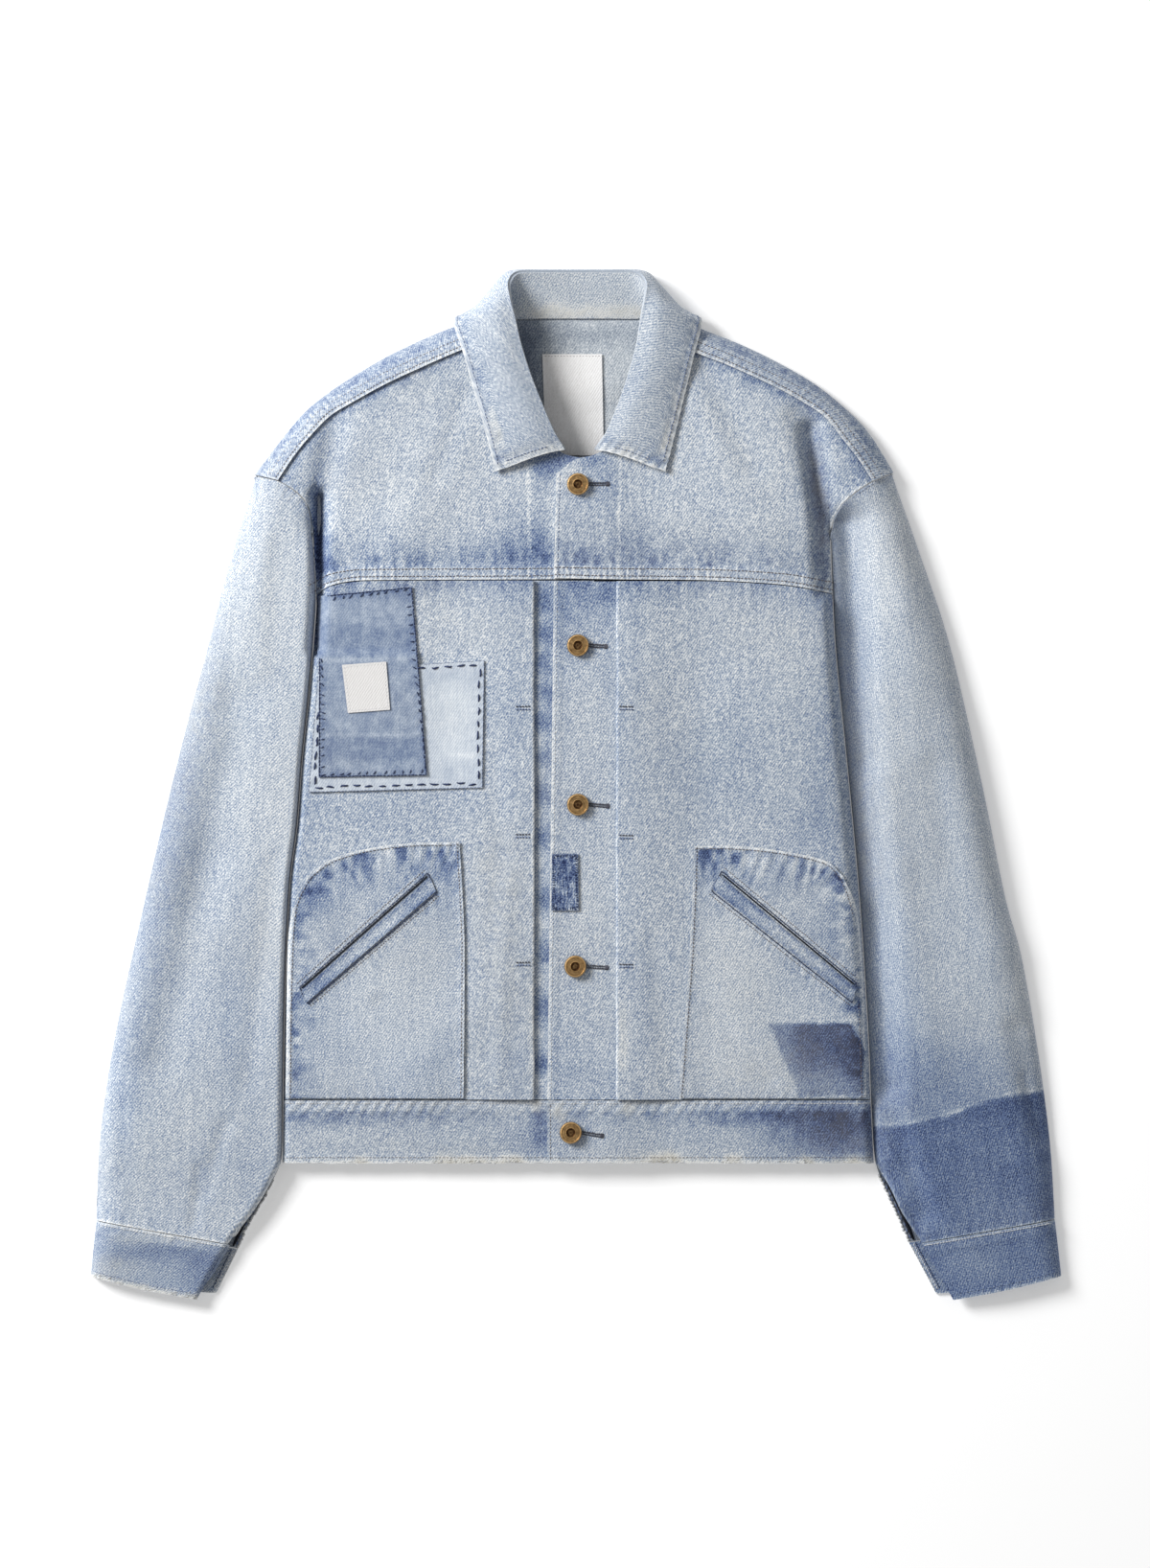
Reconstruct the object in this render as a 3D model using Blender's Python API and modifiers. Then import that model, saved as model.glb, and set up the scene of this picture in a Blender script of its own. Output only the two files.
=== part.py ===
"""A washed denim work jacket with boro patches, laid out flat on its back.

X runs across the jacket, Y from the hem to the collar and Z up from the table.
"Right" and "left" are the wearer's: the right sleeve lies at -X, the left one at +X.
Pattern sizes are in millimetres; every point is turned into metres where a mesh is made.
"""

import math

import bmesh
import bpy
import numpy as np

MM = 0.001

# Cloth thicknesses and the clearance that neighbouring pieces keep.
DENIM = 1.2
DOUBLED = 2.2
SHIRTING = 0.9
LABEL_CLOTH = 0.6
GAP = 0.3
REST = 0.8
SEAM = 0.7
EDGE_CLEARANCE = 0.7
SEAM_LEVEL = DENIM + EDGE_CLEARANCE
BAND_SEAM_LEVEL = DOUBLED + 1.5 * EDGE_CLEARANCE

RIGHT, LEFT = -1, 1

# Outline of the laid garment, from the cuff seam up the sleeve and along the shoulder to the neck.
SLEEVE_EDGE = {
    RIGHT: [(-370, -336), (-368, -282), (-362, -230), (-351, -171), (-334.5, -97), (-317.5, -23),
            (-299, 51), (-283, 110), (-270, 162), (-258, 202), (-246.5, 238)],
    LEFT: [(369.5, -335), (365.5, -273), (356, -202), (343.5, -131), (331.5, -88), (315, -7),
           (296, 78), (283.5, 125), (271, 162), (257, 202), (243.5, 240)],
}
SHOULDER_EDGE = {
    RIGHT: [(-246.5, 238), (-225, 266), (-208, 286), (-191, 300), (-174, 311.5), (-146, 328),
            (-117, 342), (-92, 352), (-66, 361)],
    LEFT: [(243.5, 240), (224, 271), (204, 291), (181, 309), (153, 325), (125, 338.5),
           (93, 351), (68, 361)],
}
# The line where the side of the body and the inner side of the sleeve meet.
VALLEY = {
    RIGHT: [(-203, 191), (-200.5, 147), (-202, 117), (-206, 68), (-211, 21), (-215, -31),
            (-220.5, -75), (-223.5, -134), (-225, -179), (-226, -242), (-226.5, -292)],
    LEFT: [(196.5, 187), (198, 147), (200.5, 103), (206.5, 43), (213, -23), (219, -90),
           (223, -149), (226, -201), (227.5, -242), (230, -292)],
}
VALLEY_TOP = {RIGHT: (-200, 243), LEFT: (193, 243)}
ARMHOLE = {
    RIGHT: [(-246.5, 238), (-229, 234), (-216, 226), (-208, 217.5), (-204.5, 208), (-203, 191)],
    LEFT: [(243.5, 240), (228, 233.5), (215, 225), (204.5, 215), (198.5, 203), (196.5, 187)],
}
SHOULDER_SEAM = {
    RIGHT: [(-229, 234), (-217, 252), (-205, 267), (-190, 283), (-174, 292.5), (-146, 308),
            (-117, 321.5), (-92, 332.5), (-63, 344)],
    LEFT: [(228, 233.5), (218, 249), (204, 267), (190, 284), (167, 298.5), (139, 312.5),
           (113, 324), (92, 332), (66, 344)],
}
NECKLINE = {
    RIGHT: [(-63, 344), (-54, 322), (-46, 302), (-36, 282), (-22, 264), (-8, 254), (14, 250)],
    LEFT: [(66, 344), (59, 322), (52, 302), (43, 282), (29, 264), (15, 254), (-1, 250), (-15, 239)],
}
YOKE_SEAM = {
    RIGHT: [(-200.5, 146), (-191, 152), (-174, 156), (-146, 157), (-35, 157.5), (14, 158)],
    LEFT: [(-17, 158.5), (31, 157.5), (96, 157), (139, 155), (167, 152.5), (198, 147)],
}
# The inner side of each sleeve below the hem: the open slit, then the end of the cuff.
SLIT_TOP_LAYER = {
    RIGHT: [(-227.5, -293), (-240, -316), (-252, -334), (-268, -354)],
    LEFT: [(231, -293), (242, -311), (251.5, -331), (266.5, -353)],
}
SLIT_UNDER_LAYER = {
    RIGHT: [(-227.5, -293), (-239, -316), (-251.5, -338), (-261, -358)],
    LEFT: [(231, -293), (236.5, -308), (245, -326), (257, -353)],
}
CUFF_END = {
    RIGHT: [(-374.5, -379), (-333, -389.5), (-292.5, -397)],
    LEFT: [(374.5, -379), (333, -389.5), (291, -397.5)],
}
CUFF_END_UNDER = {
    RIGHT: [(-374.5, -379), (-330, -389), (-277.5, -392.5)],
    LEFT: [(374.5, -379), (330, -389), (278, -393)],
}

# Levels along the front.
BACK_YOKE_SEAM_Y = 150
WAIST_SEAM_Y = -243
HEM_Y = -292
BACK_NECK_Y = 358
FRONT_EDGE_X = -17
FRONT_EDGE_HEM_X = -22
UNDERLAP_X = 14
PLEAT_X = {RIGHT: -32, LEFT: 31}
PLEAT_DEPTH = 13
PLEAT_FADE = 30
FOLD_RADIUS = 1.5

# How far the upper cloth stands off the table, and how tightly it turns over at its edges.
BODY_HEIGHT = [(-292, 13), (-243, 15), (-120, 18), (60, 20), (400, 20)]
SLEEVE_HEIGHT = [(-400, 12), (-336, 15), (-200, 20), (60, 22), (180, 20), (400, 20)]
EDGE_ROLL = [(-400, 12), (-336, 22), (-200, 30), (150, 30), (260, 24), (400, 24)]
BODY_ROLL = 9
SLEEVE_ROLL = {RIGHT: 12, LEFT: 34}
VALLEY_START_Y, VALLEY_FULL_Y = 245, 186
SLIT_START_Y, SLIT_FULL_Y = -296, -325
SLIT_LIFT = 0.45

# Long soft creases: two ends, half width and height, a trough where the height is negative.
CREASES = [
    ((214, 200), (226, 20), 12, -5),
    ((248, 190), (268, 30), 16, 3),
    ((-262, 60), (-292, -90), 20, -3),
    ((-282, -60), (-318, -210), 18, -2.5),
    ((-330, -30), (-352, -200), 14, 2),
    ((342, -190), (362, -268), 12, -4),
    ((238, -240), (268, -330), 10, -4),
    ((300, 40), (330, -120), 20, 2.5),
    ((172, 282), (196, 205), 11, -4),
    ((-186, 278), (-199, 200), 11, -3.5),
    ((-60, -150), (-120, -225), 26, 1.8),
    ((120, -170), (170, -232), 26, 1.8),
    ((90, 290), (150, 175), 24, 2),
    ((-100, 270), (-140, 175), 24, 2),
]

YOKE_LAP = 4
BUTTON_RADIUS = 8.5
BUTTONS = [(1.5, 231), (1.5, 107), (1.5, -15.5), (-0.5, -140), (-4, -268)]

DENIM_BLUE = (0.42, 0.53, 0.66, 1)
INSIDE_GREY = (0.50, 0.55, 0.60, 1)
INDIGO_PATCH = (0.16, 0.26, 0.46, 1)
PALE_PATCH = (0.52, 0.66, 0.80, 1)
WHITE_LABEL = (0.82, 0.82, 0.80, 1)
BRASS = (0.45, 0.27, 0.10, 1)


def smooth_line(knots, per_span=4):
    """A smooth line through hand-set points (Catmull-Rom), as an array of points."""
    knots = np.asarray(knots, float)
    padded = np.concatenate([[2 * knots[0] - knots[1]], knots, [2 * knots[-1] - knots[-2]]])
    line = []
    for before, start, end, after in zip(padded, padded[1:], padded[2:], padded[3:]):
        for t in np.arange(per_span) / per_span:
            line.append(0.5 * (2 * start + (end - before) * t
                               + (2 * before - 5 * start + 4 * end - after) * t ** 2
                               + (3 * start - before - 3 * end + after) * t ** 3))
    return np.array(line + [knots[-1]])


def along(line, shares):
    """Points at these shares of a line's length."""
    steps = np.linalg.norm(np.diff(line, axis=0), axis=1)
    lengths = np.concatenate([[0], np.cumsum(steps)])
    places = np.asarray(shares) * lengths[-1]
    return np.stack([np.interp(places, lengths, line[:, k]) for k in range(line.shape[1])], -1)


def between_x(line, shares):
    """Points of a line at these shares of its width."""
    x = line[0, 0] + np.asarray(shares) * (line[-1, 0] - line[0, 0])
    rising = line if line[0, 0] < line[-1, 0] else line[::-1]
    return np.stack([x, np.interp(x, rising[:, 0], rising[:, 1])], -1)


def distance_to(points, line):
    """Distance from each point to a line of short straight runs."""
    start, run = line[:-1], np.diff(line, axis=0)
    offset = points[..., None, :] - start
    share = np.clip((offset * run).sum(-1) / (run ** 2).sum(-1), 0, 1)
    return np.linalg.norm(offset - share[..., None] * run, axis=-1).min(-1)


def by_y(table, y):
    """A value read from a short list of (y, value)."""
    return np.interp(y, *zip(*table))


def ramp(value, low, high):
    """A smooth step from 0 at low to 1 at high."""
    t = np.clip((value - low) / (high - low), 0, 1)
    return t * t * (3 - 2 * t)


def roll(distance, radius):
    """The share of its height that cloth has at a distance from the edge where it turns over."""
    t = np.clip(distance / radius, 0, 1)
    return np.sqrt(1 - (1 - t) ** 2)


GARMENT_EDGE = {side: np.vstack([smooth_line(CUFF_END[side][:1] + SLEEVE_EDGE[side])[:-1],
                                 smooth_line(SHOULDER_EDGE[side])]) for side in (RIGHT, LEFT)}
VALLEY_LINE = {side: smooth_line([VALLEY_TOP[side]] + VALLEY[side]) for side in (RIGHT, LEFT)}
SLEEVE_INNER = {side: np.vstack([smooth_line(VALLEY[side])[:-1],
                                 smooth_line(SLIT_TOP_LAYER[side] + CUFF_END[side][-1:])])
                for side in (RIGHT, LEFT)}


def cloth_height(points, on_sleeve=False, floor=SEAM_LEVEL):
    """Height of the upper cloth's outer face above the table."""
    x, y = points[..., 0], points[..., 1]
    full = by_y(SLEEVE_HEIGHT if on_sleeve else BODY_HEIGHT, y)
    share = np.ones_like(x)
    for side in (RIGHT, LEFT):
        share = share * roll(distance_to(points, GARMENT_EDGE[side]), by_y(EDGE_ROLL, y))
        valley = VALLEY_LINE[side]
        valley_x = np.interp(y, valley[::-1, 1], valley[::-1, 0])
        radius = np.where((x - valley_x) * side > 0, SLEEVE_ROLL[side], BODY_ROLL)
        away = distance_to(points, SLEEVE_INNER[side] if on_sleeve else valley)
        turned = roll(away, radius)
        if on_sleeve:
            open_side = 1 - ramp(y, SLIT_FULL_Y, SLIT_START_Y)
            lifted = SLIT_LIFT + (1 - SLIT_LIFT) * ramp(away, -radius, radius)
            turned = turned + (lifted - turned) * open_side
        depth = 1 - ramp(y, VALLEY_FULL_Y, VALLEY_START_Y)
        share = share * (1 - depth * (1 - turned))
    crease = np.zeros_like(x)
    for start, end, width, height in CREASES:
        away = distance_to(points, np.array([start, end], float))
        crease = crease + height * np.exp(-(away / width) ** 2)
    return floor + (full - floor + crease) * share


def filled_grid(left, right, bottom, top, across, up):
    """Plan points of a panel between four edges (a Coons patch), row by row from the bottom."""
    across, up = np.asarray(across, float), np.asarray(up, float)
    a, b = along(left, up)[:, None, :], along(right, up)[:, None, :]
    low, high = between_x(bottom, across)[None], between_x(top, across)[None]
    u, v = across[None, :, None], up[:, None, None]
    corners = ((1 - u) * (1 - v) * a[0] + u * (1 - v) * b[0]
               + (1 - u) * v * a[-1] + u * v * b[-1])
    return (1 - u) * a + u * b + (1 - v) * low + v * high - corners


def spread(width, first_roll, last_roll, middle):
    """Shares across a row: close together where the cloth turns over, even between."""
    turn = np.array([0, 0.05, 0.2, 0.5, 1])
    first = turn * first_roll / width if first_roll else np.array([0])
    last = 1 - turn[::-1] * last_roll / width if last_roll else np.array([1])
    return np.concatenate([first, np.linspace(first[-1], last[0], middle + 2)[1:-1], last])


def outward(points):
    """Unit normals of a grid of points, on the side that faces away from the table."""
    du, dv = np.gradient(points, axis=1), np.gradient(points, axis=0)
    normal = np.cross(du, dv)
    return normal / np.linalg.norm(normal, axis=-1, keepdims=True)


def raised(plan, on_sleeve=False, floor=SEAM_LEVEL, out=0.0, lift=0.0):
    """Plan points put on the upper cloth, moved out along its normal and lifted."""
    height = cloth_height(plan, on_sleeve, floor)
    points = np.concatenate([plan, height[..., None]], -1)
    points = points + outward(points) * np.asarray(out)[..., None]
    points[..., 2] += lift
    return points


def finish_material(name, colour, roughness=0.9, metallic=0.0):
    """A plain finish for one kind of piece."""
    material = bpy.data.materials.get(name) or bpy.data.materials.new(name)
    material.use_nodes = True
    shader = material.node_tree.nodes["Principled BSDF"]
    shader.inputs["Base Color"].default_value = colour
    shader.inputs["Roughness"].default_value = roughness
    shader.inputs["Metallic"].default_value = metallic
    return material


def add_object(name, data, material):
    """Links a named piece to the jacket's collection."""
    piece = bpy.data.objects.new(name, data)
    data.materials.append(material)
    jacket.objects.link(piece)
    return piece


def cloth_wall(name, points, wall, material, inwards=True):
    """A panel of cloth: a sheet through a grid of points of its outer face, thickened inwards."""
    rows, columns = points.shape[:2]
    sheet = bmesh.new()
    bmesh.ops.create_grid(sheet, x_segments=columns - 1, y_segments=rows - 1, size=1)
    sheet.verts.ensure_lookup_table()
    for vertex, point in zip(sheet.verts, points.reshape(-1, 3)):
        vertex.co = point * MM
    mesh = bpy.data.meshes.new(name)
    sheet.to_mesh(mesh)
    sheet.free()
    mesh.shade_smooth()
    piece = add_object(name, mesh, material)
    solidify = piece.modifiers.new("wall", "SOLIDIFY")
    solidify.thickness = wall * MM
    solidify.offset = -1 if inwards else 1
    return piece


def flat_piece(name, outline, wall, material, level=0.0):
    """A flat layer of cloth cut to an outline, lying at a level above the table."""
    curve = bpy.data.curves.new(name, "CURVE")
    curve.dimensions = "2D"
    curve.fill_mode = "BOTH"
    curve.extrude = wall / 2 * MM
    spline = curve.splines.new("POLY")
    spline.points.add(len(outline) - 1)
    for knot, (x, y) in zip(spline.points, outline):
        knot.co = (x * MM, y * MM, 0, 1)
    spline.use_cyclic_u = True
    piece = add_object(name, curve, material)
    piece.location.z = (level + wall / 2) * MM
    return piece


def moved(line, dx=0.0, dy=0.0):
    """A line shifted in plan, as by the clearance of a seam."""
    return np.asarray(line, float) + (dx, dy)


def part_between(line, low, high, axis=0):
    """The run of a line between two places on an axis, from the lower to the higher one."""
    line = line if line[0, axis] < line[-1, axis] else line[::-1]
    inside = line[(line[:, axis] > low + 1) & (line[:, axis] < high - 1)]
    ends = [[np.interp(place, line[:, axis], line[:, k]) for k in (0, 1)] for place in (low, high)]
    return np.vstack([ends[:1], inside, ends[1:]])


def side_name(side):
    """The wearer's side as a word."""
    return "right" if side == RIGHT else "left"


# The fall of the collar lies under the back yoke's neck: where its edge runs, and the lift there.
FALL_EDGE_Y = 318
FALL_EDGE_RISE = 27 / 88 ** 2
UNDER_YOKE_LIFT = 2.4
YOKE_SETTLE = (34, 9)


def yoke_lift(points):
    """How far the back yoke is held off the table by the collar's fall beneath it."""
    edge_y = FALL_EDGE_Y + FALL_EDGE_RISE * points[..., 0] ** 2
    return UNDER_YOKE_LIFT * ramp(points[..., 1], edge_y - YOKE_SETTLE[0], edge_y - YOKE_SETTLE[1])


def build_back():
    """The layers that lie on the table: back panel, back yoke and back waistband."""
    sides = {side: moved(smooth_line(VALLEY[side]), dx=-side * SEAM / 2) for side in (RIGHT, LEFT)}
    denim = finish_material("denim", DENIM_BLUE)
    for name, low, high, wall in (
        ("back_panel", WAIST_SEAM_Y + SEAM, BACK_YOKE_SEAM_Y - SEAM, DENIM),
        ("back_waistband", HEM_Y, WAIST_SEAM_Y, DOUBLED),
    ):
        right, left = (part_between(sides[side], low, high, axis=1) for side in (RIGHT, LEFT))
        flat_piece(name, np.vstack([right, left[::-1]]), wall, denim)
    edges, shoulders = {}, {}
    for side in (RIGHT, LEFT):
        armhole = moved(smooth_line(ARMHOLE[side])[::-1], dx=-side * SEAM / 2)
        low_side = part_between(sides[side], BACK_YOKE_SEAM_Y, VALLEY[side][0][1], axis=1)
        edges[side] = np.vstack([low_side[:-1], armhole])
        shoulders[side] = smooth_line(SHOULDER_EDGE[side])
        shoulders[side][0] = edges[side][-1]
    neck = [(x, BACK_NECK_Y) for x in (-48, -24, 0, 24, 48)]
    top = np.vstack([shoulders[RIGHT], neck, shoulders[LEFT][::-1]])
    low = np.vstack([edges[RIGHT][0], edges[LEFT][0]])
    across = np.linspace(0, 1, 21)
    up = np.array([0, 0.2, 0.35, 0.45, 0.54, 0.62, 0.68, 0.73, 0.78, 0.84, 0.92, 1])
    plan = filled_grid(edges[RIGHT], edges[LEFT], low, top, across, up)
    points = np.concatenate([plan, (DENIM + yoke_lift(plan))[..., None]], -1)
    cloth_wall("back_yoke", points, DENIM, finish_material("denim_inside", INSIDE_GREY))


def build_shoulder(side):
    """The part of the back yoke that folds over the shoulder, lapped on the front yoke."""
    edge, seam = smooth_line(SHOULDER_EDGE[side]), smooth_line(SHOULDER_SEAM[side])
    outer_end, neck_end = (np.vstack([seam[i], edge[i]]) for i in (0, -1))
    up = 1 - np.array([1, 0.6, 0.3, 0.12, 0.03, 0])
    across = np.linspace(0, 1, 15)
    if side == RIGHT:
        plan = filled_grid(outer_end, neck_end, seam, edge, across, up)
    else:
        plan = filled_grid(neck_end, outer_end, seam[::-1], edge[::-1], across, up)
    points = raised(plan, floor=SEAM_LEVEL + yoke_lift(plan), out=REST + DENIM)
    cloth_wall(f"shoulder_yoke_{side_name(side)}", points, DENIM,
               finish_material("denim", DENIM_BLUE))


def overlap_lift(x, side):
    """How far the left front rides over the right one near the buttons."""
    return (GAP + DENIM) * (1 - ramp(x, UNDERLAP_X + 6, 60)) if side == LEFT else 0 * x


def build_front_yoke(side):
    """The chest yoke, from the shoulder seam and armhole to the front edge."""
    seam = moved(smooth_line(YOKE_SEAM[side]), dy=SEAM / 2)
    neck = smooth_line(NECKLINE[side])
    shoulder = moved(smooth_line(SHOULDER_SEAM[side]), dx=side * YOKE_LAP / 2, dy=YOKE_LAP)
    top = np.vstack([shoulder[:-1], neck])
    arm = smooth_line([YOKE_SEAM[side][0 if side == RIGHT else -1]] + ARMHOLE[side][:0:-1])
    arm = moved(arm, dx=-side * SEAM / 2)
    front_low = seam[-1] if side == RIGHT else seam[0]
    front = np.vstack([front_low, neck[-1]])
    top[0], arm[0] = arm[-1], (seam[0] if side == RIGHT else seam[-1])
    up = np.linspace(0, 1, 13)
    if side == RIGHT:
        across = spread(210, BODY_ROLL, 0, 9)
        plan = filled_grid(arm, front, seam, top, across, up)
    else:
        across = spread(215, 0, BODY_ROLL, 9)
        plan = filled_grid(front, arm, seam, top[::-1], across, up)
    points = raised(plan, lift=overlap_lift(plan[..., 0], side))
    cloth_wall(f"front_yoke_{side_name(side)}", points, DENIM,
               finish_material("denim", DENIM_BLUE))


def pleat_profile(side):
    """Columns of a pleat's fold, as (distance behind the fold, lift), and its return below."""
    base = overlap_lift(np.array(UNDERLAP_X), side)
    radius = FOLD_RADIUS
    top = base + REST + 2 * radius
    columns = [(PLEAT_DEPTH + PLEAT_FADE, 0), (PLEAT_DEPTH + 0.6 * PLEAT_FADE, 0.35 * top),
               (PLEAT_DEPTH + 0.2 * PLEAT_FADE, 0.9 * top), (PLEAT_DEPTH, top), (radius, top)]
    for step in range(1, 5):
        turn = math.pi * step / 4
        columns.append((radius * (1 - math.sin(turn)), base + REST + radius * (1 + math.cos(turn))))
    columns.append((PLEAT_DEPTH, base + REST))
    return columns


def build_front_panel(side):
    """The lower front, from the side seam to the pleat that is folded beside the button band."""
    low_y = WAIST_SEAM_Y + SEAM / 2
    seam = moved(smooth_line(YOKE_SEAM[side]), dy=-SEAM / 2)
    valley = moved(smooth_line(VALLEY[side]), dx=-side * SEAM / 2)
    side_top = seam[0] if side == RIGHT else seam[-1]
    edge = part_between(valley, low_y, side_top[1], axis=1)
    edge[-1] = side_top
    flat_end = PLEAT_X[side] + side * (PLEAT_DEPTH + PLEAT_FADE)
    top = part_between(seam, *sorted((side_top[0], flat_end)))
    inner = np.array([(flat_end, low_y), top[-1 if side == RIGHT else 0]])
    low = np.vstack([edge[0], inner[0]])
    columns = spread(abs(flat_end - edge[0, 0]), BODY_ROLL, 0, 6)
    plan = filled_grid(edge, inner, low, top if side == RIGHT else top[::-1], columns,
                       np.linspace(0, 1, 15))
    behind, lift = np.array(pleat_profile(side)).T
    fold_x = np.broadcast_to(PLEAT_X[side] + side * behind, (len(plan), len(behind)))
    fold = np.stack([fold_x, np.broadcast_to(plan[:, -1:, 1], fold_x.shape)], -1)
    plan = np.concatenate([plan[:, :-1], fold], 1)
    lifts = np.concatenate([np.zeros(len(columns) - 1), lift])
    points = np.concatenate([plan, (cloth_height(plan) + lifts)[..., None]], -1)
    cloth_wall(f"front_panel_{side_name(side)}", points if side == RIGHT else points[:, ::-1],
               DENIM, finish_material("denim", DENIM_BLUE))


def strip(x_low, x_high, y_low, y_high, across, rows):
    """Plan grid of an upright strip whose two edges lean from hem to top."""
    up = np.linspace(0, 1, rows)[:, None]
    left = x_low[0] + (x_low[1] - x_low[0]) * up
    right = x_high[0] + (x_high[1] - x_high[0]) * up
    xs = left + (right - left) * np.asarray(across)[None, :]
    return np.stack([xs, np.broadcast_to(y_low + (y_high - y_low) * up, xs.shape)], -1)


def build_bands():
    """The buttonhole band of the left front over the button band of the right front."""
    denim = finish_material("denim", DENIM_BLUE)
    low_y, high_y = WAIST_SEAM_Y + SEAM / 2, YOKE_SEAM[LEFT][0][1] - 1 - SEAM / 2
    under = strip((-46, -46), (UNDERLAP_X, UNDERLAP_X), low_y, high_y - 0.3, np.linspace(0, 1, 4), 14)
    cloth_wall("button_band", raised(under), DENIM, denim)
    over = strip((FRONT_EDGE_HEM_X, FRONT_EDGE_X), (44, 44), low_y, high_y - 1,
                 np.linspace(0, 1, 5), 14)
    cloth_wall("buttonhole_band", raised(over, lift=GAP + DENIM), DENIM, denim)


def build_waistband(side):
    """The front half of the waistband, doubled cloth; the left half laps over the right one."""
    top_y = WAIST_SEAM_Y - SEAM / 2
    valley = moved(smooth_line(VALLEY[side]), dx=-side * SEAM / 2)
    edge_x = [float(np.interp(y, valley[::-1, 1], valley[::-1, 0])) for y in (HEM_Y, top_y)]
    up = np.linspace(0, 1, 4)
    if side == RIGHT:
        across = spread(240, BODY_ROLL, 0, 7)
        plan = strip(edge_x, (UNDERLAP_X, UNDERLAP_X), HEM_Y, top_y, across, len(up))
        lift = np.zeros(plan.shape[:2])
    else:
        across = spread(250, 0, BODY_ROLL, 8)
        plan = strip((FRONT_EDGE_HEM_X, FRONT_EDGE_HEM_X), edge_x, HEM_Y, top_y, across, len(up))
        lift = (REST + DOUBLED) * (1 - ramp(plan[..., 0], UNDERLAP_X + 6, 75))
    cloth_wall(f"waistband_{side_name(side)}", raised(plan, floor=BAND_SEAM_LEVEL, lift=lift),
               DOUBLED, finish_material("denim", DENIM_BLUE))


def sleeve_edges(side, inner):
    """Outer and inner plan edges of a sleeve, both from the cuff seam up to the armhole."""
    outer = smooth_line(SLEEVE_EDGE[side])
    inner = np.vstack([smooth_line(VALLEY[side])[:-1], smooth_line(inner)])[::-1]
    return outer, moved(inner, dx=side * SEAM / 2)


def build_sleeve(side):
    """The upper sleeve: a rounded sheet between the outer fold and the side of the body."""
    outer, inner = sleeve_edges(side, SLIT_TOP_LAYER[side])
    head = moved(smooth_line(ARMHOLE[side]), dx=side * SEAM / 2, dy=-SEAM)
    outer[-1], inner[-1] = head[0], head[-1]
    foot = np.vstack([outer[0], inner[0]])
    up = np.linspace(0, 1, 19)
    if side == RIGHT:
        across = spread(150, 22, SLEEVE_ROLL[side], 3)
        plan = filled_grid(outer, inner, foot, head, across, up)
    else:
        across = spread(150, SLEEVE_ROLL[side] * 0.8, 22, 3)
        plan = filled_grid(inner, outer, foot[::-1], head[::-1], across, up)
    cloth_wall(f"sleeve_{side_name(side)}", raised(plan, on_sleeve=True), DENIM,
               finish_material("denim", DENIM_BLUE))


def build_under_sleeve(side):
    """The under sleeve and the under side of the cuff, flat on the table."""
    outer, inner = sleeve_edges(side, SLIT_UNDER_LAYER[side])
    head = moved(smooth_line(ARMHOLE[side], 3), dx=side * SEAM, dy=-2 * SEAM)
    denim = finish_material("denim", DENIM_BLUE)
    flat_piece(f"under_sleeve_{side_name(side)}",
               np.vstack([outer[:-1], head, inner[:-1][::-1]]), DENIM, denim)
    end = smooth_line(CUFF_END_UNDER[side], 4)
    start = [moved(outer[0], dy=-SEAM), moved(inner[0], dx=-side * SEAM / 2, dy=-SEAM)]
    flat_piece(f"cuff_under_{side_name(side)}", np.vstack([start[0], end, start[1]]), DOUBLED, denim)


def build_cuff(side):
    """The upper side of the cuff, doubled cloth, open along the slit."""
    outer = np.array([CUFF_END[side][0], SLEEVE_EDGE[side][0]], float)
    inner = np.array([CUFF_END[side][-1], SLIT_TOP_LAYER[side][-1]], float)
    outer[1, 1] -= SEAM
    inner[1, 1] -= SEAM
    end = smooth_line(CUFF_END[side])
    seam = np.vstack([outer[1], inner[1]])
    up = np.linspace(0, 1, 4)
    if side == RIGHT:
        plan = filled_grid(outer, inner, end, seam, spread(105, 14, 10, 3), up)
    else:
        plan = filled_grid(inner, outer, end[::-1], seam[::-1], spread(105, 10, 14, 3), up)
    cloth_wall(f"cuff_{side_name(side)}", raised(plan, on_sleeve=True, floor=BAND_SEAM_LEVEL),
               DOUBLED, finish_material("denim", DENIM_BLUE))


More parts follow.
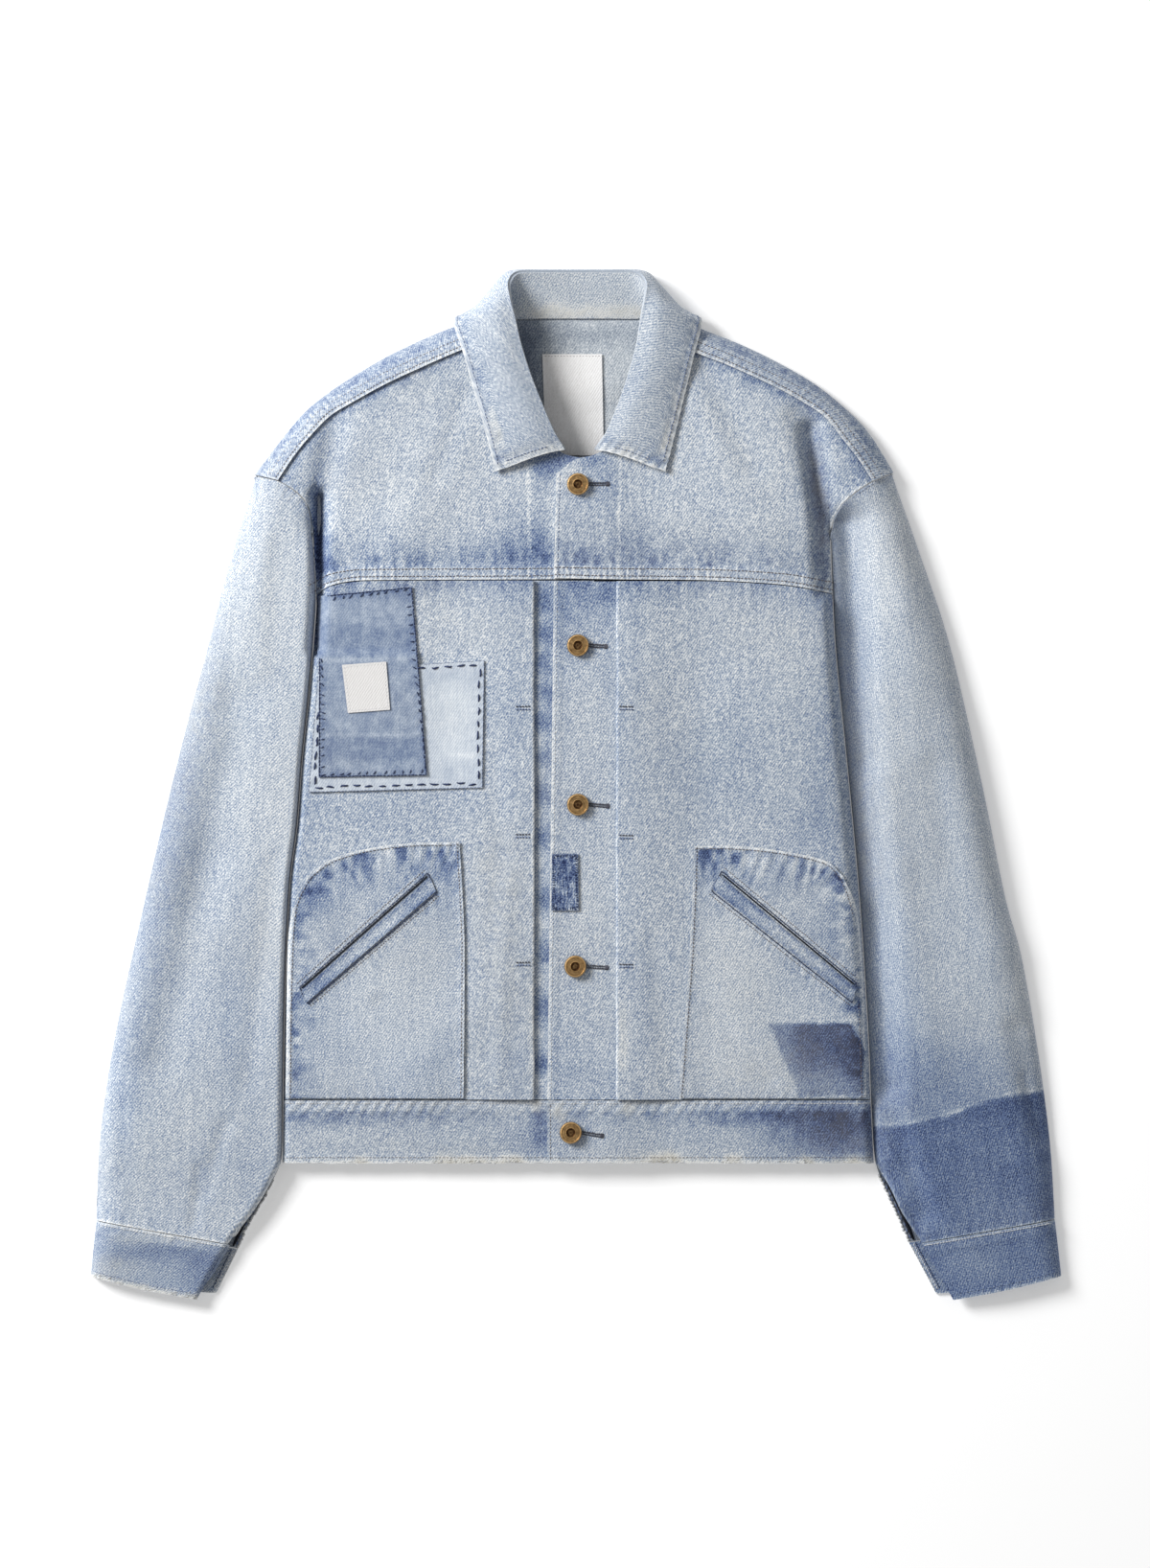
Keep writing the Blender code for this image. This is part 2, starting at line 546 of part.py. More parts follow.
# The collar's stations from the front end round to the middle of the back, on the right side:
# neck seam, roll line, three points over the fall, and the fall's edge, as (outward x, y, z).
COLLAR_STATIONS = [
    [(8.5, 257, 21.3), (9, 257.5, 23), (22, 255, 24.6), (36, 250.5, 24.6), (50, 245, 23.2), (62, 240.5, 21.8)],
    [(20, 267, 21.3), (17.5, 272, 25.2), (30, 271, 27.6), (43, 267.5, 27), (56, 262.5, 24.5), (66, 258.5, 21.8)],
    [(34, 285, 20.9), (27, 294, 27.2), (39, 294, 29.6), (51, 292, 28.6), (63, 290, 25.6), (73.5, 287.5, 21.8)],
    [(44, 304.5, 20.9), (35.5, 316, 28.6), (48, 316, 30.6), (59, 314.5, 29.6), (70, 312.5, 26.2), (80, 310.5, 21.9)],
    [(52, 324, 20.9), (42.5, 338, 29.6), (55, 338, 31.6), (66, 336.5, 29.8), (77, 334, 26.5), (86, 331.5, 22.6)],
    [(61, 345, 20.3), (47, 358, 29.6), (60, 358.5, 30.6), (73, 357.5, 26.8), (84.5, 356, 21), (93, 354.5, 14.5)],
    [(62, 350.5, 17), (49, 366, 29.2), (62, 366.5, 29), (74, 365.5, 22.5), (84, 363, 11), (91.5, 358.5, 4.5)],
    [(62, 354.5, 14), (50.5, 374, 28), (62.5, 373.5, 25), (73, 371, 14), (77, 366, 3), (87, 353.5, 1.7)],
    [(61.3, 362, 5.5), (51.5, 386, 23.5), (59, 385.5, 17.5), (62.5, 383.5, 7.5), (62, 375, 1.7), (80, 333, 1.7)],
    [(46, 360, 2.5), (44.5, 393.8, 17.5), (49.5, 394.6, 12), (51, 394, 5.5), (50, 386, 1.7), (54, 325, 1.7)],
    [(24, 360, 2.5), (24, 394.6, 15), (26, 395.6, 10), (26.5, 395, 4.5), (27, 386, 1.7), (28, 320, 1.7)],
    [(0, 360, 2.5), (0, 394.6, 14), (0, 395.6, 9.5), (0, 395, 4.5), (0, 386, 1.7), (0, 319, 1.7)],
]
LEFT_WIDER = (6.5, 7, 6.5, 5.5, 4.5, 3, 2.5, 2.5, 2, 1, 0, 0)
COLLAR_WALL = 1.6
COLLAR_FLOOR = 1.7
ROLL_GAP = 0.6


def build_collar():
    """The stand, which rises from the neck seam, and the fall, which turns over it."""
    right = np.array(COLLAR_STATIONS, float)
    left = right.copy()
    left[..., 0] += np.array(LEFT_WIDER)[:, None]
    right[..., 0] *= RIGHT
    stations = np.concatenate([right, left[-2::-1]])
    neck, rolled = smooth_line(stations[:, 0], 2), smooth_line(stations[:, 1], 2)
    height = np.linalg.norm(rolled - neck, axis=1, keepdims=True)
    top = rolled - (rolled - neck) * np.minimum(ROLL_GAP / height, 0.5)
    denim = finish_material("denim", DENIM_BLUE)
    stand = np.stack([neck, (neck + top) / 2, top])
    cloth_wall("collar_stand", stand, COLLAR_WALL, denim, inwards=False)
    over = np.array([smooth_line(station[1:], 2) for station in stations])
    fall = smooth_line(over, 2).transpose(1, 0, 2)
    fall[..., 2] = np.maximum(fall[..., 2], COLLAR_FLOOR)
    cloth_wall("collar_fall", fall, COLLAR_WALL, denim, inwards=False)


POCKET = {
    RIGHT: {"side": [(-222.5, -242), (-221, -150), (-219, -108), (-215, -88), (-206, -71)],
            "top": [(-206, -71), (-190, -59), (-165, -51), (-131, -46), (-89.5, -45)],
            "front": [(-86.5, -242), (-85.5, -137), (-87, -88), (-89.5, -45)],
            "welt": [(-213, -156), (-206.5, -169), (-107, -83.5), (-114, -68)]},
    LEFT: {"side": [(222.5, -242), (219.5, -150), (216.5, -108), (212, -88), (205, -71)],
           "top": [(205, -71), (191, -59), (153, -51), (120, -48), (91, -48)],
           "front": [(79, -242), (86.5, -145), (89.5, -90), (91, -48)],
           "welt": [(216, -153), (212.5, -168), (104, -82), (112, -66.5)]},
}


def build_pocket(side):
    """A patch pocket set on the lower front, with a slanted welt over its mouth."""
    shape = POCKET[side]
    low = np.array([shape["side"][0], shape["front"][0]], float)
    lines = {name: moved(smooth_line(shape[name]), dy=SEAM) for name in ("side", "top", "front")}
    low = moved(low, dy=SEAM)
    up = np.linspace(0, 1, 10)
    width = 135
    if side == RIGHT:
        plan = filled_grid(lines["side"], lines["front"], low, lines["top"],
                           spread(width, BODY_ROLL, 0, 6), up)
    else:
        plan = filled_grid(lines["front"], lines["side"], low[::-1], lines["top"][::-1],
                           spread(width, 0, BODY_ROLL, 6), up)
    denim = finish_material("denim", DENIM_BLUE)
    cloth_wall(f"pocket_{side_name(side)}", raised(plan, out=REST + DENIM), DENIM, denim)
    outer_low, outer_high, inner_high, inner_low = (
        np.array(shape["welt"][i], float) for i in (1, 0, 3, 2))
    share = np.linspace(0, 1, 9)[None, :, None]
    up = np.array([0, 1.0])[:, None, None]
    lower, upper = (outer_low + (inner_low - outer_low) * share,
                    outer_high + (inner_high - outer_high) * share)
    plan = lower + (upper - lower) * up
    if side == LEFT:
        plan = plan[:, ::-1]
    plan = plan.reshape(2, -1, 2)
    out = 2 * REST + 2 * DENIM
    cloth_wall(f"pocket_welt_{side_name(side)}", raised(plan, out=out), DENIM, denim)


PALE_PATCH_CORNERS = [(-206, -6), (-72, -2.5), (-70.5, 95.5), (-198.5, 88)]
INDIGO_PATCH_CORNERS = [(-198, 5.5), (-114.5, 7), (-126, 152), (-197.5, 145)]
CHEST_LABEL_CORNERS = [(-175.5, 55), (-143, 57.5), (-146, 94.5), (-180, 92)]
DARN_CORNERS = [(-19, -97), (2, -97), (1.5, -53.5), (-18.5, -53.5)]
NECK_LABEL_CORNERS = [(-23, 254), (21.5, 254), (20, 332), (-26, 332)]


def quad_plan(corners, across, rows):
    """Plan grid between four corners, listed from the lower left one round to the upper left."""
    low_a, low_b, high_b, high_a = np.array(corners, float)
    u = np.asarray(across)[None, :, None]
    v = np.linspace(0, 1, rows)[:, None, None]
    return (1 - v) * ((1 - u) * low_a + u * low_b) + v * ((1 - u) * high_a + u * high_b)


def build_patches():
    """The sewn patches of the right chest, the darn on the band and the two blank labels."""
    pale = quad_plan(PALE_PATCH_CORNERS, spread(130, BODY_ROLL, 0, 8), 9)
    cloth_wall("patch_pale", raised(pale, out=REST + SHIRTING), SHIRTING,
               finish_material("pale_patch", PALE_PATCH))
    indigo = quad_plan(INDIGO_PATCH_CORNERS, spread(80, BODY_ROLL, 0, 4), 15)
    over_pale = 1 - ramp(indigo[..., 1], 97, 106)
    out = REST + SHIRTING + over_pale * (REST + SHIRTING)
    cloth_wall("patch_indigo", raised(indigo, out=out), SHIRTING,
               finish_material("indigo_patch", INDIGO_PATCH))
    label = quad_plan(CHEST_LABEL_CORNERS, np.linspace(0, 1, 4), 4)
    out = 2 * REST + 2 * SHIRTING + REST + LABEL_CLOTH
    cloth_wall("chest_label", raised(label, out=out), LABEL_CLOTH,
               finish_material("white_label", WHITE_LABEL))
    darn = quad_plan(DARN_CORNERS, np.linspace(0, 1, 3), 4)
    cloth_wall("darned_patch", raised(darn, out=GAP + DENIM + REST + SHIRTING), SHIRTING,
               finish_material("indigo_patch", INDIGO_PATCH))
    label = quad_plan(NECK_LABEL_CORNERS, np.linspace(0, 1, 3), 8)
    height = DENIM + yoke_lift(label) + REST + LABEL_CLOTH
    cloth_wall("neck_label", np.concatenate([label, height[..., None]], -1), LABEL_CLOTH,
               finish_material("white_label", WHITE_LABEL))


def build_button(number, x, y):
    """A turned brass button with a sunk middle, on the buttonhole band."""
    radius = BUTTON_RADIUS
    profile = [(0, 1.8), (2.4, 1.8), (3, 3.6), (6.6, 4.2), (radius, 2), (7.6, 0), (0, 0)]
    mesh = bpy.data.meshes.new(f"button_{number}")
    rim = bmesh.new()
    knots = [rim.verts.new((px * MM, 0, pz * MM)) for px, pz in profile]
    for a, b in zip(knots, knots[1:]):
        rim.edges.new((a, b))
    rim.to_mesh(mesh)
    rim.free()
    mesh.shade_smooth()
    piece = add_object(f"button_{number}", mesh, finish_material("brass", BRASS, 0.35, 1.0))
    screw = piece.modifiers.new("turned", "SCREW")
    screw.axis = "Z"
    screw.steps = screw.render_steps = 14
    screw.use_merge_vertices = True
    screw.merge_threshold = 1e-5
    screw.use_normal_calculate = True
    band_top = REST + DOUBLED if y < WAIST_SEAM_Y else GAP + DENIM
    level = float(cloth_height(np.array([[x, y]]))[0])
    if y < WAIST_SEAM_Y:
        level = float(cloth_height(np.array([[x, y]]), floor=BAND_SEAM_LEVEL)[0])
    piece.location = (x * MM, y * MM, (level + band_top + REST) * MM)


def build_jacket():
    """Builds every piece of the jacket."""
    build_back()
    for side in (RIGHT, LEFT):
        build_shoulder(side)
        build_front_yoke(side)
        build_front_panel(side)
        build_waistband(side)
        build_sleeve(side)
        build_under_sleeve(side)
        build_cuff(side)
        build_pocket(side)
    build_bands()
    build_collar()
    build_patches()
    for number, (x, y) in enumerate(BUTTONS, 1):
        build_button(number, x, y)


for old in list(bpy.data.objects):
    bpy.data.objects.remove(old, do_unlink=True)
jacket = bpy.data.collections.new("boro_denim_jacket")
bpy.context.scene.collection.children.link(jacket)
build_jacket()
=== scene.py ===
"""Dresses the laid, patched denim jacket: cloth, wash, stitches, patches, buttons, floor and light.

Pattern sizes are in millimetres; points are turned into metres where a mesh is made.
"Right" and "left" are the wearer's: the right sleeve lies at -X, the left one at +X.
A tone is how light a dyed cloth looks, from 0 for black to 1 for white.
"""

import logging
import math
from dataclasses import dataclass, field
from enum import Enum
from functools import cached_property
from typing import Callable

import bpy
import numpy as np
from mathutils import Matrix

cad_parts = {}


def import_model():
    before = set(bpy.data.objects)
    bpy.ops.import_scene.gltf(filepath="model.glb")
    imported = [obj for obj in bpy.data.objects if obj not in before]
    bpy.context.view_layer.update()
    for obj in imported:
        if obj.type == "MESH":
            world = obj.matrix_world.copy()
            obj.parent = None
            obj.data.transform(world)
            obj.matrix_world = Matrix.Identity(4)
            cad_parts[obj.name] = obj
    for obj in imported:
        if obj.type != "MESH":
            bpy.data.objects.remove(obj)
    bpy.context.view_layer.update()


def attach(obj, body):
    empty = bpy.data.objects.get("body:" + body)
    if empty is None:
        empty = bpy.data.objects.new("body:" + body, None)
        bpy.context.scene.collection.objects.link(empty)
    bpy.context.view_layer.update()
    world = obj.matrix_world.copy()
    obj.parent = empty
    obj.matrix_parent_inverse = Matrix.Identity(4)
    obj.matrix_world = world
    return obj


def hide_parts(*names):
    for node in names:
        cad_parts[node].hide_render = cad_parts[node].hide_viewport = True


LOG = logging.getLogger("jacket")
MM = 0.001
THREAD_KNOTS = np.array([0, 0.3, 0.7, 1])
Array = np.ndarray
Height = Callable[[Array], Array]


class Side(Enum):
    """The wearer's side; the value is the sign of X there."""

    RIGHT = -1
    LEFT = 1

    @property
    def word(self) -> str:
        """The side as it stands in the pieces' names."""
        return self.name.lower()


class Slot(Enum):
    """The record's material slots."""

    DENIM = "denim"
    INSIDE = "denim_inside"
    PALE = "pale_patch"
    INDIGO = "indigo_patch"
    LABEL = "white_label"
    BRASS = "brass"


def smooth_line(knots: list | Array, per_span: int = 4) -> Array:
    """Draws a smooth line through given points.

    Args:
        knots: the points that the line goes through.
        per_span: how many points stand for each span between two knots.

    Returns:
        The points of the line.
    """
    knots = np.asarray(knots, float)
    padded = np.concatenate([[2 * knots[0] - knots[1]], knots, [2 * knots[-1] - knots[-2]]])
    line = []
    for before, start, end, after in zip(padded, padded[1:], padded[2:], padded[3:]):
        for t in np.arange(per_span) / per_span:
            line.append(0.5 * (2 * start + (end - before) * t
                               + (2 * before - 5 * start + 4 * end - after) * t ** 2
                               + (3 * start - before - 3 * end + after) * t ** 3))
    return np.array(line + [knots[-1]])


def run_lengths(line: Array) -> Array:
    """How far along a line each of its points is."""
    return np.concatenate([[0], np.cumsum(np.linalg.norm(np.diff(line, axis=0), axis=1))])


def at_length(line: Array, places: Array) -> Array:
    """Points at these distances along a line."""
    lengths = run_lengths(line)
    return np.stack([np.interp(places, lengths, line[:, k]) for k in range(line.shape[1])], -1)


def along(line: Array, shares: Array) -> Array:
    """Points at these shares of a line's length."""
    return at_length(line, np.asarray(shares) * run_lengths(line)[-1])


def between_x(line: Array, shares: Array) -> Array:
    """Points of a line at these shares of its width.

    Args:
        line: its points, which run one way in x.
        shares: shares of its width.

    Returns:
        The points.
    """
    x = line[0, 0] + np.asarray(shares) * (line[-1, 0] - line[0, 0])
    rising = line if line[0, 0] < line[-1, 0] else line[::-1]
    return np.stack([x, np.interp(x, rising[:, 0], rising[:, 1])], -1)


def moved(line: list | Array, dx: float = 0.0, dy: float = 0.0) -> Array:
    """A line shifted in plan, as by the clearance of a seam."""
    return np.asarray(line, float) + (dx, dy)


def beside(line: list | Array, gap: float) -> Array:
    """A line that keeps a distance from another one, on the left of its run where that is above 0.

    Args:
        line: the points of the other line.
        gap: the distance.

    Returns:
        The line's points.
    """
    line = np.asarray(line, float)
    run = np.gradient(line, axis=0)
    run /= np.linalg.norm(run, axis=1, keepdims=True)
    return line + gap * np.stack([-run[:, 1], run[:, 0]], -1)


def part_between(line: Array, low: float, high: float, axis: int = 0) -> Array:
    """The run of a line between two places on an axis, from the lower to the higher one.

    Args:
        line: its points, which run one way on that axis.
        low: the lower place.
        high: the higher place.
        axis: 0 for x, 1 for y.

    Returns:
        The points of the run, with its two ends.
    """
    line = line if line[0, axis] < line[-1, axis] else line[::-1]
    inside = line[(line[:, axis] > low + 1) & (line[:, axis] < high - 1)]
    ends = [[np.interp(place, line[:, axis], line[:, k]) for k in (0, 1)] for place in (low, high)]
    return np.vstack([ends[:1], inside, ends[1:]])


def nearest(points: Array, line: Array) -> tuple[Array, Array, Array]:
    """Finds where a line passes closest to each point.

    Args:
        points: plan points, in an array of any shape.
        line: the points of a line of straight runs.

    Returns:
        The distance to the line, how far along the line that is, and 1 or -1 for its left or right.
    """
    start, run = line[:-1], np.diff(line, axis=0)
    length = np.linalg.norm(run, axis=1)
    offset = points[..., None, :] - start
    share = np.clip((offset * run).sum(-1) / length ** 2, 0, 1)
    away = np.linalg.norm(offset - share[..., None] * run, axis=-1)
    best = away.argmin(-1)[..., None]
    turn = run[:, 0] * offset[..., 1] - run[:, 1] * offset[..., 0]
    place = np.concatenate([[0], np.cumsum(length)[:-1]]) + share * length
    away, place, turn = (np.take_along_axis(a, best, -1)[..., 0] for a in (away, place, turn))
    return away, place, np.sign(turn)


def ramp(value: Array | float, low: float, high: float) -> Array:
    """A smooth step from 0 at low to 1 at high."""
    t = np.clip((np.asarray(value) - low) / (high - low), 0, 1)
    return t * t * (3 - 2 * t)


def roll(distance: Array, radius: Array | float) -> Array:
    """The share of its height that cloth has at a distance from the edge where it turns over."""
    t = np.clip(distance / radius, 0, 1)
    return np.sqrt(1 - (1 - t) ** 2)


def cloud(points: Array, size: float | tuple[float, float], seed: int) -> Array:
    """Smooth noise from -1 to 1, the same on each run.

    Args:
        points: plan points.
        size: about how large its spots are, or how wide and how tall.
        seed: which noise it is.

    Returns:
        A value for each point.
    """
    lattice = np.random.default_rng(seed).uniform(-1, 1, (64, 64))
    place = points[..., :2] / np.asarray(size, float) + 1000
    cell = np.floor(place).astype(int)
    part = place - cell
    part = part * part * (3 - 2 * part)
    i, j = cell[..., 0] % 64, cell[..., 1] % 64
    after_i, after_j = (i + 1) % 64, (j + 1) % 64
    low = lattice[i, j] + (lattice[after_i, j] - lattice[i, j]) * part[..., 0]
    high = lattice[i, after_j] + (lattice[after_i, after_j] - lattice[i, after_j]) * part[..., 0]
    return low + (high - low) * part[..., 1]


def shares(length: float, cell: float = 2.2) -> Array:
    """Shares across a cloth of this length: close together at its two edges, even between.

    Args:
        length: how long the cloth is.
        cell: about how far apart the shares stand.

    Returns:
        The shares, from 0 to 1.
    """
    lead = np.array([0, 0.5, 1.2, 2.2, 3.6]) * min(1, length / 12)
    count = max(1, round((length - 2 * lead[-1]) / cell))
    middle = np.linspace(lead[-1], length - lead[-1], count + 1)[1:-1]
    return np.concatenate([lead, middle, (length - lead)[::-1]]) / length


def filled_grid(left: Array, right: Array, bottom: Array, top: Array, across: Array, up: Array) -> Array:
    """Fills a panel between its four edges.

    Args:
        left: the left edge, from the bottom up.
        right: the right edge, from the bottom up.
        bottom: the lower edge, from left to right.
        top: the upper edge, from left to right.
        across: shares of the width where the columns stand.
        up: shares of the height where the rows stand.

    Returns:
        Plan points, row by row from the bottom.
    """
    a, b = along(left, up)[:, None, :], along(right, up)[:, None, :]
    low, high = between_x(bottom, across)[None], between_x(top, across)[None]
    u, v = across[None, :, None], up[:, None, None]
    corners = ((1 - u) * (1 - v) * a[0] + u * (1 - v) * b[0]
               + (1 - u) * v * a[-1] + u * v * b[-1])
    return (1 - u) * a + u * b + (1 - v) * low + v * high - corners


def side_grid(side: Side, outer: Array, inner: Array, foot: Array, head: Array, across: Array,
              up: Array) -> Array:
    """Fills a panel of either side of the jacket.

    Args:
        side: the wearer's side that it is on.
        outer: its edge away from the middle, from the bottom up.
        inner: its edge towards the middle, from the bottom up.
        foot: its lower edge, from the outer to the inner one.
        head: its upper edge, from the outer to the inner one.
        across: shares of the width where the columns stand.
        up: shares of the height where the rows stand.

    Returns:
        Plan points, row by row from the bottom.
    """
    if side is Side.RIGHT:
        return filled_grid(outer, inner, foot, head, across, up)
    return filled_grid(inner, outer, foot[::-1], head[::-1], across, up)


def knots_between(start: Array, end: Array) -> Array:
    """The points of short threads between their two ends."""
    return start[:, None] + (end - start)[:, None] * THREAD_KNOTS[None, :, None]


def quad_plan(corners: list, cell: float = 1.6) -> Array:
    """Plan grid between four corners, listed from the lower left one round to the upper left.

    Args:
        corners: the four corners.
        cell: about how large a cell is.

    Returns:
        Plan points, row by row from the bottom.
    """
    low_a, low_b, high_b, high_a = np.array(corners, float)
    u = shares(float(np.linalg.norm(low_b - low_a)), cell)[None, :, None]
    v = shares(float(np.linalg.norm(high_a - low_a)), cell)[:, None, None]
    return (1 - v) * ((1 - u) * low_a + u * low_b) + v * ((1 - u) * high_a + u * high_b)


def strip(x_low: tuple, x_high: tuple, y_low: float, y_high: float, cell: float = 2.2) -> Array:
    """Plan grid of an upright strip whose two edges lean from the hem to the top.

    Args:
        x_low: the left edge's x at the hem and at the top.
        x_high: the right edge's x at the hem and at the top.
        y_low: its lower end.
        y_high: its upper end.
        cell: about how large a cell is.

    Returns:
        Plan points, row by row from the bottom.
    """
    up = shares(y_high - y_low, cell)[:, None]
    across = shares(abs(x_high[0] - x_low[0]), cell)[None, :]
    left = x_low[0] + (x_low[1] - x_low[0]) * up
    right = x_high[0] + (x_high[1] - x_high[0]) * up
    xs = left + (right - left) * across
    return np.stack([xs, np.broadcast_to(y_low + (y_high - y_low) * up, xs.shape)], -1)


def flat_at(level: float) -> Height:
    """Gives the height of cloth that lies flat at one level.

    Args:
        level: how high that is.

    Returns:
        The height over plan points.
    """

    def height(points: Array) -> Array:
        """The level, for each point."""
        return np.full(points.shape[:-1], level)

    return height


def lay(plan: Array, height: Height, out: Array | float = 0.0) -> Array:
    """Puts plan points on a cloth and moves them out along its normal.

    Args:
        plan: plan points.
        height: gives the cloth's height over plan points.
        out: how far they stand off that cloth.

    Returns:
        The points in space.
    """
    points = np.concatenate([plan, height(plan)[..., None]], -1)
    if not np.any(out):
        return points
    step = 0.4
    slopes = [(height(plan + shift) - height(plan - shift)) / (2 * step)
              for shift in (np.array([step, 0]), np.array([0, step]))]
    normal = np.stack([-slopes[0], -slopes[1], np.ones_like(slopes[0])], -1)
    normal /= np.linalg.norm(normal, axis=-1, keepdims=True)
    return points + normal * np.broadcast_to(out, plan.shape[:-1])[..., None]


@dataclass(frozen=True)
class SidePattern:
    """The pattern lines of one side of the jacket, in plan."""

    side: Side
    sleeve_edge: list
    shoulder_edge: list
    valley: list
    valley_top: tuple
    armhole: list
    shoulder_seam: list
    neckline: list
    yoke_seam: list
    slit_top: list
    slit_under: list
    cuff_end: list
    cuff_end_under: list
    pleat_x: float
    sleeve_roll: float
    body_roll: float

    @cached_property
    def garment_edge(self) -> Array:
        """The outer edge of the laid garment, from the cuff to the neck."""
        sleeve = smooth_line(self.cuff_end[:1] + self.sleeve_edge)
        return np.vstack([sleeve[:-1], smooth_line(self.shoulder_edge)])

    @cached_property
    def valley_line(self) -> Array:
        """The valley between body and sleeve, from the top down."""
        return smooth_line([self.valley_top] + self.valley)

    @cached_property
    def sleeve_inner(self) -> Array:
        """The inner edge of the upper sleeve, down to the end of the cuff."""
        slit = smooth_line(self.slit_top + self.cuff_end[-1:])
        return np.vstack([smooth_line(self.valley)[:-1], slit])


RIGHT_PATTERN = SidePattern(
    side=Side.RIGHT,
    sleeve_edge=[(-370, -336), (-368, -282), (-362, -230), (-351, -171), (-334.5, -97), (-317.5, -23),
                 (-299, 51), (-283, 110), (-270, 162), (-258, 202), (-246.5, 238)],
    shoulder_edge=[(-246.5, 238), (-225, 266), (-208, 286), (-191, 300), (-174, 311.5), (-146, 328),
                   (-117, 342), (-92, 352), (-66, 361)],
    valley=[(-203, 191), (-200.5, 147), (-202, 117), (-206, 68), (-211, 21), (-215, -31),
            (-220.5, -75), (-223.5, -134), (-225, -179), (-226, -242), (-226.5, -292)],
    valley_top=(-200, 243),
    armhole=[(-246.5, 238), (-229, 234), (-216, 226), (-208, 217.5), (-204.5, 208), (-203, 191)],
    shoulder_seam=[(-229, 234), (-217, 252), (-205, 267), (-190, 283), (-174, 292.5), (-146, 308),
                   (-117, 321.5), (-92, 332.5), (-63, 344)],
    neckline=[(-63, 344), (-54, 322), (-46, 302), (-36, 282), (-22, 264), (-8, 254), (14, 250)],
    yoke_seam=[(-200.5, 146), (-191, 152), (-174, 156), (-146, 157), (-35, 157.5), (14, 158)],
    slit_top=[(-227.5, -293), (-240, -316), (-252, -334), (-268, -354)],
    slit_under=[(-227.5, -293), (-239, -316), (-251.5, -338), (-261, -358)],
    cuff_end=[(-374.5, -379), (-333, -389.5), (-292.5, -397)],
    cuff_end_under=[(-374.5, -379), (-330, -389), (-277.5, -392.5)],
    pleat_x=-32,
    sleeve_roll=3.5,
    body_roll=4.5,
)
LEFT_PATTERN = SidePattern(
    side=Side.LEFT,
    sleeve_edge=[(369.5, -335), (365.5, -273), (356, -202), (343.5, -131), (331.5, -88), (315, -7),
                 (296, 78), (283.5, 125), (271, 162), (257, 202), (243.5, 240)],
    shoulder_edge=[(243.5, 240), (224, 271), (204, 291), (181, 309), (153, 325), (125, 338.5),
                   (93, 351), (68, 361)],
    valley=[(196.5, 187), (198, 147), (200.5, 103), (206.5, 43), (213, -23), (219, -90),
            (223, -149), (226, -201), (227.5, -242), (230, -292)],
    valley_top=(193, 243),
    armhole=[(243.5, 240), (228, 233.5), (215, 225), (204.5, 215), (198.5, 203), (196.5, 187)],
    shoulder_seam=[(228, 233.5), (218, 249), (204, 267), (190, 284), (167, 298.5), (139, 312.5),
                   (113, 324), (92, 332), (66, 344)],
    neckline=[(66, 344), (59, 322), (52, 302), (43, 282), (29, 264), (15, 254), (-1, 250), (-15, 239)],
    yoke_seam=[(-17, 158.5), (31, 157.5), (96, 157), (139, 155), (167, 152.5), (198, 147)],
    slit_top=[(231, -293), (242, -311), (251.5, -331), (266.5, -353)],
    slit_under=[(231, -293), (236.5, -308), (245, -326), (257, -353)],
    cuff_end=[(374.5, -379), (333, -389.5), (291, -397.5)],
    cuff_end_under=[(374.5, -379), (330, -389), (278, -393)],
    pleat_x=31,
    sleeve_roll=34,
    body_roll=9,
)
PATTERNS = (RIGHT_PATTERN, LEFT_PATTERN)


@dataclass(frozen=True)
class Cloths:
    """Thicknesses of the cloths and the clearances that neighbouring pieces keep."""

    denim: float = 1.2
    doubled: float = 2.2
    shirting: float = 0.9
    label: float = 0.6
    gap: float = 0.3
    rest: float = 0.8
    seam: float = 0.7
    seam_level: float = 1.9
    band_seam_level: float = 3.25


CLOTHS = Cloths()


@dataclass(frozen=True)
class Levels:
    """Lines and widths along the front that several pieces share."""

    waist_seam_y: float = -243
    hem_y: float = -292
    back_yoke_seam_y: float = 150
    back_neck_y: float = 358
    front_edge_x: float = -17
    front_edge_hem_x: float = -22
    underlap_x: float = 14
    yoke_lap: float = 4


LEVELS = Levels()


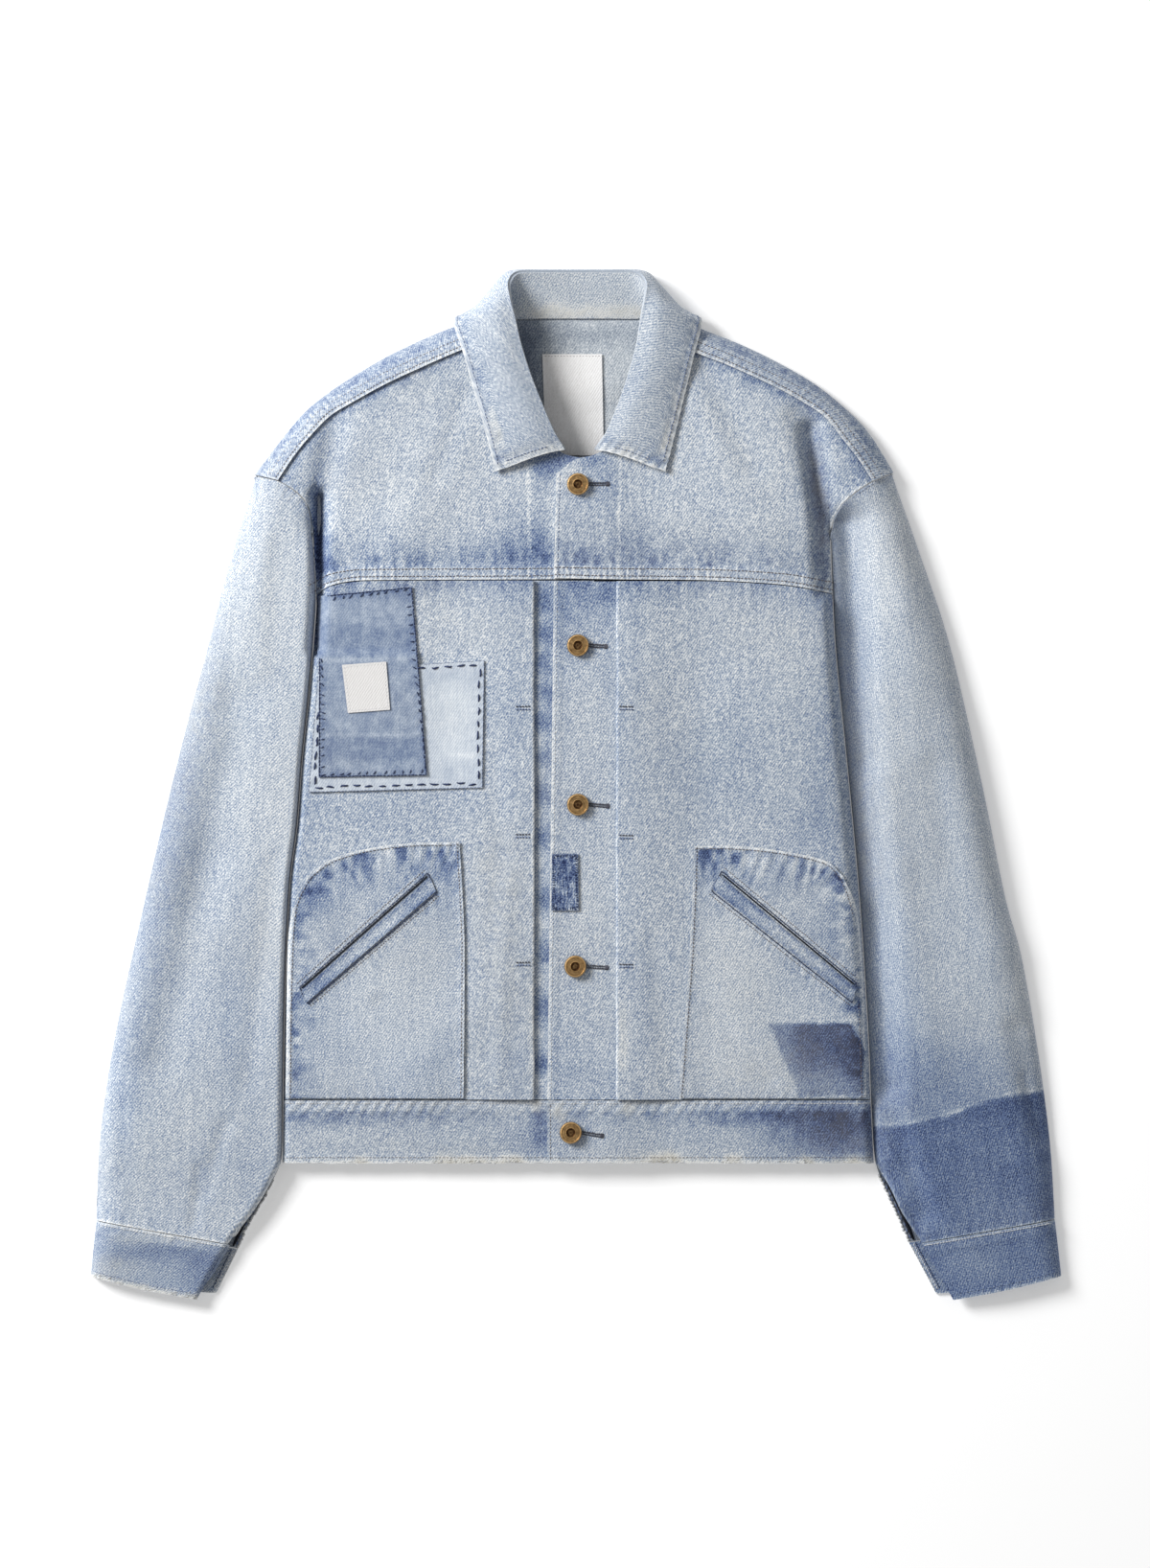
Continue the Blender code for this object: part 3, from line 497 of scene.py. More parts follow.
@dataclass(frozen=True)
class LaidForm:
    """The height that the upper cloth keeps over the table, and the soft creases in it."""

    body_height: tuple = ((-292, 13), (-243, 15), (-120, 18), (60, 20), (400, 20))
    sleeve_height: tuple = ((-400, 12), (-336, 15), (-200, 20), (60, 22), (180, 20), (400, 20))
    edge_roll: tuple = ((-400, 12), (-336, 22), (-200, 30), (150, 30), (260, 24), (400, 24))
    valley_y: tuple = (186, 245)
    slit_y: tuple = (-325, -296)
    slit_lift: float = 0.45
    creases: tuple = (
        (((214, 200), (226, 20)), 12, -5),
        (((248, 190), (268, 30)), 16, 3),
        (((-262, 60), (-292, -90)), 20, -3),
        (((-282, -60), (-318, -210)), 18, -2.5),
        (((-330, -30), (-352, -200)), 14, 2),
        (((342, -190), (362, -268)), 12, -4),
        (((238, -240), (268, -330)), 10, -4),
        (((300, 40), (330, -120)), 20, 2.5),
        (((172, 282), (196, 205)), 11, -4),
        (((-186, 278), (-199, 200)), 11, -3.5),
        (((-60, -150), (-120, -225)), 26, 1.8),
        (((120, -170), (170, -232)), 26, 1.8),
        (((90, 290), (150, 175)), 24, 2),
        (((-100, 270), (-140, 175)), 24, 2),
    )
    small_creases: tuple = (
        (((176, 272), (189, 208)), 5, -1.6),
        (((102, 318), (136, 245)), 10, -1.2),
        (((74, 312), (96, 262)), 8, -0.8),
        (((345, -226), (366, -292)), 4, -1.6),
        (((232, -268), (264, -343)), 3, -0.8),
        (((-290, -296), (-294, -338)), 5, -1.1),
        (((-270, -262), (-286, -316)), 6, -1.0),
        (((-350, -250), (-348, -300)), 7, -0.9),
        (((-262, 170), (-268, 60)), 9, -1.1),
        (((-240, 190), (-244, 90)), 8, 0.9),
        (((-232, -60), (-252, -230)), 9, -1.0),
        (((222, 205), (226, 178)), 4, -0.7),
        (((262, 120), (288, -60)), 12, -1.2),
        (((250, -60), (276, -220)), 11, 1.1),
        (((-150, -168), (-92, -212)), 7, -1.1),
        (((-170, -190), (-108, -236)), 8, 0.8),
        (((106, -178), (150, -226)), 7, -0.8),
        (((-62, 20), (-58, -90)), 8, -0.7),
        (((60, -120), (74, -225)), 9, -0.7),
        (((-52, -70), (-60, -228)), 6, 0.8),
        (((-84, 300), (-108, 236)), 9, -1.0),
        (((207, 200), (214, 60), (228, -90), (238, -230)), 12, -14),
        (((-198.5, 222), (-198, 150), (-200.5, 104)), 4.6, -17),
        (((181, 274), (188, 215), (192, 150)), 7, -9),
    )

    @staticmethod
    def _table(table: tuple, y: Array) -> Array:
        """A value read from a short list of (y, value)."""
        return np.interp(y, *zip(*table))

    @staticmethod
    def _creased(points: Array, creases: tuple) -> Array:
        """The height that a list of creases adds.

        Args:
            points: plan points.
            creases: for each one, its line, width and height.

        Returns:
            The height at each point.
        """
        total = np.zeros(points.shape[:-1])
        for line, width, height in creases:
            away = nearest(points, np.array(line, float))[0]
            total += height * np.exp(-(away / width) ** 2)
        return total

    def height(self, points: Array, on_sleeve: bool = False,
               floor: float | Array = CLOTHS.seam_level) -> Array:
        """Gives the outer face of the upper cloth.

        Args:
            points: plan points.
            on_sleeve: whether they are on a sleeve or cuff.
            floor: the level that the cloth comes down to at its edges.

        Returns:
            The height above the table at each point.
        """
        x, y = points[..., 0], points[..., 1]
        full = self._table(self.sleeve_height if on_sleeve else self.body_height, y)
        share = np.ones_like(x)
        for pattern in PATTERNS:
            edge_away = nearest(points, pattern.garment_edge)[0]
            share = share * roll(edge_away, self._table(self.edge_roll, y))
            valley = pattern.valley_line
            valley_x = np.interp(y, valley[::-1, 1], valley[::-1, 0])
            outside = (x - valley_x) * pattern.side.value > 0
            radius = np.where(outside, pattern.sleeve_roll, pattern.body_roll)
            away = nearest(points, pattern.sleeve_inner if on_sleeve else valley)[0]
            turned = roll(away, radius)
            if on_sleeve:
                open_side = 1 - ramp(y, *self.slit_y)
                lifted = self.slit_lift + (1 - self.slit_lift) * ramp(away / radius, -1, 1)
                turned = turned + (lifted - turned) * open_side
            depth = 1 - ramp(y, *self.valley_y)
            share = share * (1 - depth * (1 - turned))
        crease = self._creased(points, self.creases) + self._creased(points, self.small_creases)
        return floor + (full - floor + crease) * share


FORM = LaidForm()


@dataclass(frozen=True)
class Mark:
    """A zone made paler, or darker where its amount is below 0: mostly what the wash or wear left, in a few
    places painted shade or painted light.
    """

    x: float
    y: float
    wide: float
    tall: float
    amount: float
    turn: float = 0.0
    ragged: float = 0.25
    crisp: float = 0.0
    warm: float = 0.0

    def share(self, points: Array) -> Array:
        """How much of the mark each plan point has, from 0 to 1.

        Args:
            points: plan points.

        Returns:
            The share at each point.
        """
        angle = math.radians(self.turn)
        dx, dy = points[..., 0] - self.x, points[..., 1] - self.y
        across = (dx * math.cos(angle) + dy * math.sin(angle)) / self.wide
        up = (dy * math.cos(angle) - dx * math.sin(angle)) / self.tall
        reach = np.hypot(across, up)
        seed = int(abs(self.x * 7 + self.y)) + 11
        reach = reach + self.ragged * (cloud(points, 9, seed) + cloud(points, 24, seed + 1)) * 0.5
        if self.crisp:
            return 1 - ramp(reach, 1 - self.crisp, 1 + self.crisp)
        return np.exp(-np.clip(reach, 0, 9) ** 2)


@dataclass(frozen=True)
class Seam:
    """A sewn line: the doubled cloth beside it, and how the cloth puckered and faded there.

    side is 1 for the left of the line's run, -1 for its right and 0 for both.
    """

    line: Array
    side: int = 0
    band: float = 0.0
    lift: float = 0.0
    reach: float = 12.0
    pitch: float = 6.5
    pucker: float = 0.25
    rope: float = 0.07
    ladder: float = 0.0
    dark: float = 0.08
    blotch: float = 0.0
    slant: float = 0.5
    seed: int = 1

    def read(self, points: Array) -> tuple[Array, Array]:
        """Reads the seam's effect.

        Args:
            points: plan points.

        Returns:
            The relief and the change of tone at each point.
        """
        away, place, hand = nearest(points, self.line)
        held = np.ones_like(away) if self.side == 0 else (hand == self.side).astype(float)
        spot = np.stack([place, away], -1)
        wander = cloud(spot, (self.pitch * 2.5, 30), self.seed)
        phase = place / self.pitch + self.slant * away / self.pitch + 0.8 * wander
        wave = np.sin(2 * math.pi * phase)
        strength = 0.65 + 0.5 * cloud(spot, (self.pitch * 4, 40), self.seed + 1)
        fade = np.exp(-(np.clip(away - self.band * 0.5, 0, None) / self.reach) ** 2) * held
        clumps = 0.7 + 0.5 * cloud(spot, (self.pitch * 0.8, self.reach), self.seed + 2)
        beyond = np.clip(away - self.band, 0, None)
        stain = np.exp(-(beyond / self.reach) ** 1.5) * ramp(away, self.band - 1, self.band + 0.5)
        relief = self.pucker * wave * strength * fade
        tone = self.rope * wave * strength * fade - self.dark * stain * clumps * held
        spots = ramp(cloud(spot, (self.pitch * 0.55, self.reach * 0.5), self.seed + 3), 0.0, 0.55)
        flecks = ramp(cloud(spot, (self.pitch * 0.4, self.reach * 0.6), self.seed + 4), 0.25, 0.6)
        tone = tone - self.blotch * (spots - 0.55 * flecks) * stain * held
        if self.band:
            doubled = (1 - ramp(away, self.band - 0.6, self.band + 1.4)) * held
            relief = relief + self.lift * doubled
            rung = np.sin(2 * math.pi * (place / (self.pitch * 0.62) + 0.5 * wander))
            tone = tone + doubled * (self.ladder * rung * strength)
        return relief, tone


@dataclass(frozen=True)
class Look:
    """What a finish reads at each point: tone, warm dirt that also greys some painted shade, and distance
    from a rubbed edge.
    """

    tone: Array
    warm: Array
    rubbed: Array


@dataclass(frozen=True)
class Wash:
    """The tone of one piece of cloth, with painted shade or light in a few places, and the small relief that
    washing set in it.
    """

    base: float
    marks: tuple = ()
    seams: tuple = ()
    rubbed: tuple = ()
    faint: tuple = ()
    waves: float = 0.25
    streaks: float = 0.008
    warm: float = 0.0
    seed: int = 1
    crisp_rub: float = 30.0

    def read(self, points: Array) -> tuple[Array, Look]:
        """Reads the wash.

        Args:
            points: plan points.

        Returns:
            The relief at each point, and what its finish reads there.
        """
        tone = self.base + 0.014 * cloud(points, 52, self.seed) + 0.006 * cloud(points, 14, self.seed + 1)
        tone = tone + self.streaks * cloud(points, (3.2, 50), self.seed + 2)
        warm = self.warm + 0.12 * np.clip(cloud(points, 60, self.seed + 3), 0, 1)
        relief = self.waves * cloud(points, 45, self.seed + 4)
        for mark in self.marks:
            share = mark.share(points)
            tone = tone + mark.amount * share
            warm = warm + mark.warm * share
        for seam in self.seams:
            raised, change = seam.read(points)
            relief = relief + raised
            tone = tone + change
        rubbed = np.full(points.shape[:-1], self.crisp_rub)
        for line in self.rubbed:
            rubbed = np.minimum(rubbed, nearest(points, line)[0])
        for line in self.faint:
            rubbed = np.minimum(rubbed, nearest(points, line)[0] + 1.3)
        return relief, Look(tone, warm, rubbed)


class NodeBoard:
    """Adds and joins the nodes of one material."""

    def __init__(self, name: str) -> None:
        """Starts a material with its shader.

        Args:
            name: the material's name.
        """
        self.material = bpy.data.materials.new(name)
        self.material.use_nodes = True
        self.nodes = self.material.node_tree.nodes
        self.links = self.material.node_tree.links
        self.shader = self.nodes["Principled BSDF"]

    def join(self, node: bpy.types.Node, inputs: dict) -> None:
        """Sets a node's inputs, from other nodes' sockets or from plain values.

        Args:
            node: the node.
            inputs: what its inputs hold, by name or number.
        """
        for key, value in inputs.items():
            if isinstance(value, bpy.types.NodeSocket):
                self.links.new(value, node.inputs[key])
            else:
                node.inputs[key].default_value = value

    def add(self, kind: str, inputs: dict, **settings: object) -> bpy.types.Node:
        """Adds a node.

        Args:
            kind: Blender's name for the kind, without its first words.
            inputs: what its inputs hold, by name or number.
            settings: the node's own settings.

        Returns:
            The node.
        """
        node = self.nodes.new("ShaderNode" + kind)
        for key, value in settings.items():
            setattr(node, key, value)
        self.join(node, inputs)
        return node

    def sum(self, *terms: object) -> bpy.types.NodeSocket:
        """Adds up sockets and numbers.

        Args:
            terms: what is added up.

        Returns:
            The sum's socket.
        """
        total = terms[0]
        for term in terms[1:]:
            total = self.add("Math", {0: total, 1: term}, operation="ADD").outputs[0]
        return total

    def times(self, value: object, factor: object) -> bpy.types.NodeSocket:
        """Multiplies two sockets or numbers."""
        return self.add("Math", {0: value, 1: factor}, operation="MULTIPLY").outputs[0]

    def swing(self, vector: bpy.types.NodeSocket, scale: float, detail: float, amount: float,
              stretch: tuple = (1, 1, 1)) -> bpy.types.NodeSocket:
        """Noise about zero.

        Args:
            vector: where it is read.
            scale: spots in a metre.
            detail: how many finer layers it has.
            amount: what it is multiplied by.
            stretch: how its three axes are scaled.

        Returns:
            The value's socket.
        """
        place = self.add("VectorMath", {0: vector, 1: stretch}, operation="MULTIPLY").outputs[0]
        noise = self.add("TexNoise", {"Vector": place, "Scale": scale, "Detail": detail})
        centred = self.add("Math", {0: noise.outputs[0], 1: -0.5}, operation="ADD").outputs[0]
        return self.times(centred, amount)

    def attribute(self, name: str, output: str = "Fac") -> bpy.types.NodeSocket:
        """A value that the mesh carries at each point."""
        return self.add("Attribute", {}, attribute_name=name).outputs[output]

    def colours(self, value: bpy.types.NodeSocket, stops: tuple) -> bpy.types.NodeSocket:
        """A colour read from a row of (place, red, green, blue).

        Args:
            value: the place that is read.
            stops: the row.

        Returns:
            The colour's socket.
        """
        node = self.add("ValToRGB", {"Fac": value})
        row = node.color_ramp.elements
        row.remove(row[1])
        for number, (place, *colour) in enumerate(stops):
            stop = row[0] if number == 0 else row.new(place)
            stop.position = place
            stop.color = (*colour, 1)
        return node.outputs["Color"]

    def blend(self, share: object, first: object, second: object) -> bpy.types.NodeSocket:
        """The first colour, turned into the second one by a share."""
        node = self.add("Mix", {0: share, 6: first, 7: second}, data_type="RGBA")
        return node.outputs[2]


DENIM_TONES = (
    (0.20, 0.020, 0.032, 0.085),
    (0.30, 0.046, 0.072, 0.165),
    (0.38, 0.076, 0.118, 0.256),
    (0.45, 0.118, 0.170, 0.312),
    (0.57, 0.222, 0.288, 0.410),
    (0.66, 0.330, 0.390, 0.484),
    (0.73, 0.430, 0.484, 0.560),
    (0.78, 0.515, 0.567, 0.625),
    (0.86, 0.665, 0.703, 0.745),
    (0.94, 0.840, 0.850, 0.845),
)
INSIDE_TONES = (
    (0.20, 0.040, 0.050, 0.080),
    (0.45, 0.140, 0.170, 0.230),
    (0.60, 0.275, 0.315, 0.375),
    (0.75, 0.480, 0.520, 0.560),
    (0.90, 0.740, 0.760, 0.770),
)
COTTON_TONES = (
    (0.20, 0.016, 0.028, 0.090),
    (0.38, 0.070, 0.110, 0.240),
    (0.52, 0.170, 0.225, 0.345),
    (0.63, 0.285, 0.345, 0.450),
    (0.74, 0.435, 0.495, 0.585),
    (0.85, 0.640, 0.690, 0.745),
    (0.95, 0.860, 0.880, 0.900),
)


@dataclass(frozen=True)
class ClothFinish:
    """A dyed, washed cloth: its row of tones and how strongly its threads show."""

    name: str
    tones: tuple = DENIM_TONES
    twill: float = 0.075
    twill_pitch: float = 1.75
    speckle: float = 0.92
    slub: float = 0.16
    mottle: float = 0.03
    rub: float = 0.17
    # The warm grey that the warm value mixes in: dirt, and the grey of some painted shade.
    dirt: tuple = (0.46, 0.44, 0.38, 1)
    sheen: float = 0.12
    bump: float = 0.5

    def material(self) -> bpy.types.Material:
        """The finish as nodes.

        Returns:
            The material.
        """
        board = NodeBoard(self.name)
        cloth = board.attribute("cloth", "Vector")
        turn = 2 * math.pi / (self.twill_pitch * MM)
        ribs = (0.84 * turn, -0.54 * turn, 0.0)
        phase = board.add("VectorMath", {0: cloth, 1: ribs}, operation="DOT_PRODUCT").outputs["Value"]
        phase = board.sum(phase, board.swing(cloth, 260, 1, 5.0))
        rib = board.add("Math", {0: phase}, operation="SINE").outputs[0]
        speckle = board.swing(cloth, 820, 2, self.speckle)
        slub = board.swing(cloth, 1, 1, self.slub, (720, 75, 1))
        weft = board.swing(cloth, 1, 1, self.slub * 0.4, (120, 700, 1))
        mottle = board.swing(cloth, 120, 3, self.mottle)
        rubbed = board.sum(board.attribute("rubbed"), board.swing(cloth, 320, 2, 5.0))
        rub = board.add("MapRange", {"Value": rubbed, "From Min": 0.4, "From Max": 2.3,
                                     "To Min": self.rub, "To Max": 0.0}).outputs[0]
        tone = board.sum(board.attribute("tone"), speckle, slub, weft, mottle, rub,
                         board.times(rib, self.twill))
        colour = board.colours(tone, self.tones)
        dirt_and_shade_share = board.times(board.attribute("warm"), board.sum(0.8, board.swing(cloth, 140, 2, 1.6)))
        colour = board.blend(dirt_and_shade_share, colour, self.dirt)
        relief = board.sum(board.times(rib, 0.16), speckle, board.times(slub, 1.5))
        normal = board.add("Bump", {"Height": relief, "Strength": self.bump, "Distance": 0.0006})
        rough = board.sum(0.9, board.swing(cloth, 400, 1, 0.2))
        board.join(board.shader, {"Base Color": colour, "Normal": normal.outputs[0],
                                  "Roughness": rough, "Sheen Weight": self.sheen,
                                  "Specular IOR Level": 0.2})
        return board.material


@dataclass(frozen=True)
class ThreadFinish:
    """A sewing or fraying thread, with its two plies and worn spots."""

    name: str
    colour: tuple
    worn: tuple

    def material(self) -> bpy.types.Material:
        """The finish as nodes.

        Returns:
            The material.
        """
        board = NodeBoard(self.name)
        place = board.add("TexCoord", {}).outputs["Object"]
        wear = board.sum(0.5, board.swing(place, 260, 2, 2.2))
        colour = board.blend(wear, self.colour, self.worn)
        plies = board.swing(place, 2600, 1, 1.0)
        normal = board.add("Bump", {"Height": plies, "Strength": 0.4, "Distance": 0.0003})
        board.join(board.shader, {"Base Color": colour, "Normal": normal.outputs[0],
                                  "Roughness": board.sum(0.8, plies), "Specular IOR Level": 0.25})
        return board.material


@dataclass(frozen=True)
class BrassFinish:
    """Aged brass: bright where it is rubbed, brown in its hollows."""

    name: str
    bright: tuple = (0.78, 0.50, 0.22, 1)
    dull: tuple = (0.070, 0.030, 0.012, 1)

    def material(self) -> bpy.types.Material:
        """The finish as nodes.

        Returns:
            The material.
        """
        board = NodeBoard(self.name)
        place = board.add("TexCoord", {}).outputs["Object"]
        wear = board.sum(board.attribute("tone"), board.swing(place, 420, 3, 1.1))
        colour = board.blend(wear, self.dull, self.bright)
        pits = board.swing(place, 1500, 3, 1.0)
        normal = board.add("Bump", {"Height": pits, "Strength": 0.35, "Distance": 0.0003})
        rough = board.sum(0.42, board.swing(place, 600, 2, 0.5))
        board.join(board.shader, {"Base Color": colour, "Metallic": 0.9, "Roughness": rough,
                                  "Normal": normal.outputs[0]})
        return board.material


class Finishes:
    """Every finish of the jacket, made once."""

    def __init__(self) -> None:
        """Makes the materials."""
        self.denim = ClothFinish("washed denim").material()
        self.inside = ClothFinish("denim inside", tones=INSIDE_TONES, twill=0.05, speckle=0.6,
                                  mottle=0.12).material()
        self.indigo = ClothFinish("indigo cotton", tones=COTTON_TONES, twill=0.01, speckle=0.32,
                                  slub=0.16, mottle=0.30, rub=0.12).material()
        self.darned = ClothFinish("darned cotton", tones=COTTON_TONES, twill=0.02, speckle=1.1,
                                  slub=0.7, mottle=0.9, rub=0.1, bump=0.8).material()
        self.pale = ClothFinish("pale cotton", tones=COTTON_TONES, twill=0.01, speckle=0.16,
                                slub=0.14, mottle=0.1, rub=0.06).material()
        self.tape = ClothFinish("label tape", tones=((0.2, 0.3, 0.29, 0.28), (0.85, 0.74, 0.725, 0.715),
                                                     (0.95, 0.9, 0.89, 0.885)), twill=0.0,
                                speckle=0.12, slub=0.08, mottle=0.05, rub=0.02).material()
        self.brown_thread = ThreadFinish("brown grey thread", (0.085, 0.070, 0.075, 1),
                                         (0.26, 0.23, 0.23, 1)).material()
        self.navy_thread = ThreadFinish("navy thread", (0.012, 0.020, 0.065, 1),
                                        (0.05, 0.07, 0.15, 1)).material()
        self.white_thread = ThreadFinish("white thread", (0.74, 0.74, 0.72, 1),
                                         (0.56, 0.58, 0.62, 1)).material()
        self.blue_thread = ThreadFinish("blue thread", (0.055, 0.085, 0.20, 1),
                                        (0.22, 0.28, 0.42, 1)).material()
        self.grey_thread = ThreadFinish("dark grey thread", (0.028, 0.030, 0.042, 1),
                                        (0.12, 0.12, 0.15, 1)).material()
        self.slit = ThreadFinish("shadow in a slit", (0.004, 0.005, 0.009, 1),
                                 (0.012, 0.014, 0.022, 1)).material()
        self.brass = BrassFinish("aged brass").material()


@dataclass(frozen=True)
class Cut:
    """What a sheet was cut to, in metres, and what it lies on."""

    flat: tuple
    rests_on: tuple
    area: float | None = None


class Rack:
    def __init__(self, finishes: Finishes) -> None:
        """Starts with no piece.

        Args:
            finishes: what the pieces can be made of.
        """
        self.finishes = finishes
        self.sheets: dict[str, tuple] = {}
        self.sewn_on: dict[str, list] = {}

    def hang(self, name: str, mesh: bpy.types.Mesh, slot: Slot, node: str = "") -> bpy.types.Object:
        """Makes a piece of a mesh, and says what it rides on and stands for.

        Args:
            name: the piece's name.
            mesh: its mesh, in place.
            slot: the record's slot for its finish; not used.
            node: the CAD node that it replaces, if any.

        Returns:
            The piece.
        """
        piece = bpy.data.objects.new(name, mesh)
        bpy.context.scene.collection.objects.link(piece)
        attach(piece, "root")
        if node:
            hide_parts(node)
        LOG.info("%s: %d faces", name, len(mesh.polygons))
        return piece

    def sheet(self, node: str, mesh: bpy.types.Mesh, slot: Slot, cut: Cut) -> None:
        """Hangs a sheet of cloth that stands for its CAD node."""
        self.sheets[node] = (self.hang(f"{node}_cloth", mesh, slot, node), cut)

    def sew(self, node: str, piece: bpy.types.Object) -> None:
        """Notes that a piece, such as a row of stitches, is on that node's sheet."""
        self.sewn_on.setdefault(node, []).append(piece)

    def thread(self, node: str, name: str, paths: Array, radius: float, material: bpy.types.Material,
               slot: Slot = Slot.DENIM, taper: tuple = (0.55, 1, 1, 0.55), ring: int = 5) -> None:
        """Makes threads that are sewn on a node's sheet, as one piece.

        Args:
            node: the CAD node that the sheet stands for.
            name: the piece's name.
            paths: for each thread, the points that it follows, in millimetres.
            radius: half the thread's thickness.
            material: its finish.
            slot: the record's slot that it takes its finish from.
            taper: the share of the radius at each of a thread's points.
            ring: how many sides a thread has.
        """
        self.sew(node, self.hang(name, thread_mesh(name, paths, radius, material, taper, ring), slot))


def plain_mesh(name: str, points: Array, faces: list, materials: list) -> bpy.types.Mesh:
    """A mesh from points in millimetres.

    Args:
        name: the mesh's name.
        points: its points.
        faces: for each face, the numbers of its points.
        materials: its finishes.

    Returns:
        The mesh.
    """
    mesh = bpy.data.meshes.new(name)
    mesh.from_pydata((np.asarray(points) * MM).tolist(), [], faces)
    for material in materials:
        mesh.materials.append(material)
    mesh.shade_smooth()
    return mesh


def carry(mesh: bpy.types.Mesh, name: str, values: Array) -> None:
    """Gives a mesh a value, or a vector, at each point.

    Args:
        mesh: the mesh.
        name: what the finish knows the value by.
        values: the value or vector for each point.
    """
    kind, key = ("FLOAT_VECTOR", "vector") if values.ndim > 1 else ("FLOAT", "value")
    layer = mesh.attributes.new(name, kind, "POINT")
    layer.data.foreach_set(key, values.astype(np.float32).ravel())


def face_normals(face: Array) -> Array:
    """Unit normals of a grid of points."""
    normal = np.cross(np.gradient(face, axis=1), np.gradient(face, axis=0))
    return normal / np.maximum(np.linalg.norm(normal, axis=-1, keepdims=True), 1e-9)


def cloth_lengths(face: Array) -> Array:
    """How far along its rows and columns each point of a laid sheet is, on the cloth.

    Args:
        face: the sheet's grid of points.

    Returns:
        The two lengths at each point, from the sheet's middle.
    """
    middle_row, middle_column = face.shape[0] // 2, face.shape[1] // 2
    u = np.concatenate([np.zeros((len(face), 1)),
                        np.cumsum(np.linalg.norm(np.diff(face, axis=1), axis=-1), axis=1)], axis=1)
    v = np.concatenate([np.zeros((1, face.shape[1])),
                        np.cumsum(np.linalg.norm(np.diff(face, axis=0), axis=-1), axis=0)], axis=0)
    u = u - u[:, middle_column:middle_column + 1]
    v = v - v[middle_row:middle_row + 1]
    return np.stack([u, v], -1)


def shell_mesh(name: str, face: Array, wall: float, look: Look, materials: list,
               seed: int = 0, outwards: bool = False, by_rows: bool = False) -> bpy.types.Mesh:
    """Makes a thin closed shell of a sheet of cloth.

    Args:
        name: the mesh's name.
        face: a grid of points of one face of the cloth, in millimetres.
        wall: the cloth's thickness.
        look: what the finish reads at each point.
        materials: the finish of that face, and of the other one.
        seed: which part of the weave the sheet was cut from.
        outwards: whether the thickness goes out from the face instead of in.
        by_rows: whether the weave follows the sheet's own rows and columns.

    Returns:
        The mesh.
    """
    rows, columns = face.shape[:2]
    other = face + face_normals(face) * (wall if outwards else -wall)
    count = rows * columns
    index = np.arange(count).reshape(rows, columns)
    quads = np.stack([index[:-1, :-1], index[:-1, 1:], index[1:, 1:], index[1:, :-1]], -1).reshape(-1, 4)
    ring = np.concatenate([index[0, :-1], index[:-1, -1], index[-1, :0:-1], index[:0:-1, 0]])
    after = np.roll(ring, -1)
    rim = np.stack([after, ring, ring + count, after + count], -1)
    faces = np.concatenate([quads, quads[:, ::-1] + count, rim])
    if outwards:
        faces = faces[:, ::-1]
    mesh = plain_mesh(name, np.concatenate([face.reshape(-1, 3), other.reshape(-1, 3)]),
                      faces.tolist(), materials)
    slots = np.zeros(len(faces), np.int32)
    slots[len(quads):2 * len(quads)] = len(materials) - 1
    if outwards:
        slots = (len(materials) - 1) * (1 - slots)
        slots[2 * len(quads):] = 0
    mesh.polygons.foreach_set("material_index", slots)
    mesh.set_sharp_from_angle(angle=math.radians(55))
    grain = (cloth_lengths(face) if by_rows else face[..., :2]) * MM
    grain = np.concatenate([grain, np.full((rows, columns, 1), 0.0437 + seed * 0.3719)], -1).reshape(-1, 3)
    carry(mesh, "cloth", np.concatenate([grain, grain + (0.11, 0.05, 0.2)]))
    for key in ("tone", "warm", "rubbed"):
        values = np.broadcast_to(getattr(look, key), (rows, columns)).ravel()
        carry(mesh, key, np.concatenate([values, values]))
    return mesh


def thread_mesh(name: str, paths: Array, radius: float, material: bpy.types.Material,
                taper: tuple = (0.55, 1, 1, 0.55), ring: int = 5) -> bpy.types.Mesh:
    """Makes many short threads as one mesh.

    Args:
        name: the mesh's name.
        paths: for each thread, the points that it follows, in millimetres.
        radius: half the thread's thickness.
        material: its finish.
        taper: the share of the radius at each of a thread's points.
        ring: how many sides a thread has.

    Returns:
        The mesh.
    """
    count, points = paths.shape[:2]
    run = np.gradient(paths, axis=1)
    run /= np.maximum(np.linalg.norm(run, axis=-1, keepdims=True), 1e-9)
    aside = np.cross(run, (0.0, 0.0, 1.0))
    aside /= np.maximum(np.linalg.norm(aside, axis=-1, keepdims=True), 1e-9)
    up = np.cross(aside, run)
    angle = np.arange(ring) * 2 * math.pi / ring
    rings = (aside[:, :, None] * np.cos(angle)[:, None] + 0.8 * up[:, :, None] * np.sin(angle)[:, None])
    size = radius * np.asarray(taper)[None, :, None, None]
    vertices = paths[:, :, None] + rings * size
    index = np.arange(count * points * ring).reshape(count, points, ring)
    beside_it = np.roll(index, -1, axis=2)
    walls = np.stack([index[:, :-1], beside_it[:, :-1], beside_it[:, 1:], index[:, 1:]], -1)
    faces = walls.reshape(-1, 4).tolist()
    faces += index[:, 0, ::-1].tolist() + index[:, -1].tolist()
    return plain_mesh(name, vertices.reshape(-1, 3), faces, [material])


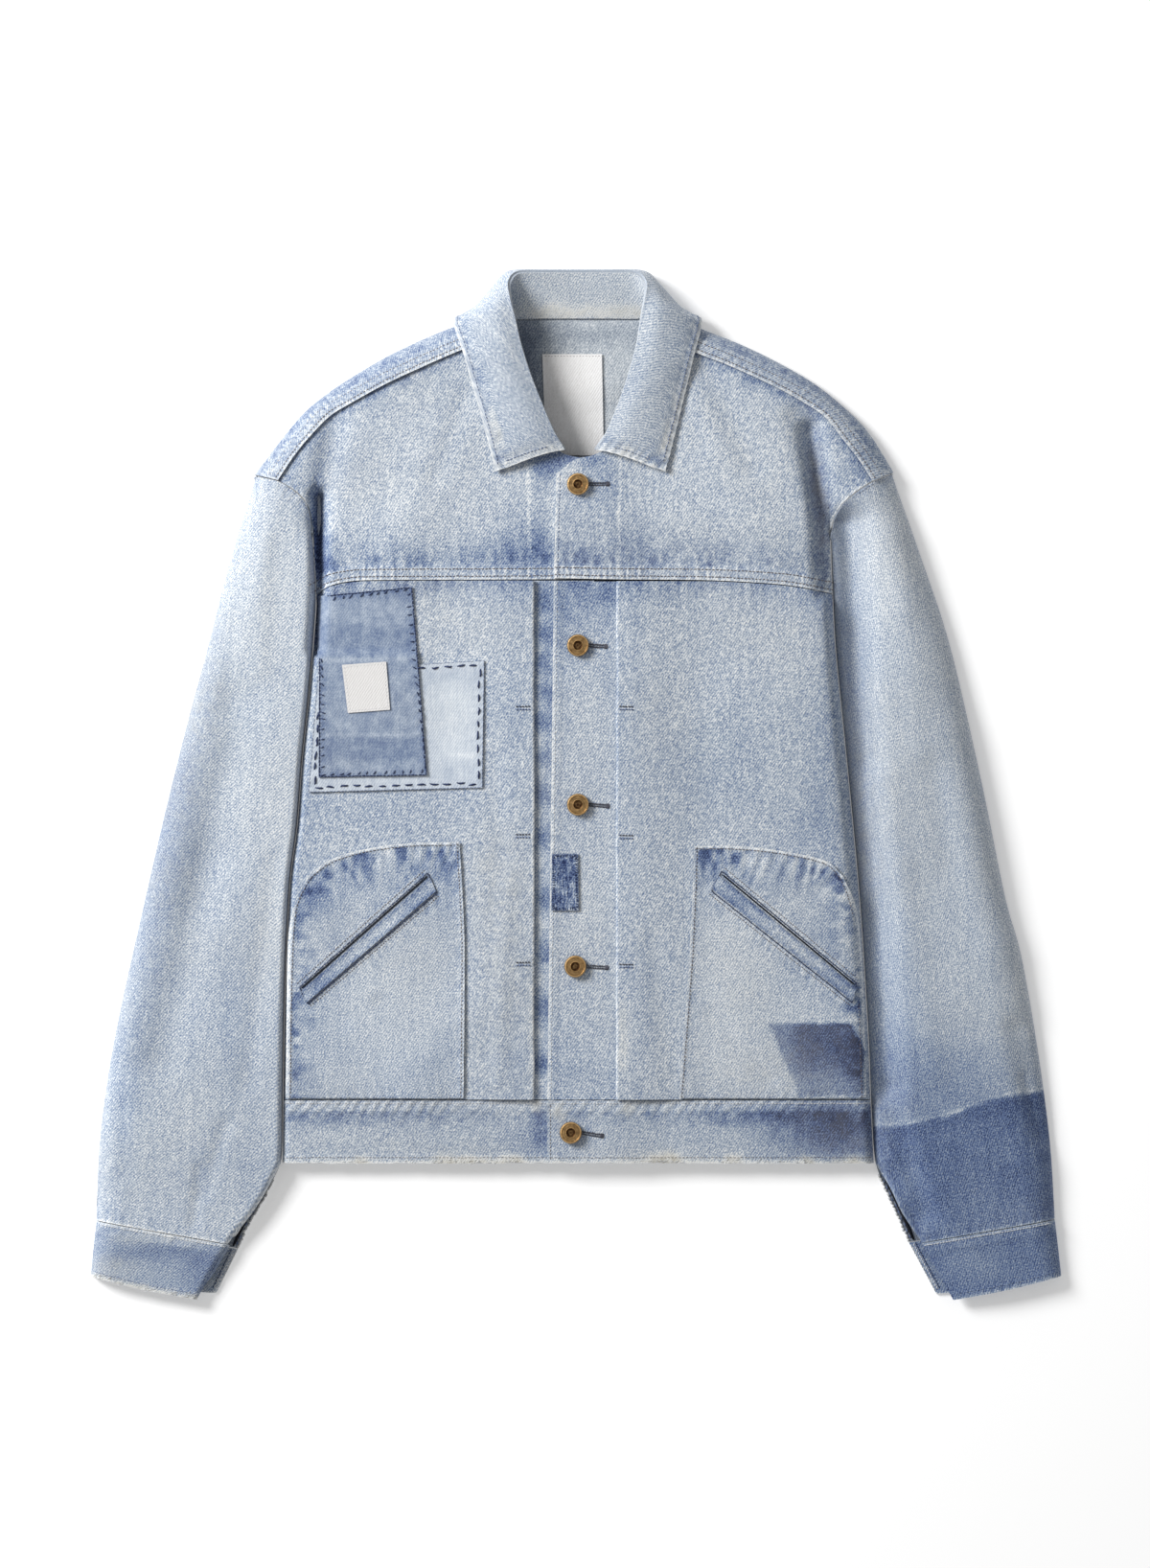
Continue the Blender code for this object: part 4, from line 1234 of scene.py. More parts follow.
@dataclass(frozen=True)
class StitchRow:
    """A row of running stitches along a line in plan."""

    line: Array
    pitch: float = 2.8
    share: float = 0.74
    stand: float = 0.22
    wobble: float = 0.08
    seed: int = 5

    def paths(self, height: Height) -> Array:
        """The points of each stitch on a cloth of that height.

        Args:
            height: gives the cloth's height over plan points.

        Returns:
            For each stitch, its four points in space.
        """
        line = np.asarray(self.line, float)
        total = run_lengths(line)[-1]
        count = max(1, int(total / self.pitch))
        chance = np.random.default_rng(self.seed)
        start = (np.arange(count) + 0.13) * total / count
        long = self.pitch * self.share * chance.uniform(0.85, 1.12, count)
        places = start[:, None] + long[:, None] * THREAD_KNOTS
        plan = at_length(line, places)
        plan = plan + chance.normal(0, self.wobble, (count, 1, 2)) + chance.normal(
            0, self.wobble * 0.7, (count, 4, 2))
        lift = np.array([-0.1, self.stand, self.stand, -0.1])
        return np.concatenate([plan, (height(plan) + lift)[..., None]], -1)


@dataclass
class ClothPiece:
    """One sheet of upper cloth: where it lies, how it was washed and how it is sewn."""

    node: str
    plan: Array
    under: Height
    wash: Wash
    cut: Cut
    wall: float = CLOTHS.denim
    out: Array | float = 0.0
    seed: int = 1
    slot: Slot = Slot.DENIM
    by_rows: bool = False

    def height(self, points: Array) -> Array:
        """The height of its outer face over any plan point, for what lies or is sewn on it."""
        out = self.out if np.isscalar(self.out) else float(np.max(self.out))
        return self.under(points) + self.wash.read(points)[0] + out

    def hang(self, rack: Rack, materials: list, look: Look | None = None) -> None:
        """Builds the sheet, with another look than its wash gives where there is one.

        Args:
            rack: the finishes, and where the pieces go.
            materials: the finish of its outer face, and of the other one.
            look: what the finish reads at each point, if not what the wash gives.
        """
        relief, washed = self.wash.read(self.plan)
        face = lay(self.plan, self.under, self.out)
        face[..., 2] += relief
        mesh = shell_mesh(self.node, face, self.wall, look or washed, materials, self.seed,
                          by_rows=self.by_rows)
        rack.sheet(self.node, mesh, self.slot, self.cut)

    def sew(self, rack: Rack, name: str, rows: list, material: bpy.types.Material,
            radius: float = 0.36) -> None:
        """Sews rows of stitches on the sheet, as one piece."""
        paths = np.concatenate([row.paths(self.height) for row in rows])
        rack.thread(self.node, name, paths, radius, material, self.slot)


def yoke_lift(points: Array) -> Array:
    """How far the back yoke is held off the table by the fall of the collar beneath it."""
    edge_y = 318 + 27 / 88 ** 2 * points[..., 0] ** 2
    return 2.4 * ramp(points[..., 1] - edge_y, -34, -9)


@dataclass
class Back:
    """The layers that lie on the table: back panel, back yoke and back waistband."""

    cell: float = 7.0
    inside_tone: float = 0.71

    def build(self, rack: Rack) -> None:
        """Builds the three sheets, their outer face down.

        Args:
            rack: the finishes, and where the pieces go.
        """
        inside, outside = rack.finishes.inside, rack.finishes.denim
        sides = {p.side: moved(smooth_line(p.valley), dx=-p.side.value * CLOTHS.seam / 2) for p in PATTERNS}
        bands = (("back_panel", LEVELS.waist_seam_y + CLOTHS.seam, LEVELS.back_yoke_seam_y - CLOTHS.seam,
                  CLOTHS.denim, Cut((0.452, 0.392), ("table",), 0.168)),
                 ("back_waistband", LEVELS.hem_y, LEVELS.waist_seam_y, CLOTHS.doubled,
                  Cut((0.456, 0.049), ("table",))))
        for node, low, high, wall, cut in bands:
            right, left = (part_between(sides[side], low, high, axis=1) for side in Side)
            plan = filled_grid(right, left, np.vstack([right[0], left[0]]),
                               np.vstack([right[-1], left[-1]]), shares(430, self.cell),
                               shares(high - low, self.cell))
            self._hang(rack, node, plan, np.full(plan.shape[:2], wall), wall, cut,
                       [inside, outside], Slot.DENIM)
        edges, shoulders = {}, {}
        for pattern in PATTERNS:
            side = pattern.side
            armhole = moved(smooth_line(pattern.armhole)[::-1], dx=-side.value * CLOTHS.seam / 2)
            low_side = part_between(sides[side], LEVELS.back_yoke_seam_y, pattern.valley[0][1], axis=1)
            edges[side] = np.vstack([low_side[:-1], armhole])
            shoulders[side] = smooth_line(pattern.shoulder_edge)
            shoulders[side][0] = edges[side][-1]
        neck = [(x, LEVELS.back_neck_y) for x in (-48, -24, 0, 24, 48)]
        top = np.vstack([shoulders[Side.RIGHT], neck, shoulders[Side.LEFT][::-1]])
        low = np.vstack([edges[Side.RIGHT][0], edges[Side.LEFT][0]])
        plan = filled_grid(edges[Side.RIGHT], edges[Side.LEFT], low, top, shares(490, 3.5),
                           shares(215, 3.0))
        self._hang(rack, "back_yoke", plan, CLOTHS.denim + yoke_lift(plan), CLOTHS.denim,
                   Cut((0.49, 0.212), ("table",), 0.075), [inside, outside], Slot.INSIDE)

    def _hang(self, rack: Rack, node: str, plan: Array, top: Array, wall: float, cut: Cut,
              materials: list, slot: Slot) -> None:
        """Builds one flat layer.

        Args:
            rack: the finishes, and where the pieces go.
            node: the CAD node that it stands for.
            plan: its plan points.
            top: the level of its upper face at each of them.
            wall: its thickness.
            cut: its flat size and what it rests on.
            materials: the finish of its upper face, and of the other one.
            slot: the record's slot that it takes its finish from.
        """
        # The first mark is painted shadow inside the open neck towards the right front, beside the collar;
        # the second darkens a band along the neck and the third lightens a patch.
        marks = (Mark(-40, 322, 15, 70, -0.26, ragged=0.1), Mark(10, 347, 60, 6, -0.08),
                 Mark(30, 300, 20, 50, 0.05))
        wash = Wash(self.inside_tone, marks=marks, waves=0.0, seed=31)
        face = np.concatenate([plan, top[..., None]], -1)
        mesh = shell_mesh(node, face, wall, wash.read(plan)[1], materials, seed=3)
        rack.sheet(node, mesh, slot, cut)


@dataclass
class Yokes:
    """The chest yokes, and the back yoke's ends that fold over the shoulders on to them."""

    felled_band: float = 10.5
    strip_band: float = 11.0
    stitch_rows: tuple = (3.0, 8.6)
    fly: dict = field(default_factory=lambda: {Side.RIGHT: ((-35.5, 160), (-36.7, 246)),
                                               Side.LEFT: ((32.2, 160), (34.2, 262))})
    fronts: dict = field(default_factory=dict)

    def build(self, rack: Rack) -> None:
        """Builds and sews both sides.

        Args:
            rack: the finishes, and where the pieces go.
        """
        for pattern in PATTERNS:
            self.fronts[pattern.side] = self._front(rack, pattern)
            self._shoulder(rack, pattern)

    def _front(self, rack: Rack, pattern: SidePattern) -> ClothPiece:
        """One chest yoke, from the shoulder seam and armhole to the front edge.

        Args:
            rack: the finishes, and where the pieces go.
            pattern: the measured lines of its side.

        Returns:
            The sheet.
        """
        side = pattern.side
        right = side is Side.RIGHT
        seam = moved(smooth_line(pattern.yoke_seam), dy=CLOTHS.seam / 2)
        neck = smooth_line(pattern.neckline)
        shoulder = moved(smooth_line(pattern.shoulder_seam), dx=side.value * LEVELS.yoke_lap / 2,
                         dy=LEVELS.yoke_lap)
        top = np.vstack([shoulder[:-1], neck])
        arm = smooth_line([pattern.yoke_seam[0 if right else -1]] + pattern.armhole[:0:-1])
        arm = moved(arm, dx=-side.value * CLOTHS.seam / 2)
        front = np.vstack([seam[-1] if right else seam[0], neck[-1]])
        top[0], arm[0] = arm[-1], (seam[0] if right else seam[-1])
        if right:
            plan = filled_grid(arm, front, seam, top, shares(212), shares(190))
        else:
            plan = filled_grid(front, arm, seam, top[::-1], shares(215), shares(190))
        sewn = smooth_line(pattern.yoke_seam)
        fly = np.array(self.fly[side], float)
        seams = [Seam(sewn, side=1, band=self.felled_band, lift=0.8, reach=17, pitch=7.5, pucker=0.25,
                      rope=0.06, ladder=0.13, dark=0.09, blotch=0.14, slant=0.12, seed=41 + side.value),
                 Seam(arm, band=5, lift=0.35, reach=8, pucker=0.2, rope=0.05, dark=0.04, seed=43),
                 Seam(smooth_line(pattern.shoulder_seam), reach=6, dark=0.22, rope=0.05, pucker=0.1,
                      blotch=0.05, seed=45),
                 Seam(fly, reach=4, pitch=10, pucker=0.1, rope=0.03, dark=0.05, seed=46)]
        if right:
            # The marks at (-24, 243) and (-5, 250) darken the neckline under the collar tips: partly the
            # darker inside of the neck there, partly painted shade. The mark at (-199, 190) is painted shade
            # in the gap between body and sleeve.
            marks = (Mark(-110, 174, 120, 18, -0.03), Mark(-44, 180, 13, 26, -0.10, ragged=0.9),
                     Mark(-120, 225, 70, 26, 0.02), Mark(-180, 175, 20, 24, -0.04),
                     Mark(-27, 205, 7, 50, -0.07, ragged=0.9), Mark(-25, 176, 8, 16, -0.12, ragged=0.8),
                     Mark(-185, 255, 18, 30, -0.04, turn=30), Mark(-60, 176, 22, 9, -0.07, ragged=0.7),
                     Mark(-24, 243, 11, 7, -0.16, ragged=0.5), Mark(-5, 250, 26, 9, -0.28),
                     Mark(-199, 190, 5.5, 46, -0.42, ragged=0.1))
        else:
            # The mark at (187, 222) is painted shade on the side of the chest that turns down to the sleeve,
            # greyed by its warm value. The mark at (14, 250) darkens the neckline under the collar tip:
            # partly the darker inside of the neck, partly painted shade.
            marks = (Mark(120, 172, 90, 18, -0.04), Mark(187, 222, 9, 62, -0.31, turn=7, warm=0.4),
                     Mark(8, 212, 22, 34, -0.07, ragged=0.9), Mark(44, 184, 14, 22, -0.09, ragged=0.6),
                     Mark(110, 250, 46, 46, 0.02), Mark(28, 228, 9, 24, -0.10, ragged=0.5),
                     Mark(205, 235, 20, 14, -0.04), Mark(6, 178, 24, 9, -0.08, ragged=0.7),
                     Mark(-12, 240, 9, 9, 0.06), Mark(14, 250, 10, 6, -0.2))
        rubbed = (sewn, fly) if right else (sewn, arm, fly, front)
        wash = Wash(0.742 if right else 0.748, marks, tuple(seams), rubbed, (arm,), seed=51 + side.value,
                    streaks=0.014)

        def under(points: Array) -> Array:
            """The laid form, with the left front lifted where it rides over the right one."""
            return FORM.height(points) + overlap_lift(points[..., 0], side)

        piece = ClothPiece(f"front_yoke_{side.word}", plan, under, wash,
                           Cut((0.218, 0.192), ("back_yoke",), 0.0315), seed=5 + side.value)
        piece.hang(rack, [rack.finishes.denim, rack.finishes.inside])
        rows = [StitchRow(beside(sewn, gap), seed=60 + n) for n, gap in enumerate(self.stitch_rows)]
        piece.sew(rack, f"yoke_stitches_{side.word}", rows, rack.finishes.brown_thread, 0.42)
        turn = -1 if right else 1
        arm_rows = [StitchRow(beside(arm, -turn * gap), seed=64) for gap in (2.4,)]
        if not right:
            edge = np.vstack([front[0], front[1]])
            arm_rows.append(StitchRow(beside(along(edge, np.linspace(0, 1, 20)), -2.6), seed=66))
        piece.sew(rack, f"armhole_stitches_{side.word}", arm_rows, rack.finishes.blue_thread, 0.24)
        return piece

    def _shoulder(self, rack: Rack, pattern: SidePattern) -> None:
        """The strip that the back yoke shows over one shoulder.

        Args:
            rack: the finishes, and where the pieces go.
            pattern: the measured lines of its side.
        """
        side = pattern.side
        edge, seam = smooth_line(pattern.shoulder_edge), smooth_line(pattern.shoulder_seam)
        outer_end, neck_end = (np.vstack([seam[i], edge[i]]) for i in (0, -1))
        up = 1 - shares(26, 1.6)[::-1]
        plan = side_grid(side, outer_end, neck_end, seam, edge, shares(215, 1.8), up)
        sewn = Seam(seam, band=self.strip_band, lift=0.7, reach=7, pitch=6.2, pucker=0.25, rope=0.06,
                    ladder=0.10, dark=0.12, blotch=0.10, slant=0.3, seed=71 + side.value)
        marks = (Mark(side.value * 216, 252, 14, 16, -0.05), Mark(side.value * 150, 318, 70, 9, -0.05,
                                                                 turn=side.value * -28))
        wash = Wash(0.70, marks, (sewn,), (seam,), waves=0.0, seed=73 + side.value)

        def under(points: Array) -> Array:
            """The laid form over the raised edge of the back yoke."""
            return FORM.height(points, floor=CLOTHS.seam_level + yoke_lift(points))

        piece = ClothPiece(f"shoulder_yoke_{side.word}", plan, under, wash,
                           Cut((0.222, 0.032), (f"front_yoke_{side.word}",), 0.0052),
                           out=CLOTHS.rest + CLOTHS.denim, seed=8, by_rows=True)
        piece.hang(rack, [rack.finishes.denim, rack.finishes.inside])
        turn = 1 if side is Side.RIGHT else -1
        rows = [StitchRow(beside(seam, turn * gap), seed=74 + n)
                for n, gap in enumerate(self.stitch_rows)]
        piece.sew(rack, f"shoulder_stitches_{side.word}", rows, rack.finishes.brown_thread, 0.42)


def overlap_lift(x: Array, side: Side) -> Array:
    """How far the left front rides over the right one near the buttons."""
    lifted = (CLOTHS.gap + CLOTHS.denim) * (1 - ramp(x, LEVELS.underlap_x + 6, 60))
    return lifted if side is Side.LEFT else 0 * x


@dataclass
class FrontPanels:
    """The lower fronts, each with the deep pleat that is folded beside the button bands."""

    pleat_depth: float = 13
    pleat_fade: float = 62
    slope_columns: int = 27
    fold_radius: float = 1.5
    tack_ys: tuple = ((58.8, -39.6, -138), (58.8, -40.3, -139.5))
    panels: dict = field(default_factory=dict)

    def build(self, rack: Rack) -> None:
        """Builds and sews both sides."""
        for pattern, tack_ys in zip(PATTERNS, self.tack_ys):
            self.panels[pattern.side] = self._panel(rack, pattern, tack_ys)

    def _fold(self, side: Side) -> Array:
        """Columns of the pleat's fold, as (distance behind the fold, lift), and its return below.

        Args:
            side: the wearer's side.

        Returns:
            The distance and the lift of each column.
        """
        base = float(overlap_lift(np.array(LEVELS.underlap_x, float), side))
        top = base + CLOTHS.rest + 2 * self.fold_radius
        end = self.pleat_depth + self.pleat_fade
        behind = np.concatenate([np.linspace(end, 3.5, self.slope_columns - 2), [2.4, self.fold_radius]])
        columns = [(b, top * (1 - ramp(b, self.pleat_depth / 2, end))) for b in behind]
        for step in range(1, 9):
            turn = math.pi * step / 8
            columns.append((self.fold_radius * (1 - math.sin(turn)),
                            base + CLOTHS.rest + self.fold_radius * (1 + math.cos(turn))))
        columns += [(b, base + CLOTHS.rest) for b in (4, 7, 10, self.pleat_depth)]
        return np.array([(float(b), float(lift)) for b, lift in columns])

    def _panel(self, rack: Rack, pattern: SidePattern, tack_ys: tuple) -> ClothPiece:
        """One lower front, from the side seam to its pleat.

        Args:
            rack: the finishes, and where the pieces go.
            pattern: the measured lines of its side.
            tack_ys: how high on the pleat its tacks are.

        Returns:
            The sheet.
        """
        side = pattern.side
        right = side is Side.RIGHT
        low_y = LEVELS.waist_seam_y + CLOTHS.seam / 2
        seam = moved(smooth_line(pattern.yoke_seam), dy=-CLOTHS.seam / 2)
        valley = moved(smooth_line(pattern.valley), dx=-side.value * CLOTHS.seam / 2)
        side_top = seam[0] if right else seam[-1]
        edge = part_between(valley, low_y, side_top[1], axis=1)
        edge[-1] = side_top
        flat_end = pattern.pleat_x + side.value * (self.pleat_depth + self.pleat_fade)
        top = part_between(seam, *sorted((side_top[0], flat_end)))
        inner = np.array([(flat_end, low_y), top[-1 if right else 0]])
        low = np.vstack([edge[0], inner[0]])
        columns = shares(abs(flat_end - edge[0, 0]))
        plan = filled_grid(edge, inner, low, top if right else top[::-1], columns, shares(400))
        behind, lift = self._fold(side).T
        ragged = 0.35 * cloud(plan[:, -1] * (0, 1), 24, 77 + side.value)
        ragged = ragged + 0.12 * cloud(plan[:, -1] * (0, 1), 4, 78 + side.value)
        fold_x = pattern.pleat_x + side.value * (behind[None] + ragged[:, None])
        fold = np.stack([fold_x, np.broadcast_to(plan[:, -1:, 1], fold_x.shape)], -1)
        plan = np.concatenate([plan[:, :-1], fold], 1)
        lifts = np.concatenate([np.zeros(len(columns) - 1), lift])
        lifts = np.broadcast_to(lifts, plan.shape[:2])
        if not right:
            plan, lifts = plan[:, ::-1], lifts[:, ::-1]
        crest = np.array([(pattern.pleat_x, low_y), (pattern.pleat_x, 157)], float)
        yoke = smooth_line(pattern.yoke_seam)
        seams = (Seam(yoke, reach=12, pitch=8, pucker=0.2, rope=0.045, dark=0.17, blotch=0.08, slant=0.1,
                      seed=81),
                 Seam(np.array([(-230, low_y), (230, low_y)], float), reach=9, pitch=7, pucker=0.25,
                      rope=0.045, dark=0.06, seed=82 + side.value),
                 Seam(crest, reach=7, pitch=22, pucker=0.1, rope=0.03, dark=0.03, seed=83),
                 Seam(edge, reach=7, pitch=16, pucker=0.1, rope=0.02, dark=0.05, seed=84))
        if right:
            # The mark at (-201, 128) is painted shade in the gap between body and sleeve.
            marks = (Mark(-160, -24, 60, 26, -0.04), Mark(-58, -130, 22, 90, -0.02, warm=0.25),
                     Mark(-100, 125, 60, 30, 0.01, warm=0.1), Mark(-48, 90, 12, 70, -0.05),
                     Mark(-60, -30, 26, 60, 0.01), Mark(-212, -60, 12, 60, -0.05),
                     Mark(-34, -190, 4, 44, 0.05, warm=0.2), Mark(-58, -48, 26, 3.5, -0.06, ragged=0.4),
                     Mark(-46, -215, 12, 20, -0.06, ragged=0.5),
                     Mark(-201, 128, 4.5, 30, -0.40, ragged=0.1))
        else:
            marks = (Mark(120, 20, 70, 50, -0.04), Mark(100, 95, 60, 36, 0.01),
                     Mark(192, 60, 16, 110, -0.07), Mark(60, -160, 22, 70, 0.02),
                     Mark(185, -30, 34, 26, -0.06), Mark(36, -196, 4, 22, 0.10, warm=0.3, ragged=0.7),
                     Mark(44, 120, 9, 50, -0.05, ragged=0.4), Mark(52, -180, 10, 60, -0.04))
        wash = Wash(0.728 if right else 0.735, marks, seams, (crest,) if right else (),
                    () if right else (crest,), seed=86 + side.value, streaks=0.018)

        def under(points: Array) -> Array:
            """The laid form with the pleat's rise, for what is sewn on the panel.

            Args:
                points: plan points.

            Returns:
                The height at each point.
            """
            away = (points[..., 0] - pattern.pleat_x) * side.value
            slope = slice(self.slope_columns - 1, None, -1)
            rise = np.interp(away, behind[slope], lift[slope])
            return FORM.height(points) + rise * (away > 0)

        piece = ClothPiece(f"front_panel_{side.word}", plan, under, wash,
                           Cut((0.214, 0.402), ("back_panel",), 0.083), seed=9 + side.value)
        relief, look = wash.read(plan)
        face = np.concatenate([plan, (FORM.height(plan) + lifts + relief)[..., None]], -1)
        mesh = shell_mesh(piece.node, face, piece.wall, look,
                          [rack.finishes.denim, rack.finishes.inside], piece.seed)
        rack.sheet(piece.node, mesh, piece.slot, piece.cut)
        inward, outward = (3.0, 14.5) if right else (2.0, 13.0)
        for n, colour in ((0, rack.finishes.grey_thread), (1, rack.finishes.blue_thread)):
            rows = []
            for y in tack_ys:
                level = y + 1.1 - 2.2 * n
                ends = [(pattern.pleat_x + side.value * gap, level) for gap in (inward, outward)]
                rows += [StitchRow(np.array(ends, float), pitch=2.1, share=0.8, stand=0.4, seed=90 + n)]
            piece.sew(rack, f"bar_tacks_{side.word}_{n}", rows, colour, 0.56)
        if right:
            frayed = [StitchRow(np.array([(pattern.pleat_x - 0.5, low), (pattern.pleat_x - 0.5, high)]),
                                2.8, 0.8, 0.4, 0.6, 92) for low, high in ((-156, -82), (-242, -230))]
            piece.sew(rack, "pleat_frays_right", frayed, rack.finishes.white_thread, 0.22)
        return piece


@dataclass
class ButtonBands:
    """The buttonhole band of the left front over the button band of the right front."""

    stitch_inset: float = 2.4
    top: ClothPiece | None = None

    def build(self, rack: Rack) -> None:
        """Builds both bands, the darned patch's ground among them.

        Args:
            rack: the finishes, and where the pieces go.
        """
        low_y = LEVELS.waist_seam_y + CLOTHS.seam / 2
        high_y = LEFT_PATTERN.yoke_seam[0][1] - 1 - CLOTHS.seam / 2
        under = strip((-46, -46), (LEVELS.underlap_x, LEVELS.underlap_x), low_y, high_y - 0.3)
        blocks = tuple(Mark(-24 + 3 * math.sin(y), y, 8, 9, -0.19, ragged=0.7)
                       for y in (141, 116, 92, 70, 50, 22, -8, -40, -86, -130, -170, -215))
        blocks += tuple(Mark(-27, y, 4, 4, 0.10, ragged=0.9)
                        for y in (129, 104, 81, 60, 36, 8, -22, -60, -108, -150, -192, -230))
        # The band's low base tone is partly the less faded dye of this hidden band and partly painted shade
        # of its recess beside the pleat; the blocks are dark and pale blotches.
        shade = Wash(0.69, blocks + (Mark(-24, 110, 14, 50, -0.06),), seed=93, streaks=0.018)
        piece = ClothPiece("button_band", under, FORM.height, shade,
                           Cut((0.06, 0.399), ("back_panel",)), seed=12)
        piece.hang(rack, [rack.finishes.denim, rack.finishes.inside])
        over = strip((LEVELS.front_edge_hem_x, LEVELS.front_edge_x), (44, 44), low_y, high_y - 1)
        edge = np.array([(LEVELS.front_edge_hem_x, low_y), (LEVELS.front_edge_x, high_y)], float)
        seams = (Seam(edge, band=6, lift=0.35, reach=9, pitch=13, pucker=0.12, rope=0.03, dark=0.03,
                      seed=94),
                 Seam(np.array([(-30, 158), (50, 157)], float), reach=14, pitch=8, pucker=0.15,
                      rope=0.04, dark=0.18, blotch=0.08, seed=95),
                 Seam(np.array([(-30, low_y), (50, low_y)], float), reach=8, pitch=8, pucker=0.2,
                      rope=0.04, dark=0.06, seed=96))
        marks = (Mark(2, 140, 24, 16, -0.11, ragged=0.9), Mark(-12, 105, 6, 50, -0.05, ragged=0.5),
                 Mark(25, 112, 6, 44, -0.06, ragged=0.8), Mark(6, -100, 22, 60, 0.045),
                 Mark(2, 107, 14, 14, -0.07), Mark(2, -15, 13, 13, -0.04), Mark(0, -140, 13, 13, -0.03),
                 Mark(8, 60, 22, 40, 0.01), Mark(2, -222, 24, 10, -0.05, ragged=0.6))
        wash = Wash(0.722, marks, seams, (edge,), seed=97, streaks=0.018)

        def lifted(points: Array) -> Array:
            """The laid form over the button band."""
            return FORM.height(points) + CLOTHS.gap + CLOTHS.denim

        self.top = ClothPiece("buttonhole_band", over, lifted, wash,
                              Cut((0.064, 0.397), ("button_band",)), seed=13)
        self.top.hang(rack, [rack.finishes.denim, rack.finishes.inside])
        row = StitchRow(beside(along(edge, np.linspace(0, 1, 40)), -self.stitch_inset), seed=98)
        self.top.sew(rack, "front_edge_stitches", [row], rack.finishes.white_thread, 0.26)


@dataclass
class Waistband:
    """The doubled band at the hem, worn through and frayed along its lower edge."""

    halves: dict = field(default_factory=dict)
    frays: tuple = (-168, -100, -86, -74, -60, -46, 58, 66, 74, 120, 176, 210)

    def build(self, rack: Rack) -> None:
        """Builds and sews both halves."""
        for pattern in PATTERNS:
            self._half(rack, pattern)

    @staticmethod
    def _torn(plan: Array) -> Array:
        """How far the frayed hem runs out of its line."""
        xs = plan * (1, 0)
        return 0.5 * cloud(xs, 9, 104) + 0.35 * cloud(xs, 2.6, 105) + 0.3

    def _half(self, rack: Rack, pattern: SidePattern) -> None:
        """One half of the front waistband; the left half laps over the right one.

        Args:
            rack: the finishes, and where the pieces go.
            pattern: the measured lines of its side.
        """
        side = pattern.side
        right = side is Side.RIGHT
        top_y = LEVELS.waist_seam_y - CLOTHS.seam / 2
        valley = moved(smooth_line(pattern.valley), dx=-side.value * CLOTHS.seam / 2)
        side_x = tuple(float(np.interp(y, valley[::-1, 1], valley[::-1, 0]))
                       for y in (LEVELS.hem_y, top_y))
        front_x = LEVELS.underlap_x if right else LEVELS.front_edge_hem_x
        lines = (side_x, (front_x, front_x)) if right else ((front_x, front_x), side_x)
        plan = strip(*lines, LEVELS.hem_y, top_y, 1.9)
        hem = np.array([(-232, LEVELS.hem_y), (232, LEVELS.hem_y)], float)
        waist = np.array([(-232, top_y), (232, top_y)], float)
        seams = (Seam(waist, band=9, lift=0.3, reach=9, pitch=9, pucker=0.35, rope=0.07, dark=0.10,
                      blotch=0.10, slant=0.8, seed=101 + side.value),
                 Seam(hem, band=6, lift=0.25, reach=5, pitch=6, pucker=0.16, rope=0.03, dark=0.02,
                      seed=103))
        if right:
            marks = (Mark(-30, -275, 34, 12, -0.10, ragged=0.5), Mark(-150, -256, 80, 6, -0.08, ragged=0.6),
                     Mark(-110, -280, 70, 10, -0.01, warm=0.12), Mark(-26, -264, 7, 18, -0.20, ragged=0.5),
                     Mark(-206, -258, 30, 8, -0.04))
        else:
            marks = (Mark(202, -266, 44, 24, -0.46, warm=0.1, ragged=0.2),
                     Mark(150, -256, 60, 8, -0.17, ragged=0.5), Mark(90, -274, 50, 14, -0.02),
                     Mark(-10, -270, 12, 22, -0.03), Mark(4, -268, 13, 13, -0.05),
                     Mark(60, -286, 60, 5, 0.02, warm=0.2))
        worn = tuple(Mark(x, LEVELS.hem_y + 1.5, 7, 4.5, 0.24, warm=0.5, ragged=0.8)
                     for x in self.frays)
        worn += (Mark(0, LEVELS.hem_y, 400, 2.6, 0.12, warm=0.25, ragged=0.5),)
        plan[..., 1] += self._torn(plan) * (1 - ramp(plan[..., 1], LEVELS.hem_y, LEVELS.hem_y + 5))
        worn += (Mark(-30, -246, 4, 6, 0.10, warm=0.5), Mark(-14, -252, 6, 8, 0.08, warm=0.4),
                 Mark(40, -250, 5, 6, 0.06, warm=0.4))
        wash = Wash(0.725 if right else 0.735, marks + worn, seams, (hem,), waves=0.3,
                    seed=105 + side.value, warm=0.05)

        def under(points: Array) -> Array:
            """The laid form at the waistband's own level.

            Args:
                points: plan points.

            Returns:
                The height at each point.
            """
            height = FORM.height(points, floor=CLOTHS.band_seam_level)
            if right:
                return height
            over = 1 - ramp(points[..., 0], LEVELS.underlap_x + 6, 75)
            return height + (CLOTHS.rest + CLOTHS.doubled) * over

        cut = Cut((0.242 if right else 0.252, 0.049), ("back_waistband",))
        piece = ClothPiece(f"waistband_{side.word}", plan, under, wash, cut, wall=CLOTHS.doubled,
                           seed=14 + side.value)
        piece.hang(rack, [rack.finishes.denim, rack.finishes.denim])
        self.halves[side] = piece
        ends = sorted((side_x[0] - side.value * 2, front_x + side.value * 2))
        span = np.linspace(*ends, 60)
        top_row = np.stack([span, np.full(60, top_y - 2.2)], -1)
        piece.sew(rack, f"waist_stitches_{side.word}",
                  [StitchRow(top_row, pitch=2.5, share=0.92, wobble=0.04, seed=107)],
                  rack.finishes.white_thread, 0.36)
        low_row = np.stack([span, np.full(60, LEVELS.hem_y + 4.6)], -1)
        rows = [StitchRow(low_row, seed=108)]
        if not right:
            front = np.stack([np.full(20, front_x + 2.2), np.linspace(LEVELS.hem_y + 3, top_y - 3, 20)], -1)
            rows.append(StitchRow(front, seed=109))
        piece.sew(rack, f"hem_stitches_{side.word}", rows, rack.finishes.brown_thread, 0.24)


